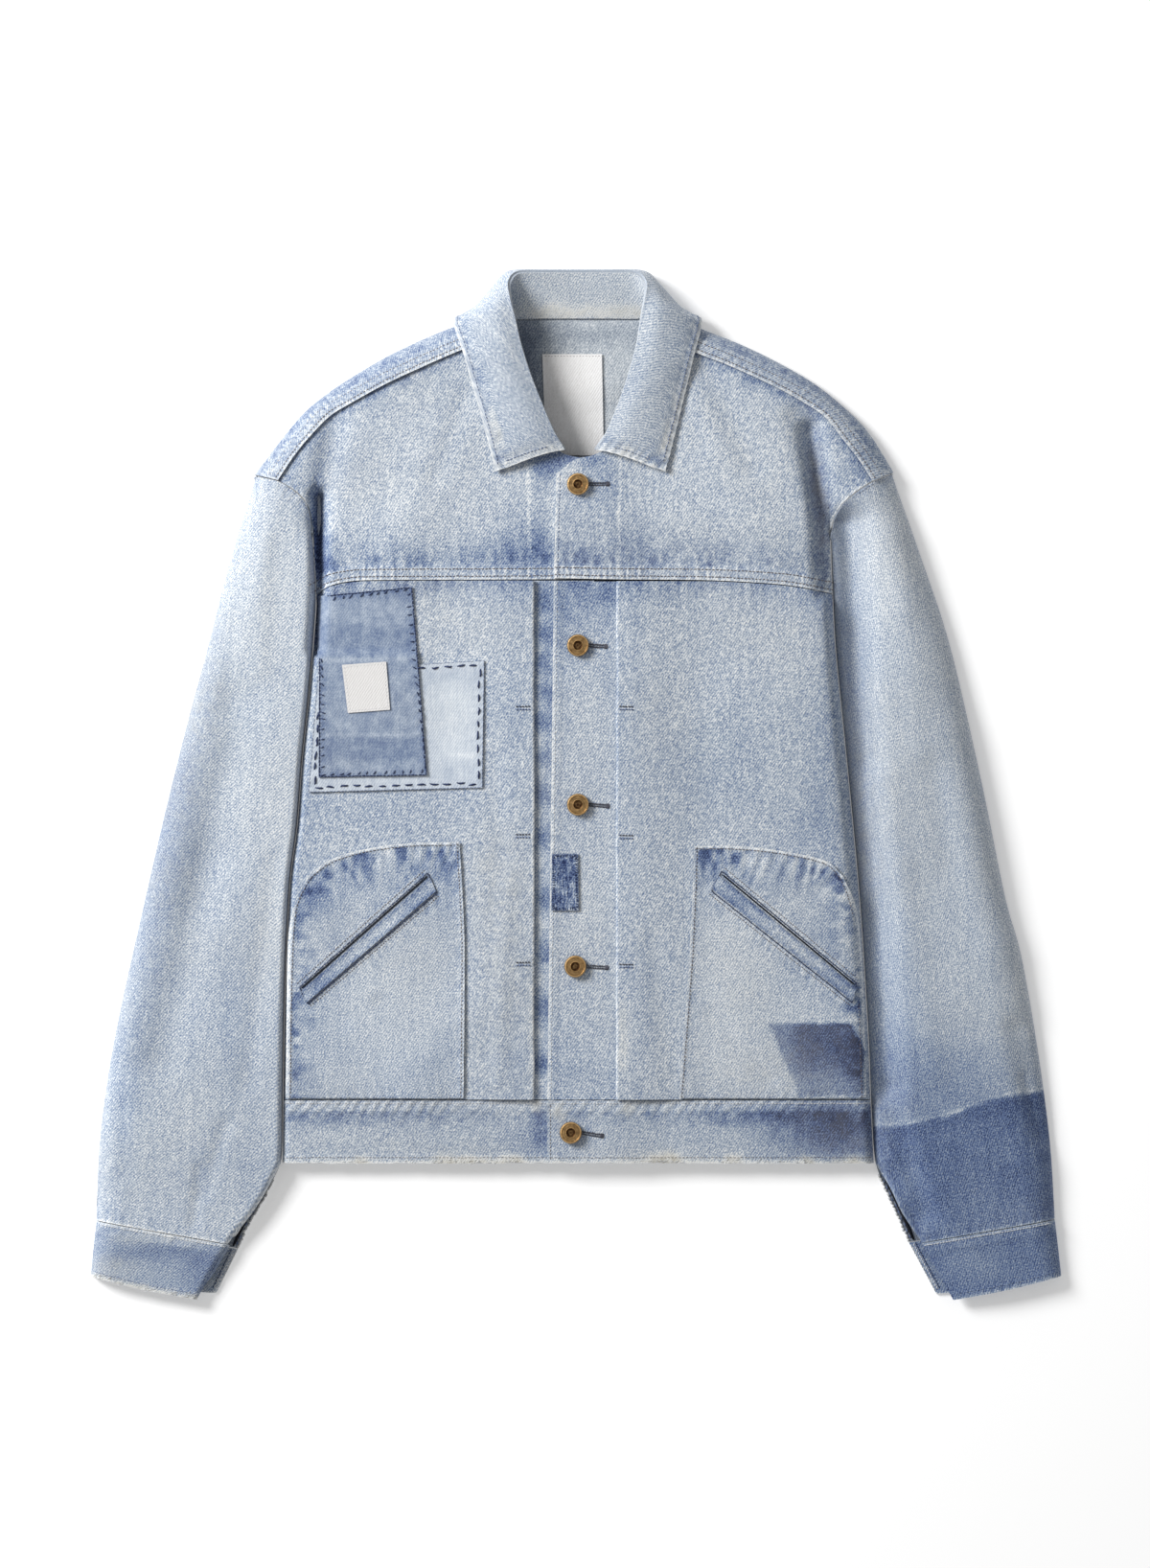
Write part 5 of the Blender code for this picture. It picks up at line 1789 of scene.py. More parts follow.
@dataclass
class Sleeves:
    """The sleeves: a rounded upper sheet over a flat under one."""

    lengths: tuple = (150.0, 610.0)
    dark_line: tuple = ((222, -263), (250, -262), (285, -255), (318, -242), (345, -237), (380, -234))
    dark_amount: float = -0.285
    pale_amount: float = 0.20
    pale_width: float = 1.6

    def build(self, rack: Rack) -> None:
        """Builds and sews both sides.

        Args:
            rack: the finishes, and where the pieces go.
        """
        for pattern in PATTERNS:
            self._upper(rack, pattern)
            self._under(rack, pattern)

    @staticmethod
    def _edges(pattern: SidePattern, inner: list) -> tuple[Array, Array]:
        """Outer and inner plan edges of a sleeve, both from the cuff seam up to the armhole.

        Args:
            pattern: the measured lines of its side.
            inner: knots of its inner edge below the valley, from the top down.

        Returns:
            The outer and the inner edge.
        """
        outer = smooth_line(pattern.sleeve_edge)
        inner = np.vstack([smooth_line(pattern.valley)[:-1], smooth_line(inner)])[::-1]
        return outer, moved(inner, dx=pattern.side.value * CLOTHS.seam / 2)

    def _dark_share(self, points: Array) -> Array:
        """How dark the lower left sleeve is: crisp at its upper line, from 0 to 1.

        Args:
            points: plan points.

        Returns:
            The share at each point.
        """
        line_y = np.interp(points[..., 0], *zip(*self.dark_line))
        rough = 1.2 * cloud(points, 7, 121) + 0.8 * cloud(points, 2.5, 122)
        return 1 - ramp(points[..., 1] - line_y + rough, -1.2, 1.2)

    def _upper(self, rack: Rack, pattern: SidePattern) -> None:
        """One upper sleeve, from the armhole to the cuff.

        Args:
            rack: the finishes, and where the pieces go.
            pattern: the measured lines of its side.
        """
        side = pattern.side
        right = side is Side.RIGHT
        outer, inner = self._edges(pattern, pattern.slit_top)
        head = moved(smooth_line(pattern.armhole), dx=side.value * CLOTHS.seam / 2, dy=-CLOTHS.seam)
        outer[-1], inner[-1] = head[0], head[-1]
        foot = np.vstack([outer[0], inner[0]])
        across, up = shares(self.lengths[0]), shares(self.lengths[1], 2.4)
        plan = side_grid(side, outer, inner, foot, head, across, up)
        slit = inner[inner[:, 1] < -290]
        seams = (Seam(head, reach=9, pitch=8, pucker=0.35, rope=0.035, dark=0.07, slant=0.1, seed=111),
                 Seam(foot, reach=10, pitch=8, pucker=0.35, rope=0.05, dark=0.05, slant=0.2, seed=112),
                 Seam(slit, reach=5, pitch=9, pucker=0.1, rope=0.03, dark=0.06, seed=113))
        if right:
            # The mark at (-232, -90) is painted light along the inner edge that lifts the shade of the
            # valley. The mark at (-314, -50) darkens a band near the outer edge: partly darker dye, partly
            # painted shade of the sleeve's roll.
            marks = (Mark(-236, 150, 30, 60, 0.03), Mark(-262, 20, 30, 110, 0.015, turn=-9),
                     Mark(-232, -90, 14, 190, 0.05, turn=-4, ragged=0.1),
                     Mark(-300, 20, 24, 150, -0.02, turn=-12, warm=0.25),
                     Mark(-314, -50, 24, 140, -0.13, turn=-10), Mark(-252, -200, 26, 90, -0.06, turn=-5),
                     Mark(-350, -240, 18, 100, -0.04, turn=-8), Mark(-275, -150, 14, 60, -0.03, turn=-9),
                     Mark(-246, -300, 20, 30, -0.05), Mark(-300, -340, 60, 10, 0.02),
                     Mark(-288, -300, 5, 26, -0.05), Mark(-348, -262, 4, 34, -0.05))
            base = 0.738
        else:
            # The mark at (214, 0) is painted shadow that the body casts on the sleeve's inner side, greyed by
            # its warm value.
            marks = (Mark(236, 170, 26, 60, 0.03), Mark(292, -60, 14, 110, -0.02, turn=10),
                     Mark(214, 0, 15, 210, -0.22, turn=4, warm=0.25, ragged=0.1),
                     Mark(329, -282, 7, 7, 0.16, ragged=0.7), Mark(344, -262, 26, 2.2, 0.06, turn=-66),
                     Mark(292, -226, 80, 34, -0.10), Mark(258, -240, 34, 40, -0.10),
                     Mark(262, -256, 56, 15, -0.06), Mark(330, -244, 50, 14, -0.05, ragged=0.6),
                     Mark(346, -170, 16, 44, 0.03), Mark(246, -160, 16, 90, -0.06),
                     Mark(334, -250, 40, 10, -0.05), Mark(360, -262, 8, 30, -0.05),
                     Mark(330, -338, 46, 9, 0.09, turn=9), Mark(258, -300, 5, 40, 0.08, turn=-16))
            base = 0.742
        edges = (foot, slit) if len(slit) > 1 else (foot,)
        wash = Wash(base, marks, seams, edges, waves=0.45, seed=115 + side.value, streaks=0.018)

        def under(points: Array) -> Array:
            """The laid form on the sleeve."""
            return FORM.height(points, on_sleeve=True)

        piece = ClothPiece(f"sleeve_{side.word}", plan, under, wash,
                           Cut((0.168, 0.602), (f"under_sleeve_{side.word}",), 0.070),
                           seed=16 + side.value, by_rows=True)
        look = wash.read(plan)[1]
        tone = look.tone
        if not right:
            dark = self._dark_share(plan)
            brushed = 0.03 * cloud(plan, (3, 26), 123) + 0.035 * cloud(plan, (26, 9), 124)
            tone = tone + dark * (self.dark_amount + 0.65 * (base - tone) + brushed)
            above = plan[..., 1] - np.interp(plan[..., 0], *zip(*self.dark_line))
            pale_line = np.exp(-(above / self.pale_width) ** 2)
            tone = tone + self.pale_amount * pale_line * np.clip(cloud(plan, 12, 125) + 0.7, 0.2, 1)
        piece.hang(rack, [rack.finishes.denim, rack.finishes.inside], Look(tone, look.warm, look.rubbed))

    def _under(self, rack: Rack, pattern: SidePattern) -> None:
        """One under sleeve, flat on the table, its inside up.

        Args:
            rack: the finishes, and where the pieces go.
            pattern: the measured lines of its side.
        """
        side = pattern.side
        outer, inner = self._edges(pattern, pattern.slit_under)
        head = moved(smooth_line(pattern.armhole, 3), dx=side.value * CLOTHS.seam, dy=-2 * CLOTHS.seam)
        outer, inner = np.vstack([outer[:-1], head[0]]), np.vstack([inner[:-1], head[-1]])
        foot = np.vstack([outer[0], inner[0]])
        across, up = shares(self.lengths[0], 6), shares(self.lengths[1], 8)
        plan = side_grid(side, outer, inner, foot, head, across, up)
        slit = beside(smooth_line(pattern.slit_under), 0.01)
        seam = Seam(slit, reach=6, rope=0.1, dark=0.0, pitch=9, pucker=0, seed=126)
        wash = Wash(0.60 if side is Side.RIGHT else 0.45, (), (seam,), (slit,), waves=0.0, seed=127)
        face = np.concatenate([plan, np.full(plan.shape[:2] + (1,), CLOTHS.denim)], -1)
        node = f"under_sleeve_{side.word}"
        mesh = shell_mesh(node, face, CLOTHS.denim, wash.read(plan)[1],
                          [rack.finishes.inside, rack.finishes.denim], 18, by_rows=True)
        rack.sheet(node, mesh, Slot.DENIM, Cut((0.15, 0.602), ("table",), 0.062))
        self._slit(rack, pattern, node)

    @staticmethod
    def _slit(rack: Rack, pattern: SidePattern, node: str) -> None:
        """The frayed rim of the under layer along the slit, and a near-black tube above it: painted shadow in
        the gap.

        Args:
            rack: the finishes, and where the pieces go.
            pattern: the measured lines of its side.
            node: the CAD node of the under sleeve.
        """
        rim = smooth_line(pattern.slit_under)[2:]
        inwards = 1 if pattern.side is Side.LEFT else -1
        level = CLOTHS.denim
        for name, gap, radius, stitch, material in (
                ("rim", 0.2, 1.05, (3.1, 0.96), rack.finishes.white_thread),
                ("blocks", 2.1, 0.6, (5.2, 0.5), rack.finishes.blue_thread)):
            row = StitchRow(beside(rim, gap * inwards), *stitch, 0.4, 0.3, 128)
            paths = row.paths(flat_at(level))
            rack.thread(node, f"slit_{name}_{pattern.side.word}", paths, radius, material)
        # A near-black tube beside the rim: painted shadow in the slit.
        gap = beside(rim, 4.0 * inwards)
        gap = np.concatenate([gap, np.full((len(gap), 1), level + 0.6)], -1)
        taper = tuple(np.concatenate([[0.3], np.ones(len(gap) - 2), [0.5]]))
        rack.thread(node, f"slit_gap_{pattern.side.word}", gap[None], 1.25, rack.finishes.slit,
                    taper=taper, ring=8)


@dataclass
class Cuffs:
    """The doubled cuffs, open along the slit; the right one is frayed at its end."""

    width: float = 105
    tops: dict = field(default_factory=dict)

    def build(self, rack: Rack) -> None:
        """Builds and sews both sides.

        Args:
            rack: the finishes, and where the pieces go.
        """
        for pattern in PATTERNS:
            self._top(rack, pattern)
            self._under(rack, pattern)

    def _top(self, rack: Rack, pattern: SidePattern) -> None:
        """The upper side of one cuff.

        Args:
            rack: the finishes, and where the pieces go.
            pattern: the measured lines of its side.
        """
        side = pattern.side
        right = side is Side.RIGHT
        outer = np.array([pattern.cuff_end[0], pattern.sleeve_edge[0]], float)
        inner = np.array([pattern.cuff_end[-1], pattern.slit_top[-1]], float)
        outer[1, 1] -= CLOTHS.seam
        inner[1, 1] -= CLOTHS.seam
        end = smooth_line(pattern.cuff_end)
        sewn = np.vstack([outer[1], inner[1]])
        across, up = shares(self.width, 1.9), shares(44, 1.6)
        plan = side_grid(side, outer, inner, end, sewn, across, up)
        seams = (Seam(sewn, band=9, lift=0.25, reach=8, pitch=8, pucker=0.25, rope=0.05, dark=0.07,
                      seed=131),
                 Seam(end, band=5, lift=0.25, reach=6, pitch=6, pucker=0.15, rope=0.04, dark=0.03,
                      seed=132),
                 Seam(inner, reach=6, pitch=7, pucker=0.1, rope=0.04, dark=0.06, seed=133))
        if right:
            marks = (Mark(-330, -360, 34, 9, -0.12, ragged=0.5), Mark(-290, -372, 18, 16, -0.12),
                     Mark(-360, -372, 20, 10, 0.04, warm=0.2), Mark(-320, -350, 46, 5, 0.08, warm=0.1))
        else:
            marks = (Mark(300, -362, 26, 12, 0.05, ragged=0.6), Mark(345, -366, 20, 8, -0.03),
                     Mark(318, -372, 14, 12, 0.03))
        frays = tuple(Mark(x, y, 5, 3, 0.16, warm=0.4, ragged=0.8)
                      for x, y in along(end, np.linspace(0.02, 0.98, 9)) if right)
        wash = Wash(0.645 if right else 0.49, marks + frays, seams, (end, sewn), waves=0.2, seed=134)

        def under(points: Array) -> Array:
            """The laid form at the cuff's own level."""
            return FORM.height(points, on_sleeve=True, floor=CLOTHS.band_seam_level)

        piece = ClothPiece(f"cuff_{side.word}", plan, under, wash,
                           Cut((0.112, 0.047), (f"cuff_under_{side.word}",), 0.0042),
                           wall=CLOTHS.doubled, seed=19, by_rows=True)
        piece.hang(rack, [rack.finishes.denim, rack.finishes.denim])
        self.tops[side] = piece
        turn = -1 if right else 1
        top_row = beside(along(sewn, np.linspace(0.04, 0.985, 30)), turn * 1.9)
        piece.sew(rack, f"cuff_seam_stitches_{side.word}",
                  [StitchRow(top_row, pitch=2.4, share=0.92, wobble=0.04, seed=135)],
                  rack.finishes.white_thread, 0.34)
        low_row = beside(along(end, np.linspace(0.03, 0.98, 30)), -turn * 4.4)
        piece.sew(rack, f"cuff_end_stitches_{side.word}", [StitchRow(low_row, seed=136)],
                  rack.finishes.blue_thread, 0.22)

    def _under(self, rack: Rack, pattern: SidePattern) -> None:
        """The under side of one cuff, flat on the table, which shows beyond the upper side.

        Args:
            rack: the finishes, and where the pieces go.
            pattern: the measured lines of its side.
        """
        side = pattern.side
        right = side is Side.RIGHT
        outer_edge, inner_edge = Sleeves._edges(pattern, pattern.slit_under)
        outer = np.vstack([pattern.cuff_end_under[0], outer_edge[0] - (0, CLOTHS.seam)])
        low_inner = inner_edge[0] - (side.value * CLOTHS.seam / 2, CLOTHS.seam)
        inner = np.vstack([pattern.cuff_end_under[-1], low_inner])
        end = smooth_line(pattern.cuff_end_under)
        top = np.vstack([outer[1], inner[1]])
        across, up = shares(self.width, 3), shares(44, 3)
        plan = side_grid(side, outer, inner, end, top, across, up)
        seam = Seam(inner, band=5, reach=7, rope=0.08, dark=0.06, pitch=8, pucker=0, seed=137)
        wash = Wash(0.70 if right else 0.56, (), (seam,), (inner, end), waves=0.0, seed=138)
        face = np.concatenate([plan, np.full(plan.shape[:2] + (1,), CLOTHS.doubled)], -1)
        node = f"cuff_under_{side.word}"
        mesh = shell_mesh(node, face, CLOTHS.doubled, wash.read(plan)[1],
                          [rack.finishes.denim, rack.finishes.denim], 20, by_rows=True)
        rack.sheet(node, mesh, Slot.DENIM, Cut((0.118, 0.046), ("table",), 0.0046))
        turn = 1 if right else -1
        line = beside(along(inner, np.linspace(0.05, 0.95, 12)), turn * 2.2)
        # The navy row is a dark line laid in the gap beside the upper cuff: painted shade.
        for name, gap, material in (("rim", -1.9, rack.finishes.white_thread),
                                    ("stitches", 0.6, rack.finishes.white_thread),
                                    ("shade", 2.2, rack.finishes.navy_thread)):
            row = StitchRow(beside(line, turn * gap), pitch=2.5, share=0.94, wobble=0.05, seed=139)
            paths = row.paths(flat_at(CLOTHS.doubled))
            rack.thread(node, f"{node}_{name}", paths, 0.42, material)


@dataclass
class Collar:
    """The stand, which rises from the neck seam, and the fall, which turns over it.

    Each station from the front end to the middle of the back holds the neck seam, the roll line,
    three points over the fall, and the fall's edge, as (outward x, y, z).
    """

    stations: tuple = (
        ((8.5, 257, 21.3), (9, 257.5, 23), (22, 255, 24.6),
         (36, 250.5, 24.6), (50, 245, 23.2), (62, 240.5, 21.8)),
        ((20, 267, 21.3), (17.5, 272, 25.2), (30, 271, 27.6),
         (43, 267.5, 27), (56, 262.5, 24.5), (66, 258.5, 21.8)),
        ((34, 285, 20.9), (27, 294, 27.2), (39, 294, 29.6),
         (51, 292, 28.6), (63, 290, 25.6), (73.5, 287.5, 21.8)),
        ((44, 304.5, 20.9), (35.5, 316, 28.6), (48, 316, 30.6),
         (59, 314.5, 29.6), (70, 312.5, 26.2), (80, 310.5, 21.9)),
        ((52, 324, 20.9), (42.5, 338, 29.6), (55, 338, 31.6),
         (66, 336.5, 29.8), (77, 334, 26.5), (86, 331.5, 22.6)),
        ((61, 345, 20.3), (47, 358, 29.6), (60, 358.5, 30.6),
         (73, 357.5, 26.8), (84.5, 356, 21), (93, 354.5, 14.5)),
        ((62, 350.5, 17), (49, 366, 29.2), (62, 366.5, 29),
         (74, 365.5, 22.5), (84, 363, 11), (91.5, 358.5, 4.5)),
        ((62, 354.5, 14), (50.5, 374, 28), (62.5, 373.5, 25),
         (73, 371, 14), (77, 366, 3), (87, 353.5, 1.7)),
        ((61.3, 362, 5.5), (51.5, 386, 23.5), (59, 385.5, 17.5),
         (62.5, 383.5, 7.5), (62, 375, 1.7), (80, 333, 1.7)),
        ((46, 360, 2.5), (44.5, 393.8, 17.5), (49.5, 394.6, 12),
         (51, 394, 5.5), (50, 386, 1.7), (54, 325, 1.7)),
        ((24, 360, 2.5), (24, 394.6, 15), (26, 395.6, 10),
         (26.5, 395, 4.5), (27, 386, 1.7), (28, 320, 1.7)),
        ((0, 360, 2.5), (0, 394.6, 14), (0, 395.6, 9.5),
         (0, 395, 4.5), (0, 386, 1.7), (0, 319, 1.7)),
    )
    left_wider: tuple = (6.5, 7, 6.5, 5.5, 4.5, 3, 2.5, 2.5, 2, 1, 0, 0)
    wall: float = 1.6
    floor: float = 1.7
    roll_gap: float = 0.05
    edge_inset: float = 4.0
    stitch_pitch: float = 2.8
    stitch_length: float = 2.1
    table_clear: float = 6.0
    around: int = 11
    across: int = 9
    base_tone: float = 0.715

    def build(self, rack: Rack) -> None:
        """Builds and sews the stand and the fall.

        Args:
            rack: the finishes, and where the pieces go.
        """
        right = np.array(self.stations, float)
        left = right.copy()
        left[..., 0] += np.array(self.left_wider)[:, None]
        right[..., 0] *= -1
        stations = np.concatenate([right, left[-2::-1]])
        self._stand(rack, stations)
        self._fall(rack, stations)

    def _stand(self, rack: Rack, stations: Array) -> None:
        """The stand, whose inner side shows in the open neck.

        Args:
            rack: the finishes, and where the pieces go.
            stations: for each station, its six points in space.
        """
        neck = smooth_line(stations[:, 0], self.around)
        rolled = smooth_line(stations[:, 1], self.around)
        height = np.linalg.norm(rolled - neck, axis=1, keepdims=True)
        top = rolled - (rolled - neck) * np.minimum(self.roll_gap / height, 0.5)
        up = np.linspace(0, 1, 16)[:, None, None]
        face = neck[None] + (top - neck)[None] * up
        place = np.stack([np.broadcast_to(run_lengths(neck)[None], face.shape[:2]),
                          np.broadcast_to(up[..., 0] * 35, face.shape[:2])], -1)
        low = np.array([(0, 0), (600, 0)], float)
        seam = Seam(low, reach=8, pitch=6, pucker=0, rope=0.05, dark=0.03, seed=141)
        middle = run_lengths(neck)[-1] / 2
        # The third mark is painted shadow on the inside of the stand towards the right front, under the roll
        # of the fall.
        marks = (Mark(middle + 6, 5, 66, 5, 0.17, warm=0.4, ragged=0.9), Mark(middle + 10, 24, 60, 12, -0.02),
                 Mark(middle - 55, 16, 14, 22, -0.10, ragged=0.1))
        wash = Wash(self.base_tone + 0.08, marks, (seam,), waves=0, seed=142)
        mesh = shell_mesh("collar_stand", face, self.wall, wash.read(place)[1],
                          [rack.finishes.denim, rack.finishes.denim], 21, outwards=True, by_rows=True)
        rack.sheet("collar_stand", mesh, Slot.DENIM, Cut((0.42, 0.03), ("back_yoke",), 0.0085))
        line = at_length(face[1], np.linspace(3, run_lengths(face[1])[-1] - 3, 400))
        steps = np.arange(2, 396, 3)
        lifts = (0.0, 0.5, 0.5, 0.0)
        paths = np.stack([line[steps + k] + (0, 0, lift) for k, lift in enumerate(lifts)], 1)
        paths[..., 1] -= 0.5
        rack.thread("collar_stand", "neck_seam_stitches", paths, 0.42, rack.finishes.white_thread)

    def _fall(self, rack: Rack, stations: Array) -> None:
        """The fall, with its pointed ends and stitched edge.

        Args:
            rack: the finishes, and where the pieces go.
            stations: for each station, its six points in space.
        """
        over = np.array([smooth_line(station[1:], self.across) for station in stations])
        face = smooth_line(over, self.around).transpose(1, 0, 2)
        face[..., 2] = np.maximum(face[..., 2], self.floor)
        length = run_lengths(face[-1])
        depth = np.concatenate([np.zeros((1, face.shape[1])), np.cumsum(
            np.linalg.norm(np.diff(face, axis=0), axis=-1), axis=0)])
        place = np.stack([np.broadcast_to(length[None], depth.shape), depth[-1:] - depth], -1)
        total = float(length[-1])
        edge = np.array([(0, 0), (total, 0)], float)
        ends = [np.array([(x, 0), (x, 80)], float) for x in (0.0, total)]
        seams = tuple(Seam(line, band=5, lift=0.3, reach=9, pitch=7, pucker=0.3, rope=0.06, dark=0.08,
                           blotch=0.11, seed=143 + n) for n, line in enumerate((edge, *ends)))
        marks = (Mark(60, 40, 60, 50, -0.025), Mark(total - 80, 40, 90, 60, 0.035),
                 Mark(total - 110, 26, 60, 26, -0.02),
                 Mark(30, 9, 14, 3.5, 0.10, warm=0.4, ragged=0.9), Mark(52, 12, 26, 2, 0.06, turn=25),
                 Mark(96, 34, 30, 1.8, 0.07, turn=-20), Mark(84, 20, 22, 1.6, 0.06, turn=-28),
                 Mark(112, 48, 24, 1.8, 0.06, turn=-15), Mark(total - 90, 52, 22, 2, 0.05, turn=18),
                 Mark(4, 46, 6, 10, 0.09, warm=0.35, ragged=0.6), Mark(6, 20, 5, 16, 0.05, warm=0.3),
                 Mark(total - 26, 6, 16, 4, 0.11, warm=0.45, ragged=0.8),
                 Mark(total - 5, 34, 5, 10, 0.10, warm=0.4, ragged=0.6),
                 Mark(total - 52, 5, 12, 4, 0.09, warm=0.4, ragged=0.8),
                 Mark(total - 70, 40, 26, 20, -0.03))
        wash = Wash(self.base_tone + 0.02, marks, seams, (edge, *ends), waves=0, seed=146)
        relief, look = wash.read(place)
        normals = face_normals(face)
        face = face + normals * (relief * (normals[..., 2] > 0))[..., None]
        mesh = shell_mesh("collar_fall", face, self.wall, look,
                          [rack.finishes.denim, rack.finishes.denim], 22, outwards=True, by_rows=True)
        cut = Cut((0.53, 0.082), ("shoulder_yoke_right", "shoulder_yoke_left"), 0.029)
        rack.sheet("collar_fall", mesh, Slot.DENIM, cut)
        self._edge_stitches(rack, face)

    def _edge_stitches(self, rack: Rack, face: Array) -> None:
        """One row of stitches round the fall, just inside its edge.

        Args:
            rack: the finishes, and where the pieces go.
            face: the fall's grid of points.
        """
        normal = face_normals(face)
        outer = face + normal * (self.wall + 0.12)
        runs = []
        depth = np.linalg.norm(np.diff(outer, axis=0), axis=-1)
        for column in range(outer.shape[1]):
            inset = np.concatenate([[0], np.cumsum(depth[::-1, column])])
            step = int(np.searchsorted(inset[1:], self.edge_inset))
            row = len(depth) - 1 - step
            share = float(np.clip(1 - (self.edge_inset - inset[step]) / depth[row, column], 0, 1))
            runs.append(outer[row, column] * (1 - share) + outer[row + 1, column] * share)
        ring = np.array(runs)
        lead = outer[:, 3][8:-6]
        tail = outer[:, -4][8:-6]
        paths = []
        for line in (lead, ring[3:-3], tail):
            total = run_lengths(line)[-1]
            start = np.arange(int(total / self.stitch_pitch)) * self.stitch_pitch
            knots = at_length(line, start[:, None] + self.stitch_length * THREAD_KNOTS)
            knots[..., 2] += (-0.15, 0.12, 0.12, -0.15)
            paths.append(knots)
        paths = np.concatenate(paths)
        paths = paths[paths[..., 2].min(1) > self.table_clear]
        rack.thread("collar_fall", "collar_edge_stitches", paths, 0.36, rack.finishes.blue_thread)


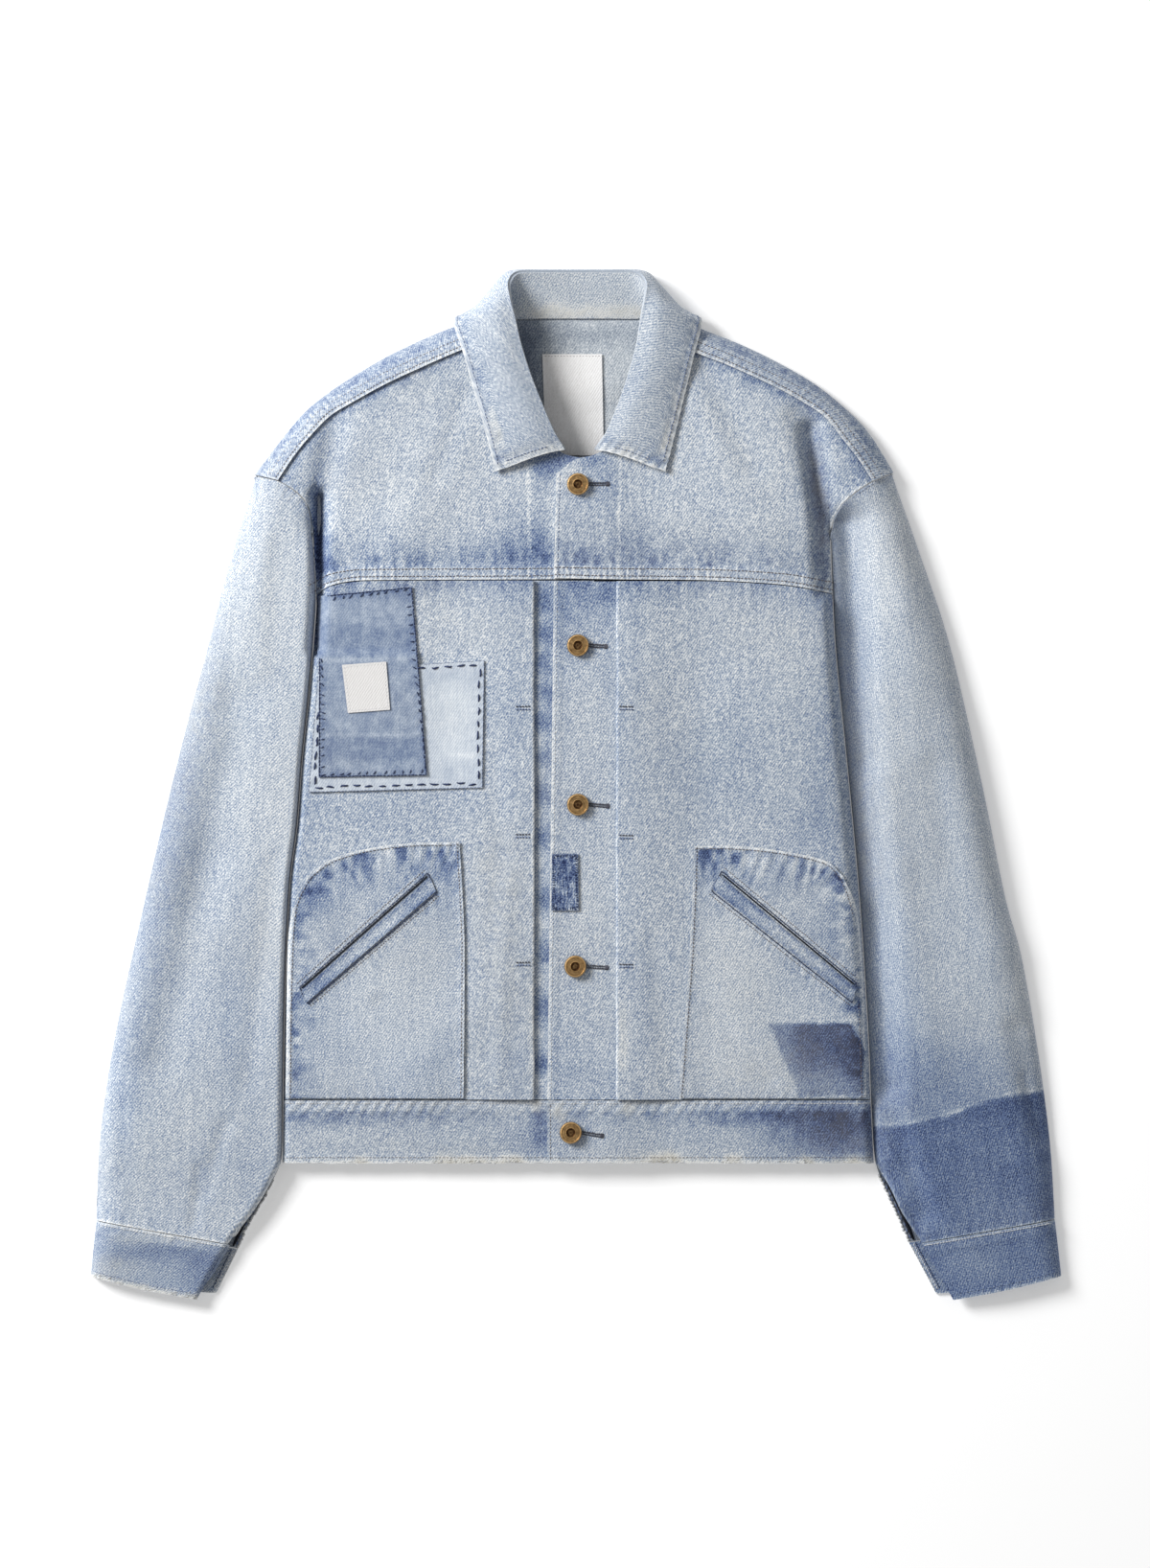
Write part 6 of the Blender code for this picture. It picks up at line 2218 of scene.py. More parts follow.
@dataclass
class Pockets:
    """The rounded patch pockets and the slanted welts over their mouths."""

    shapes: dict = field(default_factory=lambda: {
        Side.RIGHT: {"side": [(-222.5, -242), (-221, -150), (-219, -108), (-215, -88), (-206, -71)],
                     "top": [(-206, -71), (-190, -59), (-165, -51), (-131, -46), (-89.5, -45)],
                     "front": [(-86.5, -242), (-85.5, -137), (-87, -88), (-89.5, -45)],
                     "welt": [(-213, -156), (-206.5, -169), (-107, -83.5), (-114, -68)]},
        Side.LEFT: {"side": [(222.5, -242), (219.5, -150), (216.5, -108), (212, -88), (205, -71)],
                    "top": [(205, -71), (191, -59), (153, -51), (120, -48), (91, -48)],
                    "front": [(79, -242), (86.5, -145), (89.5, -90), (91, -48)],
                    "welt": [(216, -153), (212.5, -168), (104, -82), (112, -66.5)]}})
    welt_stand: float = 0.5
    slit_stand: float = 0.25
    smudge_dark: float = 0.44
    smudge_warm: float = 0.1
    smudge: tuple = ((147, -184), (212, -184), (221, -205), (221, -240), (172, -240), (158, -206))

    def build(self, rack: Rack, panels: dict) -> None:
        """Builds and sews both pockets on their panels.

        Args:
            rack: the finishes, and where the pieces go.
            panels: the lower front of each side.
        """
        for pattern in PATTERNS:
            piece = self._pocket(rack, pattern.side, panels[pattern.side])
            self._welt(rack, pattern.side, piece)

    def _smudge_share(self, points: Array) -> Array:
        """How much of the grey smudge each point has: crisp at its outline, soft at its foot.

        Args:
            points: plan points.

        Returns:
            The share at each point.
        """
        outline = np.array(self.smudge, float)
        closed = np.vstack([outline, outline[:1]])
        away, _, _ = nearest(points, closed)
        inside = np.zeros(points.shape[:-1], bool)
        for (x0, y0), (x1, y1) in zip(closed, closed[1:]):
            crosses = (y0 > points[..., 1]) != (y1 > points[..., 1])
            level = y1 - y0 if y1 != y0 else 1.0
            inside ^= crosses & (points[..., 0] < (x1 - x0) * (points[..., 1] - y0) / level + x0)
        signed = np.where(inside, away, -away) + 0.8 * cloud(points, 4, 151)
        return ramp(signed, -1.2, 1.6) * (0.55 + 0.45 * ramp(points[..., 0], 158, 176)) * (
            1 - 0.62 * ramp(-points[..., 1], 200, 240))

    def _pocket(self, rack: Rack, side: Side, panel: ClothPiece) -> ClothPiece:
        """One patch pocket.

        Args:
            rack: the finishes, and where the pieces go.
            side: the wearer's side.
            panel: the lower front that it lies on.

        Returns:
            The sheet.
        """
        shape = self.shapes[side]
        right = side is Side.RIGHT
        lines = {name: moved(smooth_line(shape[name]), dy=CLOTHS.seam) for name in ("side", "top", "front")}
        low = np.array([lines["side"][0], lines["front"][0]])
        top, front, flank = lines["top"], lines["front"], lines["side"]
        plan = side_grid(side, flank, front, low, top, shares(136, 1.9), shares(192, 1.9))
        outer_low, outer_high, inner_high, inner_low = (
            np.array(shape["welt"][i], float) for i in (1, 0, 3, 2))
        mouth = np.vstack([outer_high, inner_high])
        foot = np.vstack([outer_low, inner_low])
        seams = (Seam(top, band=2.5, lift=0.35, reach=19, pitch=9, pucker=0.45, rope=0.07, dark=0.08,
                      blotch=0.30, slant=0.1, seed=152 + side.value),
                 Seam(front, band=2.5, lift=0.3, reach=8, pitch=9, pucker=0.2, rope=0.05, dark=0.03,
                      blotch=0.06, seed=154 + side.value),
                 Seam(flank, band=2.5, lift=0.3, reach=13, pitch=9, pucker=0.3, rope=0.06, dark=0.05,
                      blotch=0.24, seed=156 + side.value),
                 Seam(mouth, band=5, lift=0.2, reach=8, pitch=5, pucker=0.15, rope=0.05, dark=0.05,
                      blotch=0.10, seed=158 + side.value),
                 Seam(foot, band=4, lift=0.2, reach=9, pitch=6.5, pucker=0.2, rope=0.07, dark=0.02,
                      blotch=0.08, seed=160 + side.value),
                 Seam(low, reach=8, pitch=8, pucker=0.2, rope=0.04, dark=0.04, blotch=0.06,
                      seed=162 + side.value))
        if right:
            marks = (Mark(-192, -95, 22, 30, -0.04, turn=-20, ragged=0.9),
                     Mark(-150, -72, 40, 12, -0.04, ragged=0.7),
                     Mark(-105, -66, 16, 16, -0.05, ragged=0.8),
                     Mark(-100, -100, 8, 30, -0.04, ragged=0.7), Mark(-130, -165, 46, 46, 0.025),
                     Mark(-205, -190, 14, 34, -0.03), Mark(-112, -214, 26, 10, -0.05, turn=35),
                     Mark(-180, -205, 30, 20, -0.03), Mark(-213, -230, 8, 14, -0.08, ragged=0.7))
        else:
            marks = (Mark(196, -98, 18, 30, -0.10, turn=15, ragged=0.9),
                     Mark(160, -72, 36, 12, -0.07, ragged=0.9), Mark(112, -62, 20, 10, -0.07, ragged=0.8),
                     Mark(98, -100, 10, 26, -0.03, ragged=0.8), Mark(118, -150, 34, 50, 0.03, warm=0.12),
                     Mark(150, -215, 40, 24, 0.0, warm=0.16), Mark(206, -172, 16, 16, -0.05, ragged=0.6),
                     Mark(176, -140, 16, 16, -0.03, ragged=0.7), Mark(216, -215, 8, 30, -0.10))
        wash = Wash(0.735 if right else 0.75, marks, seams, (top, flank), (front,), seed=165 + side.value,
                    streaks=0.018)
        piece = ClothPiece(f"pocket_{side.word}", plan, panel.height, wash,
                           Cut((0.142, 0.197), (f"front_panel_{side.word}",), 0.0248),
                           out=CLOTHS.rest + CLOTHS.denim, seed=23 + side.value)
        look = wash.read(plan)[1]
        if not right:
            share = self._smudge_share(plan)
            look = Look(look.tone - self.smudge_dark * share, look.warm + self.smudge_warm * share,
                        look.rubbed)
        piece.hang(rack, [rack.finishes.denim, rack.finishes.inside], look)
        turn = -1 if right else 1
        rows = [StitchRow(beside(line, gap * hand * turn), seed=170 + n)
                for n, (line, gap, hand) in enumerate(((top, 2.3, 1), (flank, 2.3, 1), (front, 2.3, -1)))]
        frame = [beside(mouth, turn * -3.2), beside(foot, turn * 2.6)]
        rows += [StitchRow(along(line, np.linspace(0, 1, 30)), pitch=2.3, seed=175 + n)
                 for n, line in enumerate(frame)]
        piece.sew(rack, f"pocket_stitches_{side.word}", rows, rack.finishes.brown_thread, 0.33)
        return piece

    def _welt(self, rack: Rack, side: Side, pocket: ClothPiece) -> None:
        """One welt, with a near-black tube above it that is painted shadow in the pocket's mouth, and the
        navy thread round it.

        Args:
            rack: the finishes, and where the pieces go.
            side: the wearer's side.
            pocket: the pocket that it lies on.
        """
        outer_low, outer_high, inner_high, inner_low = (
            np.array(self.shapes[side]["welt"][i], float) for i in (1, 0, 3, 2))
        across = shares(140, 2.0)[None, :, None]
        up = shares(15, 1.3)[:, None, None]
        lower = outer_low + (inner_low - outer_low) * across
        upper = outer_high + (inner_high - outer_high) * across
        plan = lower + (upper - lower) * (0.10 + 0.66 * up)
        if side is Side.LEFT:
            plan = plan[:, ::-1]
        rim = plan[0]
        wash = Wash(0.74, (Mark(*plan[4, 12], 20, 14, -0.14), Mark(*plan[4, -12], 20, 14, -0.12)),
                    (Seam(rim, reach=2.6, pitch=6, pucker=0.05, rope=0.03, dark=0.24, seed=181),
                     Seam(plan[-1], reach=2.6, pitch=6, pucker=0.05, rope=0.03, dark=0.24, seed=182)),
                    waves=0.0, seed=183)
        piece = ClothPiece(f"pocket_welt_{side.word}", plan, pocket.height, wash,
                           Cut((0.137, 0.012), (f"pocket_{side.word}",)), wall=0.9,
                           out=CLOTHS.rest * 0.5 + CLOTHS.denim, seed=25)
        piece.hang(rack, [rack.finishes.denim, rack.finishes.inside])
        corners = [outer_low, inner_low, inner_high, outer_high, outer_low]
        frame = at_length(np.array(corners), np.linspace(0, run_lengths(np.array(corners))[-1], 160))
        mouth = outer_high + (inner_high - outer_high) * np.linspace(0.01, 0.99, 60)[:, None]
        mouth = mouth + (outer_low - outer_high) * 0.13

        def welt_top(points: Array) -> Array:
            """The upper side of the welt."""
            return pocket.height(points) + self.welt_stand

        paths = StitchRow(frame, pitch=2.1, share=0.95, stand=0.3, seed=184).paths(welt_top)
        rack.thread(pocket.node, f"welt_frame_{side.word}", paths, 0.46, rack.finishes.navy_thread)
        # A near-black tube along the mouth: painted shadow in the opening.
        slit = np.concatenate([mouth, (pocket.height(mouth) + self.slit_stand)[:, None]], -1)
        taper = tuple(np.concatenate([[0.4], np.ones(58), [0.4]]))
        rack.thread(pocket.node, f"pocket_mouth_{side.word}", slit[None], 0.62, rack.finishes.slit,
                    taper=taper, ring=8)


@dataclass
class Patches:
    """The sewn patches of the right chest, the darn on the band and the two blank labels."""

    pale: tuple = ((-206, -6), (-72, -2.5), (-70.5, 95.5), (-198.5, 88))
    indigo: tuple = ((-198, 5.5), (-114.5, 7), (-126, 152), (-197.5, 145))
    label: tuple = ((-175.5, 55), (-143, 57.5), (-146, 94.5), (-180, 92))
    darn: tuple = ((-19, -97), (2, -97), (1.5, -53.5), (-18.5, -53.5))
    neck: tuple = ((-23, 254), (21.5, 254), (20, 332), (-26, 332))

    def build(self, rack: Rack, panel: ClothPiece, band: ClothPiece) -> None:
        """Builds and sews the patches and labels.

        Args:
            rack: the finishes, and where the pieces go.
            panel: the right lower front.
            band: the buttonhole band.
        """
        self._pale(rack, panel)
        indigo = self._indigo(rack, panel)
        self._chest_label(rack, indigo)
        self._darn(rack, band)
        self._neck_label(rack)

    @staticmethod
    def _edge(corners: tuple, inset: float) -> Array:
        """The outline of a patch, moved in, as a closed line of many points.

        Args:
            corners: its four corners.
            inset: how far it is moved in.

        Returns:
            The line's points.
        """
        points = np.array(corners, float)
        middle = points.mean(0)
        size = np.abs(points - middle)
        inner = middle + (points - middle) * (1 - inset / size)
        closed = np.vstack([inner, inner[:1]])
        return at_length(closed, np.linspace(0, run_lengths(closed)[-1], 240))

    def _pale(self, rack: Rack, panel: ClothPiece) -> None:
        """The pale patch with its running stitches.

        Args:
            rack: the finishes, and where the pieces go.
            panel: the right lower front.
        """
        plan = quad_plan(list(self.pale))
        rim = self._edge(self.pale, 0.0)
        seams = (Seam(rim, reach=6, pitch=7.5, pucker=0.25, rope=0.02, dark=0.0, seed=191),)
        marks = (Mark(-92, 50, 16, 34, 0.05), Mark(-92, 8, 18, 10, -0.03), Mark(-92, 84, 20, 6, -0.05),
                 Mark(-74, 40, 4, 50, -0.03), Mark(-150, -1, 60, 5, 0.0),
                 Mark(-86, 22, 12, 2.2, 0.06, ragged=0.1), Mark(-202, 30, 5, 50, -0.02))
        wash = Wash(0.80, marks, seams, waves=0.3, seed=192)
        piece = ClothPiece("patch_pale", plan, panel.height, wash,
                           Cut((0.135, 0.099), ("front_panel_right",), 0.0126), wall=CLOTHS.shirting,
                           out=CLOTHS.rest + CLOTHS.shirting, seed=26, slot=Slot.PALE)
        piece.hang(rack, [rack.finishes.pale, rack.finishes.pale])
        row = StitchRow(self._edge(self.pale, 3.6), pitch=9.8, share=0.64, stand=0.5, wobble=0.4, seed=193)
        piece.sew(rack, "pale_patch_stitches", [row], rack.finishes.navy_thread, 0.78)
        rim_row = StitchRow(self._edge(self.pale, 0.3), pitch=3, share=0.97, stand=0.1, wobble=0.06, seed=194)
        piece.sew(rack, "pale_patch_rim", [rim_row], rack.finishes.blue_thread, 0.22)

    def _indigo(self, rack: Rack, panel: ClothPiece) -> ClothPiece:
        """The darker patch over it, pieced of several blue strips, with small whip stitches.

        Args:
            rack: the finishes, and where the pieces go.
            panel: the right lower front.

        Returns:
            The sheet.
        """
        plan = quad_plan(list(self.indigo))
        over_pale = 1 - ramp(plan[..., 1], 97, 106)
        step = CLOTHS.rest + CLOTHS.shirting
        out = step + over_pale * step
        rim = self._edge(self.indigo, 0.0)
        seams = (Seam(rim, reach=5, pitch=6.5, pucker=0.3, rope=0.04, dark=0.10, seed=195),)
        marks = (Mark(-160, 134, 46, 8, 0.05, ragged=0.3, crisp=0.5),
                 Mark(-160, 125, 44, 1.8, 0.05, ragged=0.1), Mark(-158, 112, 50, 11, -0.04, crisp=0.6),
                 Mark(-190, 95.5, 44, 1.6, 0.10, ragged=0.15), Mark(-152, 97, 30, 1.4, 0.06, ragged=0.15),
                 Mark(-190, 60, 12, 30, 0.02), Mark(-130, 60, 12, 34, 0.04),
                 Mark(-158, 28, 44, 12, -0.06, crisp=0.7), Mark(-154, 38, 30, 1.7, 0.12, ragged=0.2),
                 Mark(-150, 13, 46, 6, 0.04, crisp=0.5), Mark(-168, 46, 20, 10, 0.03),
                 Mark(-162, 150, 40, 5, -0.05))
        wash = Wash(0.60, marks, seams, waves=0.3, seed=196, streaks=0.02)

        def top(points: Array) -> Array:
            """The height of the patch over any plan point."""
            extra = step + (1 - ramp(points[..., 1], 97, 106)) * step
            return panel.height(points) + wash.read(points)[0] + extra

        piece = ClothPiece("patch_indigo", plan, panel.height, wash,
                           Cut((0.084, 0.147), ("patch_pale", "front_panel_right"), 0.0112),
                           wall=CLOTHS.shirting, out=out, seed=27, slot=Slot.INDIGO)
        piece.hang(rack, [rack.finishes.indigo, rack.finishes.indigo])
        edge = self._edge(self.indigo, 1.4)
        places = np.linspace(0, run_lengths(edge)[-1], 62)[:-1]
        chance = np.random.default_rng(197)
        start = at_length(edge, places + chance.normal(0, 0.8, places.shape))
        middle = np.array(self.indigo, float).mean(0)
        out_way = start - middle
        out_way = out_way / np.linalg.norm(out_way, axis=1, keepdims=True)
        lean = np.stack([-out_way[:, 1], out_way[:, 0]], -1)
        end = start - out_way * 2.6 + lean * chance.uniform(1.2, 3.4, (len(start), 1))
        knots = knots_between(start, end)
        paths = np.concatenate([knots, (top(knots) + np.array([-0.2, 0.35, 0.35, -0.2]))[..., None]], -1)
        rim_row = StitchRow(self._edge(self.indigo, 0.5), pitch=2.7, share=0.95, stand=0.15, wobble=0.1,
                            seed=198)
        paths = np.concatenate([paths, rim_row.paths(top)])
        rack.thread(piece.node, "indigo_patch_stitches", paths, 0.5, rack.finishes.navy_thread, Slot.INDIGO)

        def ground(points: Array) -> Array:
            """The patch's upper side without its relief and its full height off the panel."""
            return top(points) - wash.read(points)[0] - 2 * step

        piece.under, piece.out = ground, 2 * step
        return piece

    def _chest_label(self, rack: Rack, ground: ClothPiece) -> None:
        """The blank white label on the indigo patch.

        Args:
            rack: the finishes, and where the pieces go.
            ground: the indigo patch.
        """
        plan = quad_plan(list(self.label), 1.5)
        wash = Wash(0.815, (Mark(-160, 75, 20, 24, 0.01),), waves=0.1, seed=201, streaks=0.005)
        piece = ClothPiece("chest_label", plan, ground.height, wash,
                           Cut((0.034, 0.038), ("patch_indigo",)), wall=CLOTHS.label,
                           out=CLOTHS.rest * 0.6 + CLOTHS.label, seed=28, slot=Slot.LABEL)
        piece.hang(rack, [rack.finishes.tape, rack.finishes.tape])
        row = StitchRow(self._edge(self.label, 1.8), pitch=2.6, share=0.7, stand=0.08, seed=202)
        piece.sew(rack, "chest_label_stitches", [row], rack.finishes.white_thread, 0.2)

    def _darn(self, rack: Rack, band: ClothPiece) -> None:
        """The small dark darned patch at the front edge, with its overcast rim.

        Args:
            rack: the finishes, and where the pieces go.
            band: the buttonhole band.
        """
        plan = quad_plan(list(self.darn), 1.2)
        marks = (Mark(-9, -60, 12, 5, -0.05), Mark(-8, -76, 7, 8, 0.07, ragged=0.8),
                 Mark(-4, -90, 8, 4, 0.05, ragged=0.8), Mark(-14, -84, 5, 6, -0.06))
        wash = Wash(0.48, marks, waves=0.15, seed=203, streaks=0.05)
        piece = ClothPiece("darned_patch", plan, band.height, wash,
                           Cut((0.021, 0.044), ("buttonhole_band",)), wall=CLOTHS.shirting,
                           out=CLOTHS.rest + CLOTHS.shirting, seed=29, slot=Slot.INDIGO)
        piece.hang(rack, [rack.finishes.darned, rack.finishes.darned])
        edge = self._edge(self.darn, 0.4)
        chance = np.random.default_rng(204)
        places = np.linspace(0, run_lengths(edge)[-1], 72)[:-1]
        start = at_length(edge, places)
        middle = np.array(self.darn, float).mean(0)
        inwards = np.sign(middle - start) * (np.abs(middle - start) > (8.2, 19.5))
        end = start + inwards * chance.uniform(1.2, 2.6, (len(start), 1)) + chance.normal(0, 0.4, start.shape)
        knots = knots_between(start, end)
        level = piece.height(knots) + np.array([-0.3, 0.3, 0.3, -0.2])
        paths = np.concatenate([knots, level[..., None]], -1)
        rack.thread(piece.node, "darn_stitches", paths, 0.34, rack.finishes.navy_thread, Slot.INDIGO)

    def _neck_label(self, rack: Rack) -> None:
        """The blank off-white label inside the neck.

        Args:
            rack: the finishes, and where the pieces go.
        """
        plan = quad_plan(list(self.neck), 2.0)
        # Both marks darken the label at its left edge and its foot: painted shade from the collar.
        wash = Wash(0.93, (Mark(-20, 300, 12, 50, -0.03, ragged=0.1), Mark(0, 258, 20, 8, -0.02)),
                    waves=0.0, seed=205, streaks=0.004, warm=0.05)

        def ground(points: Array) -> Array:
            """The back yoke's inner face."""
            return CLOTHS.denim + yoke_lift(points)

        piece = ClothPiece("neck_label", plan, ground, wash, Cut((0.045, 0.078), ("back_yoke",)),
                           wall=CLOTHS.label, out=CLOTHS.rest + CLOTHS.label, seed=30, slot=Slot.LABEL)
        piece.hang(rack, [rack.finishes.tape, rack.finishes.tape])
        rows = [StitchRow(np.array([(-24.5, 330.4), (19, 330.4)], float), pitch=2.4, share=0.7, stand=0.08)]
        piece.sew(rack, "neck_label_stitches", rows, rack.finishes.brown_thread, 0.16)


@dataclass
class Buttons:
    """The turned brass buttons and the worked holes that they close."""

    places: tuple = ((1.5, 231), (1.5, 107), (1.5, -15.5), (-0.5, -140), (-4, -268))
    hole_ends: tuple = ((24.4, 231.2), (22.9, 106.2), (24.4, -16.6), (23.7, -141), (20, -270.5))
    radius: float = 8.5
    sides: int = 40
    profile: tuple = ((0, 1.7, 0.0), (1.5, 1.9, 0.25), (2.3, 1.5, 0.0), (2.9, 1.7, 0.0), (3.3, 3.2, 0.3),
                      (3.7, 3.7, 0.8), (4.3, 3.55, 0.45), (6.3, 3.75, 0.5), (6.8, 3.7, 0.3),
                      (7.2, 4.15, 0.85), (7.9, 4.0, 0.9), (8.4, 3.1, 0.5), (8.5, 2.2, 0.2), (8.1, 0.8, 0.0),
                      (7.4, 0.1, 0.0), (0, 0, 0.0))

    def build(self, rack: Rack, band: ClothPiece, yoke: ClothPiece, waistband: ClothPiece) -> None:
        """Builds the five buttons and their holes.

        Args:
            rack: the finishes, and where the pieces go.
            band: the buttonhole band.
            yoke: the left front yoke.
            waistband: the left half of the waistband.
        """
        for number, (place, end) in enumerate(zip(self.places, self.hole_ends), 1):
            ground = yoke if place[1] > 160 else waistband if place[1] < LEVELS.waist_seam_y else band
            self._button(rack, number, place, ground)
            self._hole(rack, number, place, end, ground)

    def _button(self, rack: Rack, number: int, place: tuple, ground: ClothPiece) -> None:
        """One button, turned about its middle.

        Args:
            rack: the finishes, and where the pieces go.
            number: its number from the top.
            place: its middle in plan.
            ground: the sheet that it lies on.
        """
        rings = np.array(self.profile[1:-1])
        angle = np.arange(self.sides) * 2 * math.pi / self.sides
        level = float(ground.height(np.array([place], float))[0]) + 0.5
        points = [(place[0], place[1], level + self.profile[0][1])]
        for r, z, _ in rings:
            points += [(place[0] + r * math.cos(a), place[1] + r * math.sin(a), level + z) for a in angle]
        points.append((place[0], place[1], level))
        faces = [(0, 1 + i, 1 + (i + 1) % self.sides) for i in range(self.sides)]
        for ring in range(len(rings) - 1):
            base = 1 + ring * self.sides
            faces += [(base + i, base + self.sides + i, base + self.sides + (i + 1) % self.sides,
                       base + (i + 1) % self.sides) for i in range(self.sides)]
        base, last = 1 + (len(rings) - 1) * self.sides, len(points) - 1
        faces += [(base + (i + 1) % self.sides, base + i, last) for i in range(self.sides)]
        mesh = plain_mesh(f"button_{number}", np.array(points), faces, [rack.finishes.brass])
        tones = [self.profile[0][2]] + [t for _, _, t in rings for _ in angle] + [0.0]
        carry(mesh, "tone", np.array(tones))
        mesh.set_sharp_from_angle(angle=math.radians(48))
        rack.hang(f"button_{number}_brass", mesh, Slot.BRASS, f"button_{number}")

    def _hole(self, rack: Rack, number: int, place: tuple, end: tuple, ground: ClothPiece) -> None:
        """One keyhole: overcast threads round a slit from under the button to its bar.

        Args:
            rack: the finishes, and where the pieces go.
            number: its number from the top.
            place: the button's middle in plan.
            end: the far end of the slit in plan.
            ground: the sheet that it is worked in.
        """
        start = np.array([place[0] + self.radius - 1.5, place[1]])
        finish = np.array(end, float)
        run = (finish - start) / np.linalg.norm(finish - start)
        side = np.array([-run[1], run[0]])
        chance = np.random.default_rng(300 + number)
        count = 15
        at = np.linspace(0, 1, count)[:, None]
        spine = start + (finish - start) * at
        threads = []
        for hand in (-1, 1):
            near = spine + side * hand * 0.25
            far = spine + side * hand * (1.55 + 0.15 * chance.normal(0, 1, (count, 1)))
            threads.append(knots_between(near, far))
        bar_at = np.linspace(-0.8, 1.0, 4)[:, None]
        low, high = finish + run * bar_at - side * 1.9, finish + run * bar_at + side * 1.9
        threads.append(knots_between(low, high))
        plan = np.concatenate(threads)
        height = ground.height(plan) + np.array([0.0, 0.4, 0.4, -0.1])
        paths = np.concatenate([plan, height[..., None]], -1)
        rack.thread(ground.node, f"buttonhole_{number}", paths, 0.5, rack.finishes.grey_thread)


@dataclass
class Frays:
    """Loose worn threads along the hem and the end of the right cuff."""

    hem_xs: tuple = (-168, -128, -104, -88, -78, -66, -50, 56, 66, 76, 120, 150, 176, 206)
    cuff_spots: tuple = (0.04, 0.16, 0.3, 0.55, 0.78, 0.88, 0.95)
    each: int = 10

    def build(self, rack: Rack, waistband: dict, cuffs: dict) -> None:
        """Builds the threads of the hem and of the right cuff.

        Args:
            rack: the finishes, and where the pieces go.
            waistband: both halves of the waistband.
            cuffs: the upper side of each cuff.
        """
        chance = np.random.default_rng(400)
        for side, piece in waistband.items():
            spots = [(x, LEVELS.hem_y) for x in self.hem_xs if (x > -22) == (side is Side.LEFT)]
            self._tuft(rack, f"hem_frays_{side.word}", piece, np.array(spots, float), chance)
        spots = along(smooth_line(RIGHT_PATTERN.cuff_end), np.array(self.cuff_spots))
        self._tuft(rack, "cuff_frays_right", cuffs[Side.RIGHT], spots, chance)

    def _tuft(self, rack: Rack, name: str, piece: ClothPiece, spots: Array,
              chance: np.random.Generator) -> None:
        """Short curled threads round each spot of an edge.

        Args:
            rack: the finishes, and where the pieces go.
            name: the piece's name.
            piece: the sheet that they hang from.
            spots: the worn spots in plan.
            chance: the random draws.
        """
        count = len(spots) * self.each
        start = np.repeat(spots, self.each, axis=0)
        start = start + np.stack([chance.normal(0, 4.5, count), chance.uniform(0.3, 2.5, count)], -1)
        start[:, 0] = np.clip(start[:, 0], -369, 369)
        heading = chance.uniform(-0.6, 0.6, count) + np.where(chance.random(count) > 0.5, 0, math.pi)
        long = chance.uniform(1.5, 4.0, count)
        bend = chance.uniform(-0.9, 0.9, count)
        steps = np.linspace(0, 1, 5)
        angle = heading[:, None] + bend[:, None] * steps
        walk = np.stack([np.cos(angle), np.sin(angle)], -1) * (long[:, None, None] / 5)
        plan = start[:, None] + np.cumsum(walk, axis=1)
        edge_y = spots[0, 1]
        if len(spots) > 1:
            edge_y = np.interp(plan[..., 0], *np.array(sorted(spots.tolist())).T)
        plan[..., 1] = np.maximum(plan[..., 1], edge_y - 1.2)
        held = plan.copy()
        held[..., 1] = np.maximum(held[..., 1], edge_y + 0.6)
        height = piece.height(held) + 0.25 + chance.uniform(0, 0.5, (count, 1)) * np.sin(math.pi * steps)
        paths = np.concatenate([plan, height[..., None]], -1)
        rack.thread(piece.node, name, paths, 0.2, rack.finishes.white_thread, taper=(0.7, 1, 1, 0.9, 0.4))


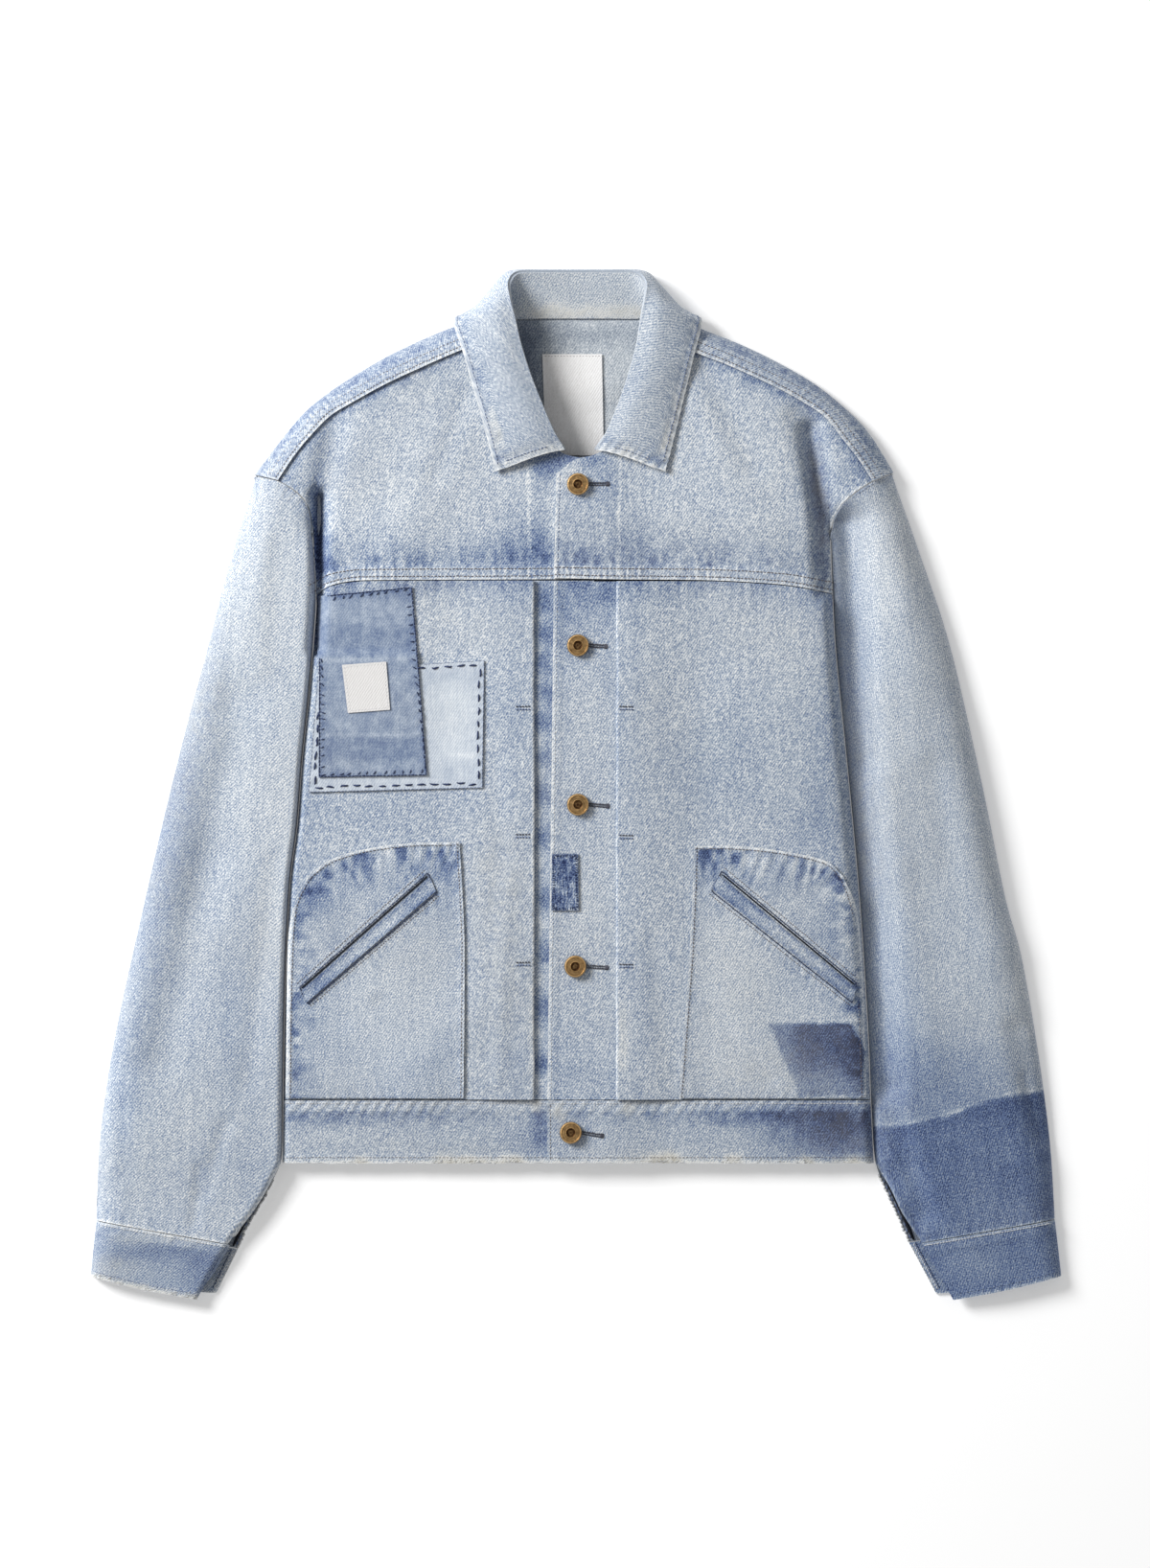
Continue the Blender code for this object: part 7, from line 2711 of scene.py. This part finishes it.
@dataclass
class Studio:
    """The white table, the soft light from the upper left and the camera straight above."""

    frame_height: float = 1.2106
    camera_height: float = 6.0
    camera_at: tuple = (-0.00074, 0.00037)
    sensor: float = 36.0
    key_at: tuple = (-2.5, 1.5, 1.9)
    key_size: float = 1.5
    key_power: float = 150.0
    sky: float = 0.36

    def build(self) -> None:
        """Builds the table, the lights and the camera."""
        self._table()
        self._lights()
        self._camera()

    def _table(self) -> None:
        """A large white table top."""
        board = NodeBoard("white table")
        place = board.add("TexCoord", {}).outputs["Object"]
        grain = board.sum(0.93, board.swing(place, 40, 2, 0.006))
        colour = board.add("CombineColor", {0: grain, 1: grain, 2: grain}).outputs[0]
        rough = board.sum(0.8, board.swing(place, 300, 2, 0.05))
        board.join(board.shader, {"Base Color": colour, "Roughness": rough, "Specular IOR Level": 0.1,
                                  "Emission Color": (1, 1, 1, 1), "Emission Strength": 0.24})
        half = 4000.0
        mesh = plain_mesh("table", np.array([(-half, -half, 0), (half, -half, 0), (half, half, 0),
                                             (-half, half, 0)]), [(0, 1, 2, 3)], [board.material])
        table = bpy.data.objects.new("table", mesh)
        bpy.context.scene.collection.objects.link(table)

    def _lights(self) -> None:
        """One large soft light from the upper left, and a white room."""
        light = bpy.data.lights.new("key", "AREA")
        light.shape = "DISK"
        light.size = self.key_size
        light.energy = self.key_power
        key = bpy.data.objects.new("key", light)
        key.location = self.key_at
        key.rotation_euler = (-key.location).to_track_quat("-Z", "Y").to_euler()
        bpy.context.scene.collection.objects.link(key)
        world = bpy.data.worlds.new("white room")
        bpy.context.scene.world = world
        world.use_nodes = True
        sky = world.node_tree.nodes["Background"]
        sky.inputs["Color"].default_value = (1.0, 1.0, 1.0, 1)
        sky.inputs["Strength"].default_value = self.sky
        bpy.context.scene.view_settings.view_transform = "Standard"

    def _camera(self) -> None:
        """A long lens straight above, whose frame is the photograph's."""
        lens = bpy.data.cameras.new("camera")
        lens.sensor_fit = "VERTICAL"
        lens.sensor_height = self.sensor
        lens.lens = self.sensor * self.camera_height / self.frame_height
        lens.clip_end = 50
        camera = bpy.data.objects.new("camera", lens)
        camera.location = (*self.camera_at, self.camera_height)
        bpy.context.scene.collection.objects.link(camera)
        bpy.context.scene.camera = camera


def main() -> None:
    """Builds the jacket's pieces in order, then the table, lights and camera."""
    logging.basicConfig(level=logging.INFO, format="%(name)s: %(message)s")
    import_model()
    rack = Rack(Finishes())
    Back().build(rack)
    yokes, panels, bands = Yokes(), FrontPanels(), ButtonBands()
    yokes.build(rack)
    panels.build(rack)
    bands.build(rack)
    waistband, cuffs = Waistband(), Cuffs()
    waistband.build(rack)
    Sleeves().build(rack)
    cuffs.build(rack)
    Collar().build(rack)
    Pockets().build(rack, panels.panels)
    Patches().build(rack, panels.panels[Side.RIGHT], bands.top)
    Buttons().build(rack, bands.top, yokes.fronts[Side.LEFT], waistband.halves[Side.LEFT])
    Frays().build(rack, waistband.halves, cuffs.tops)
    Studio().build()


if __name__ == "__main__":
    main()
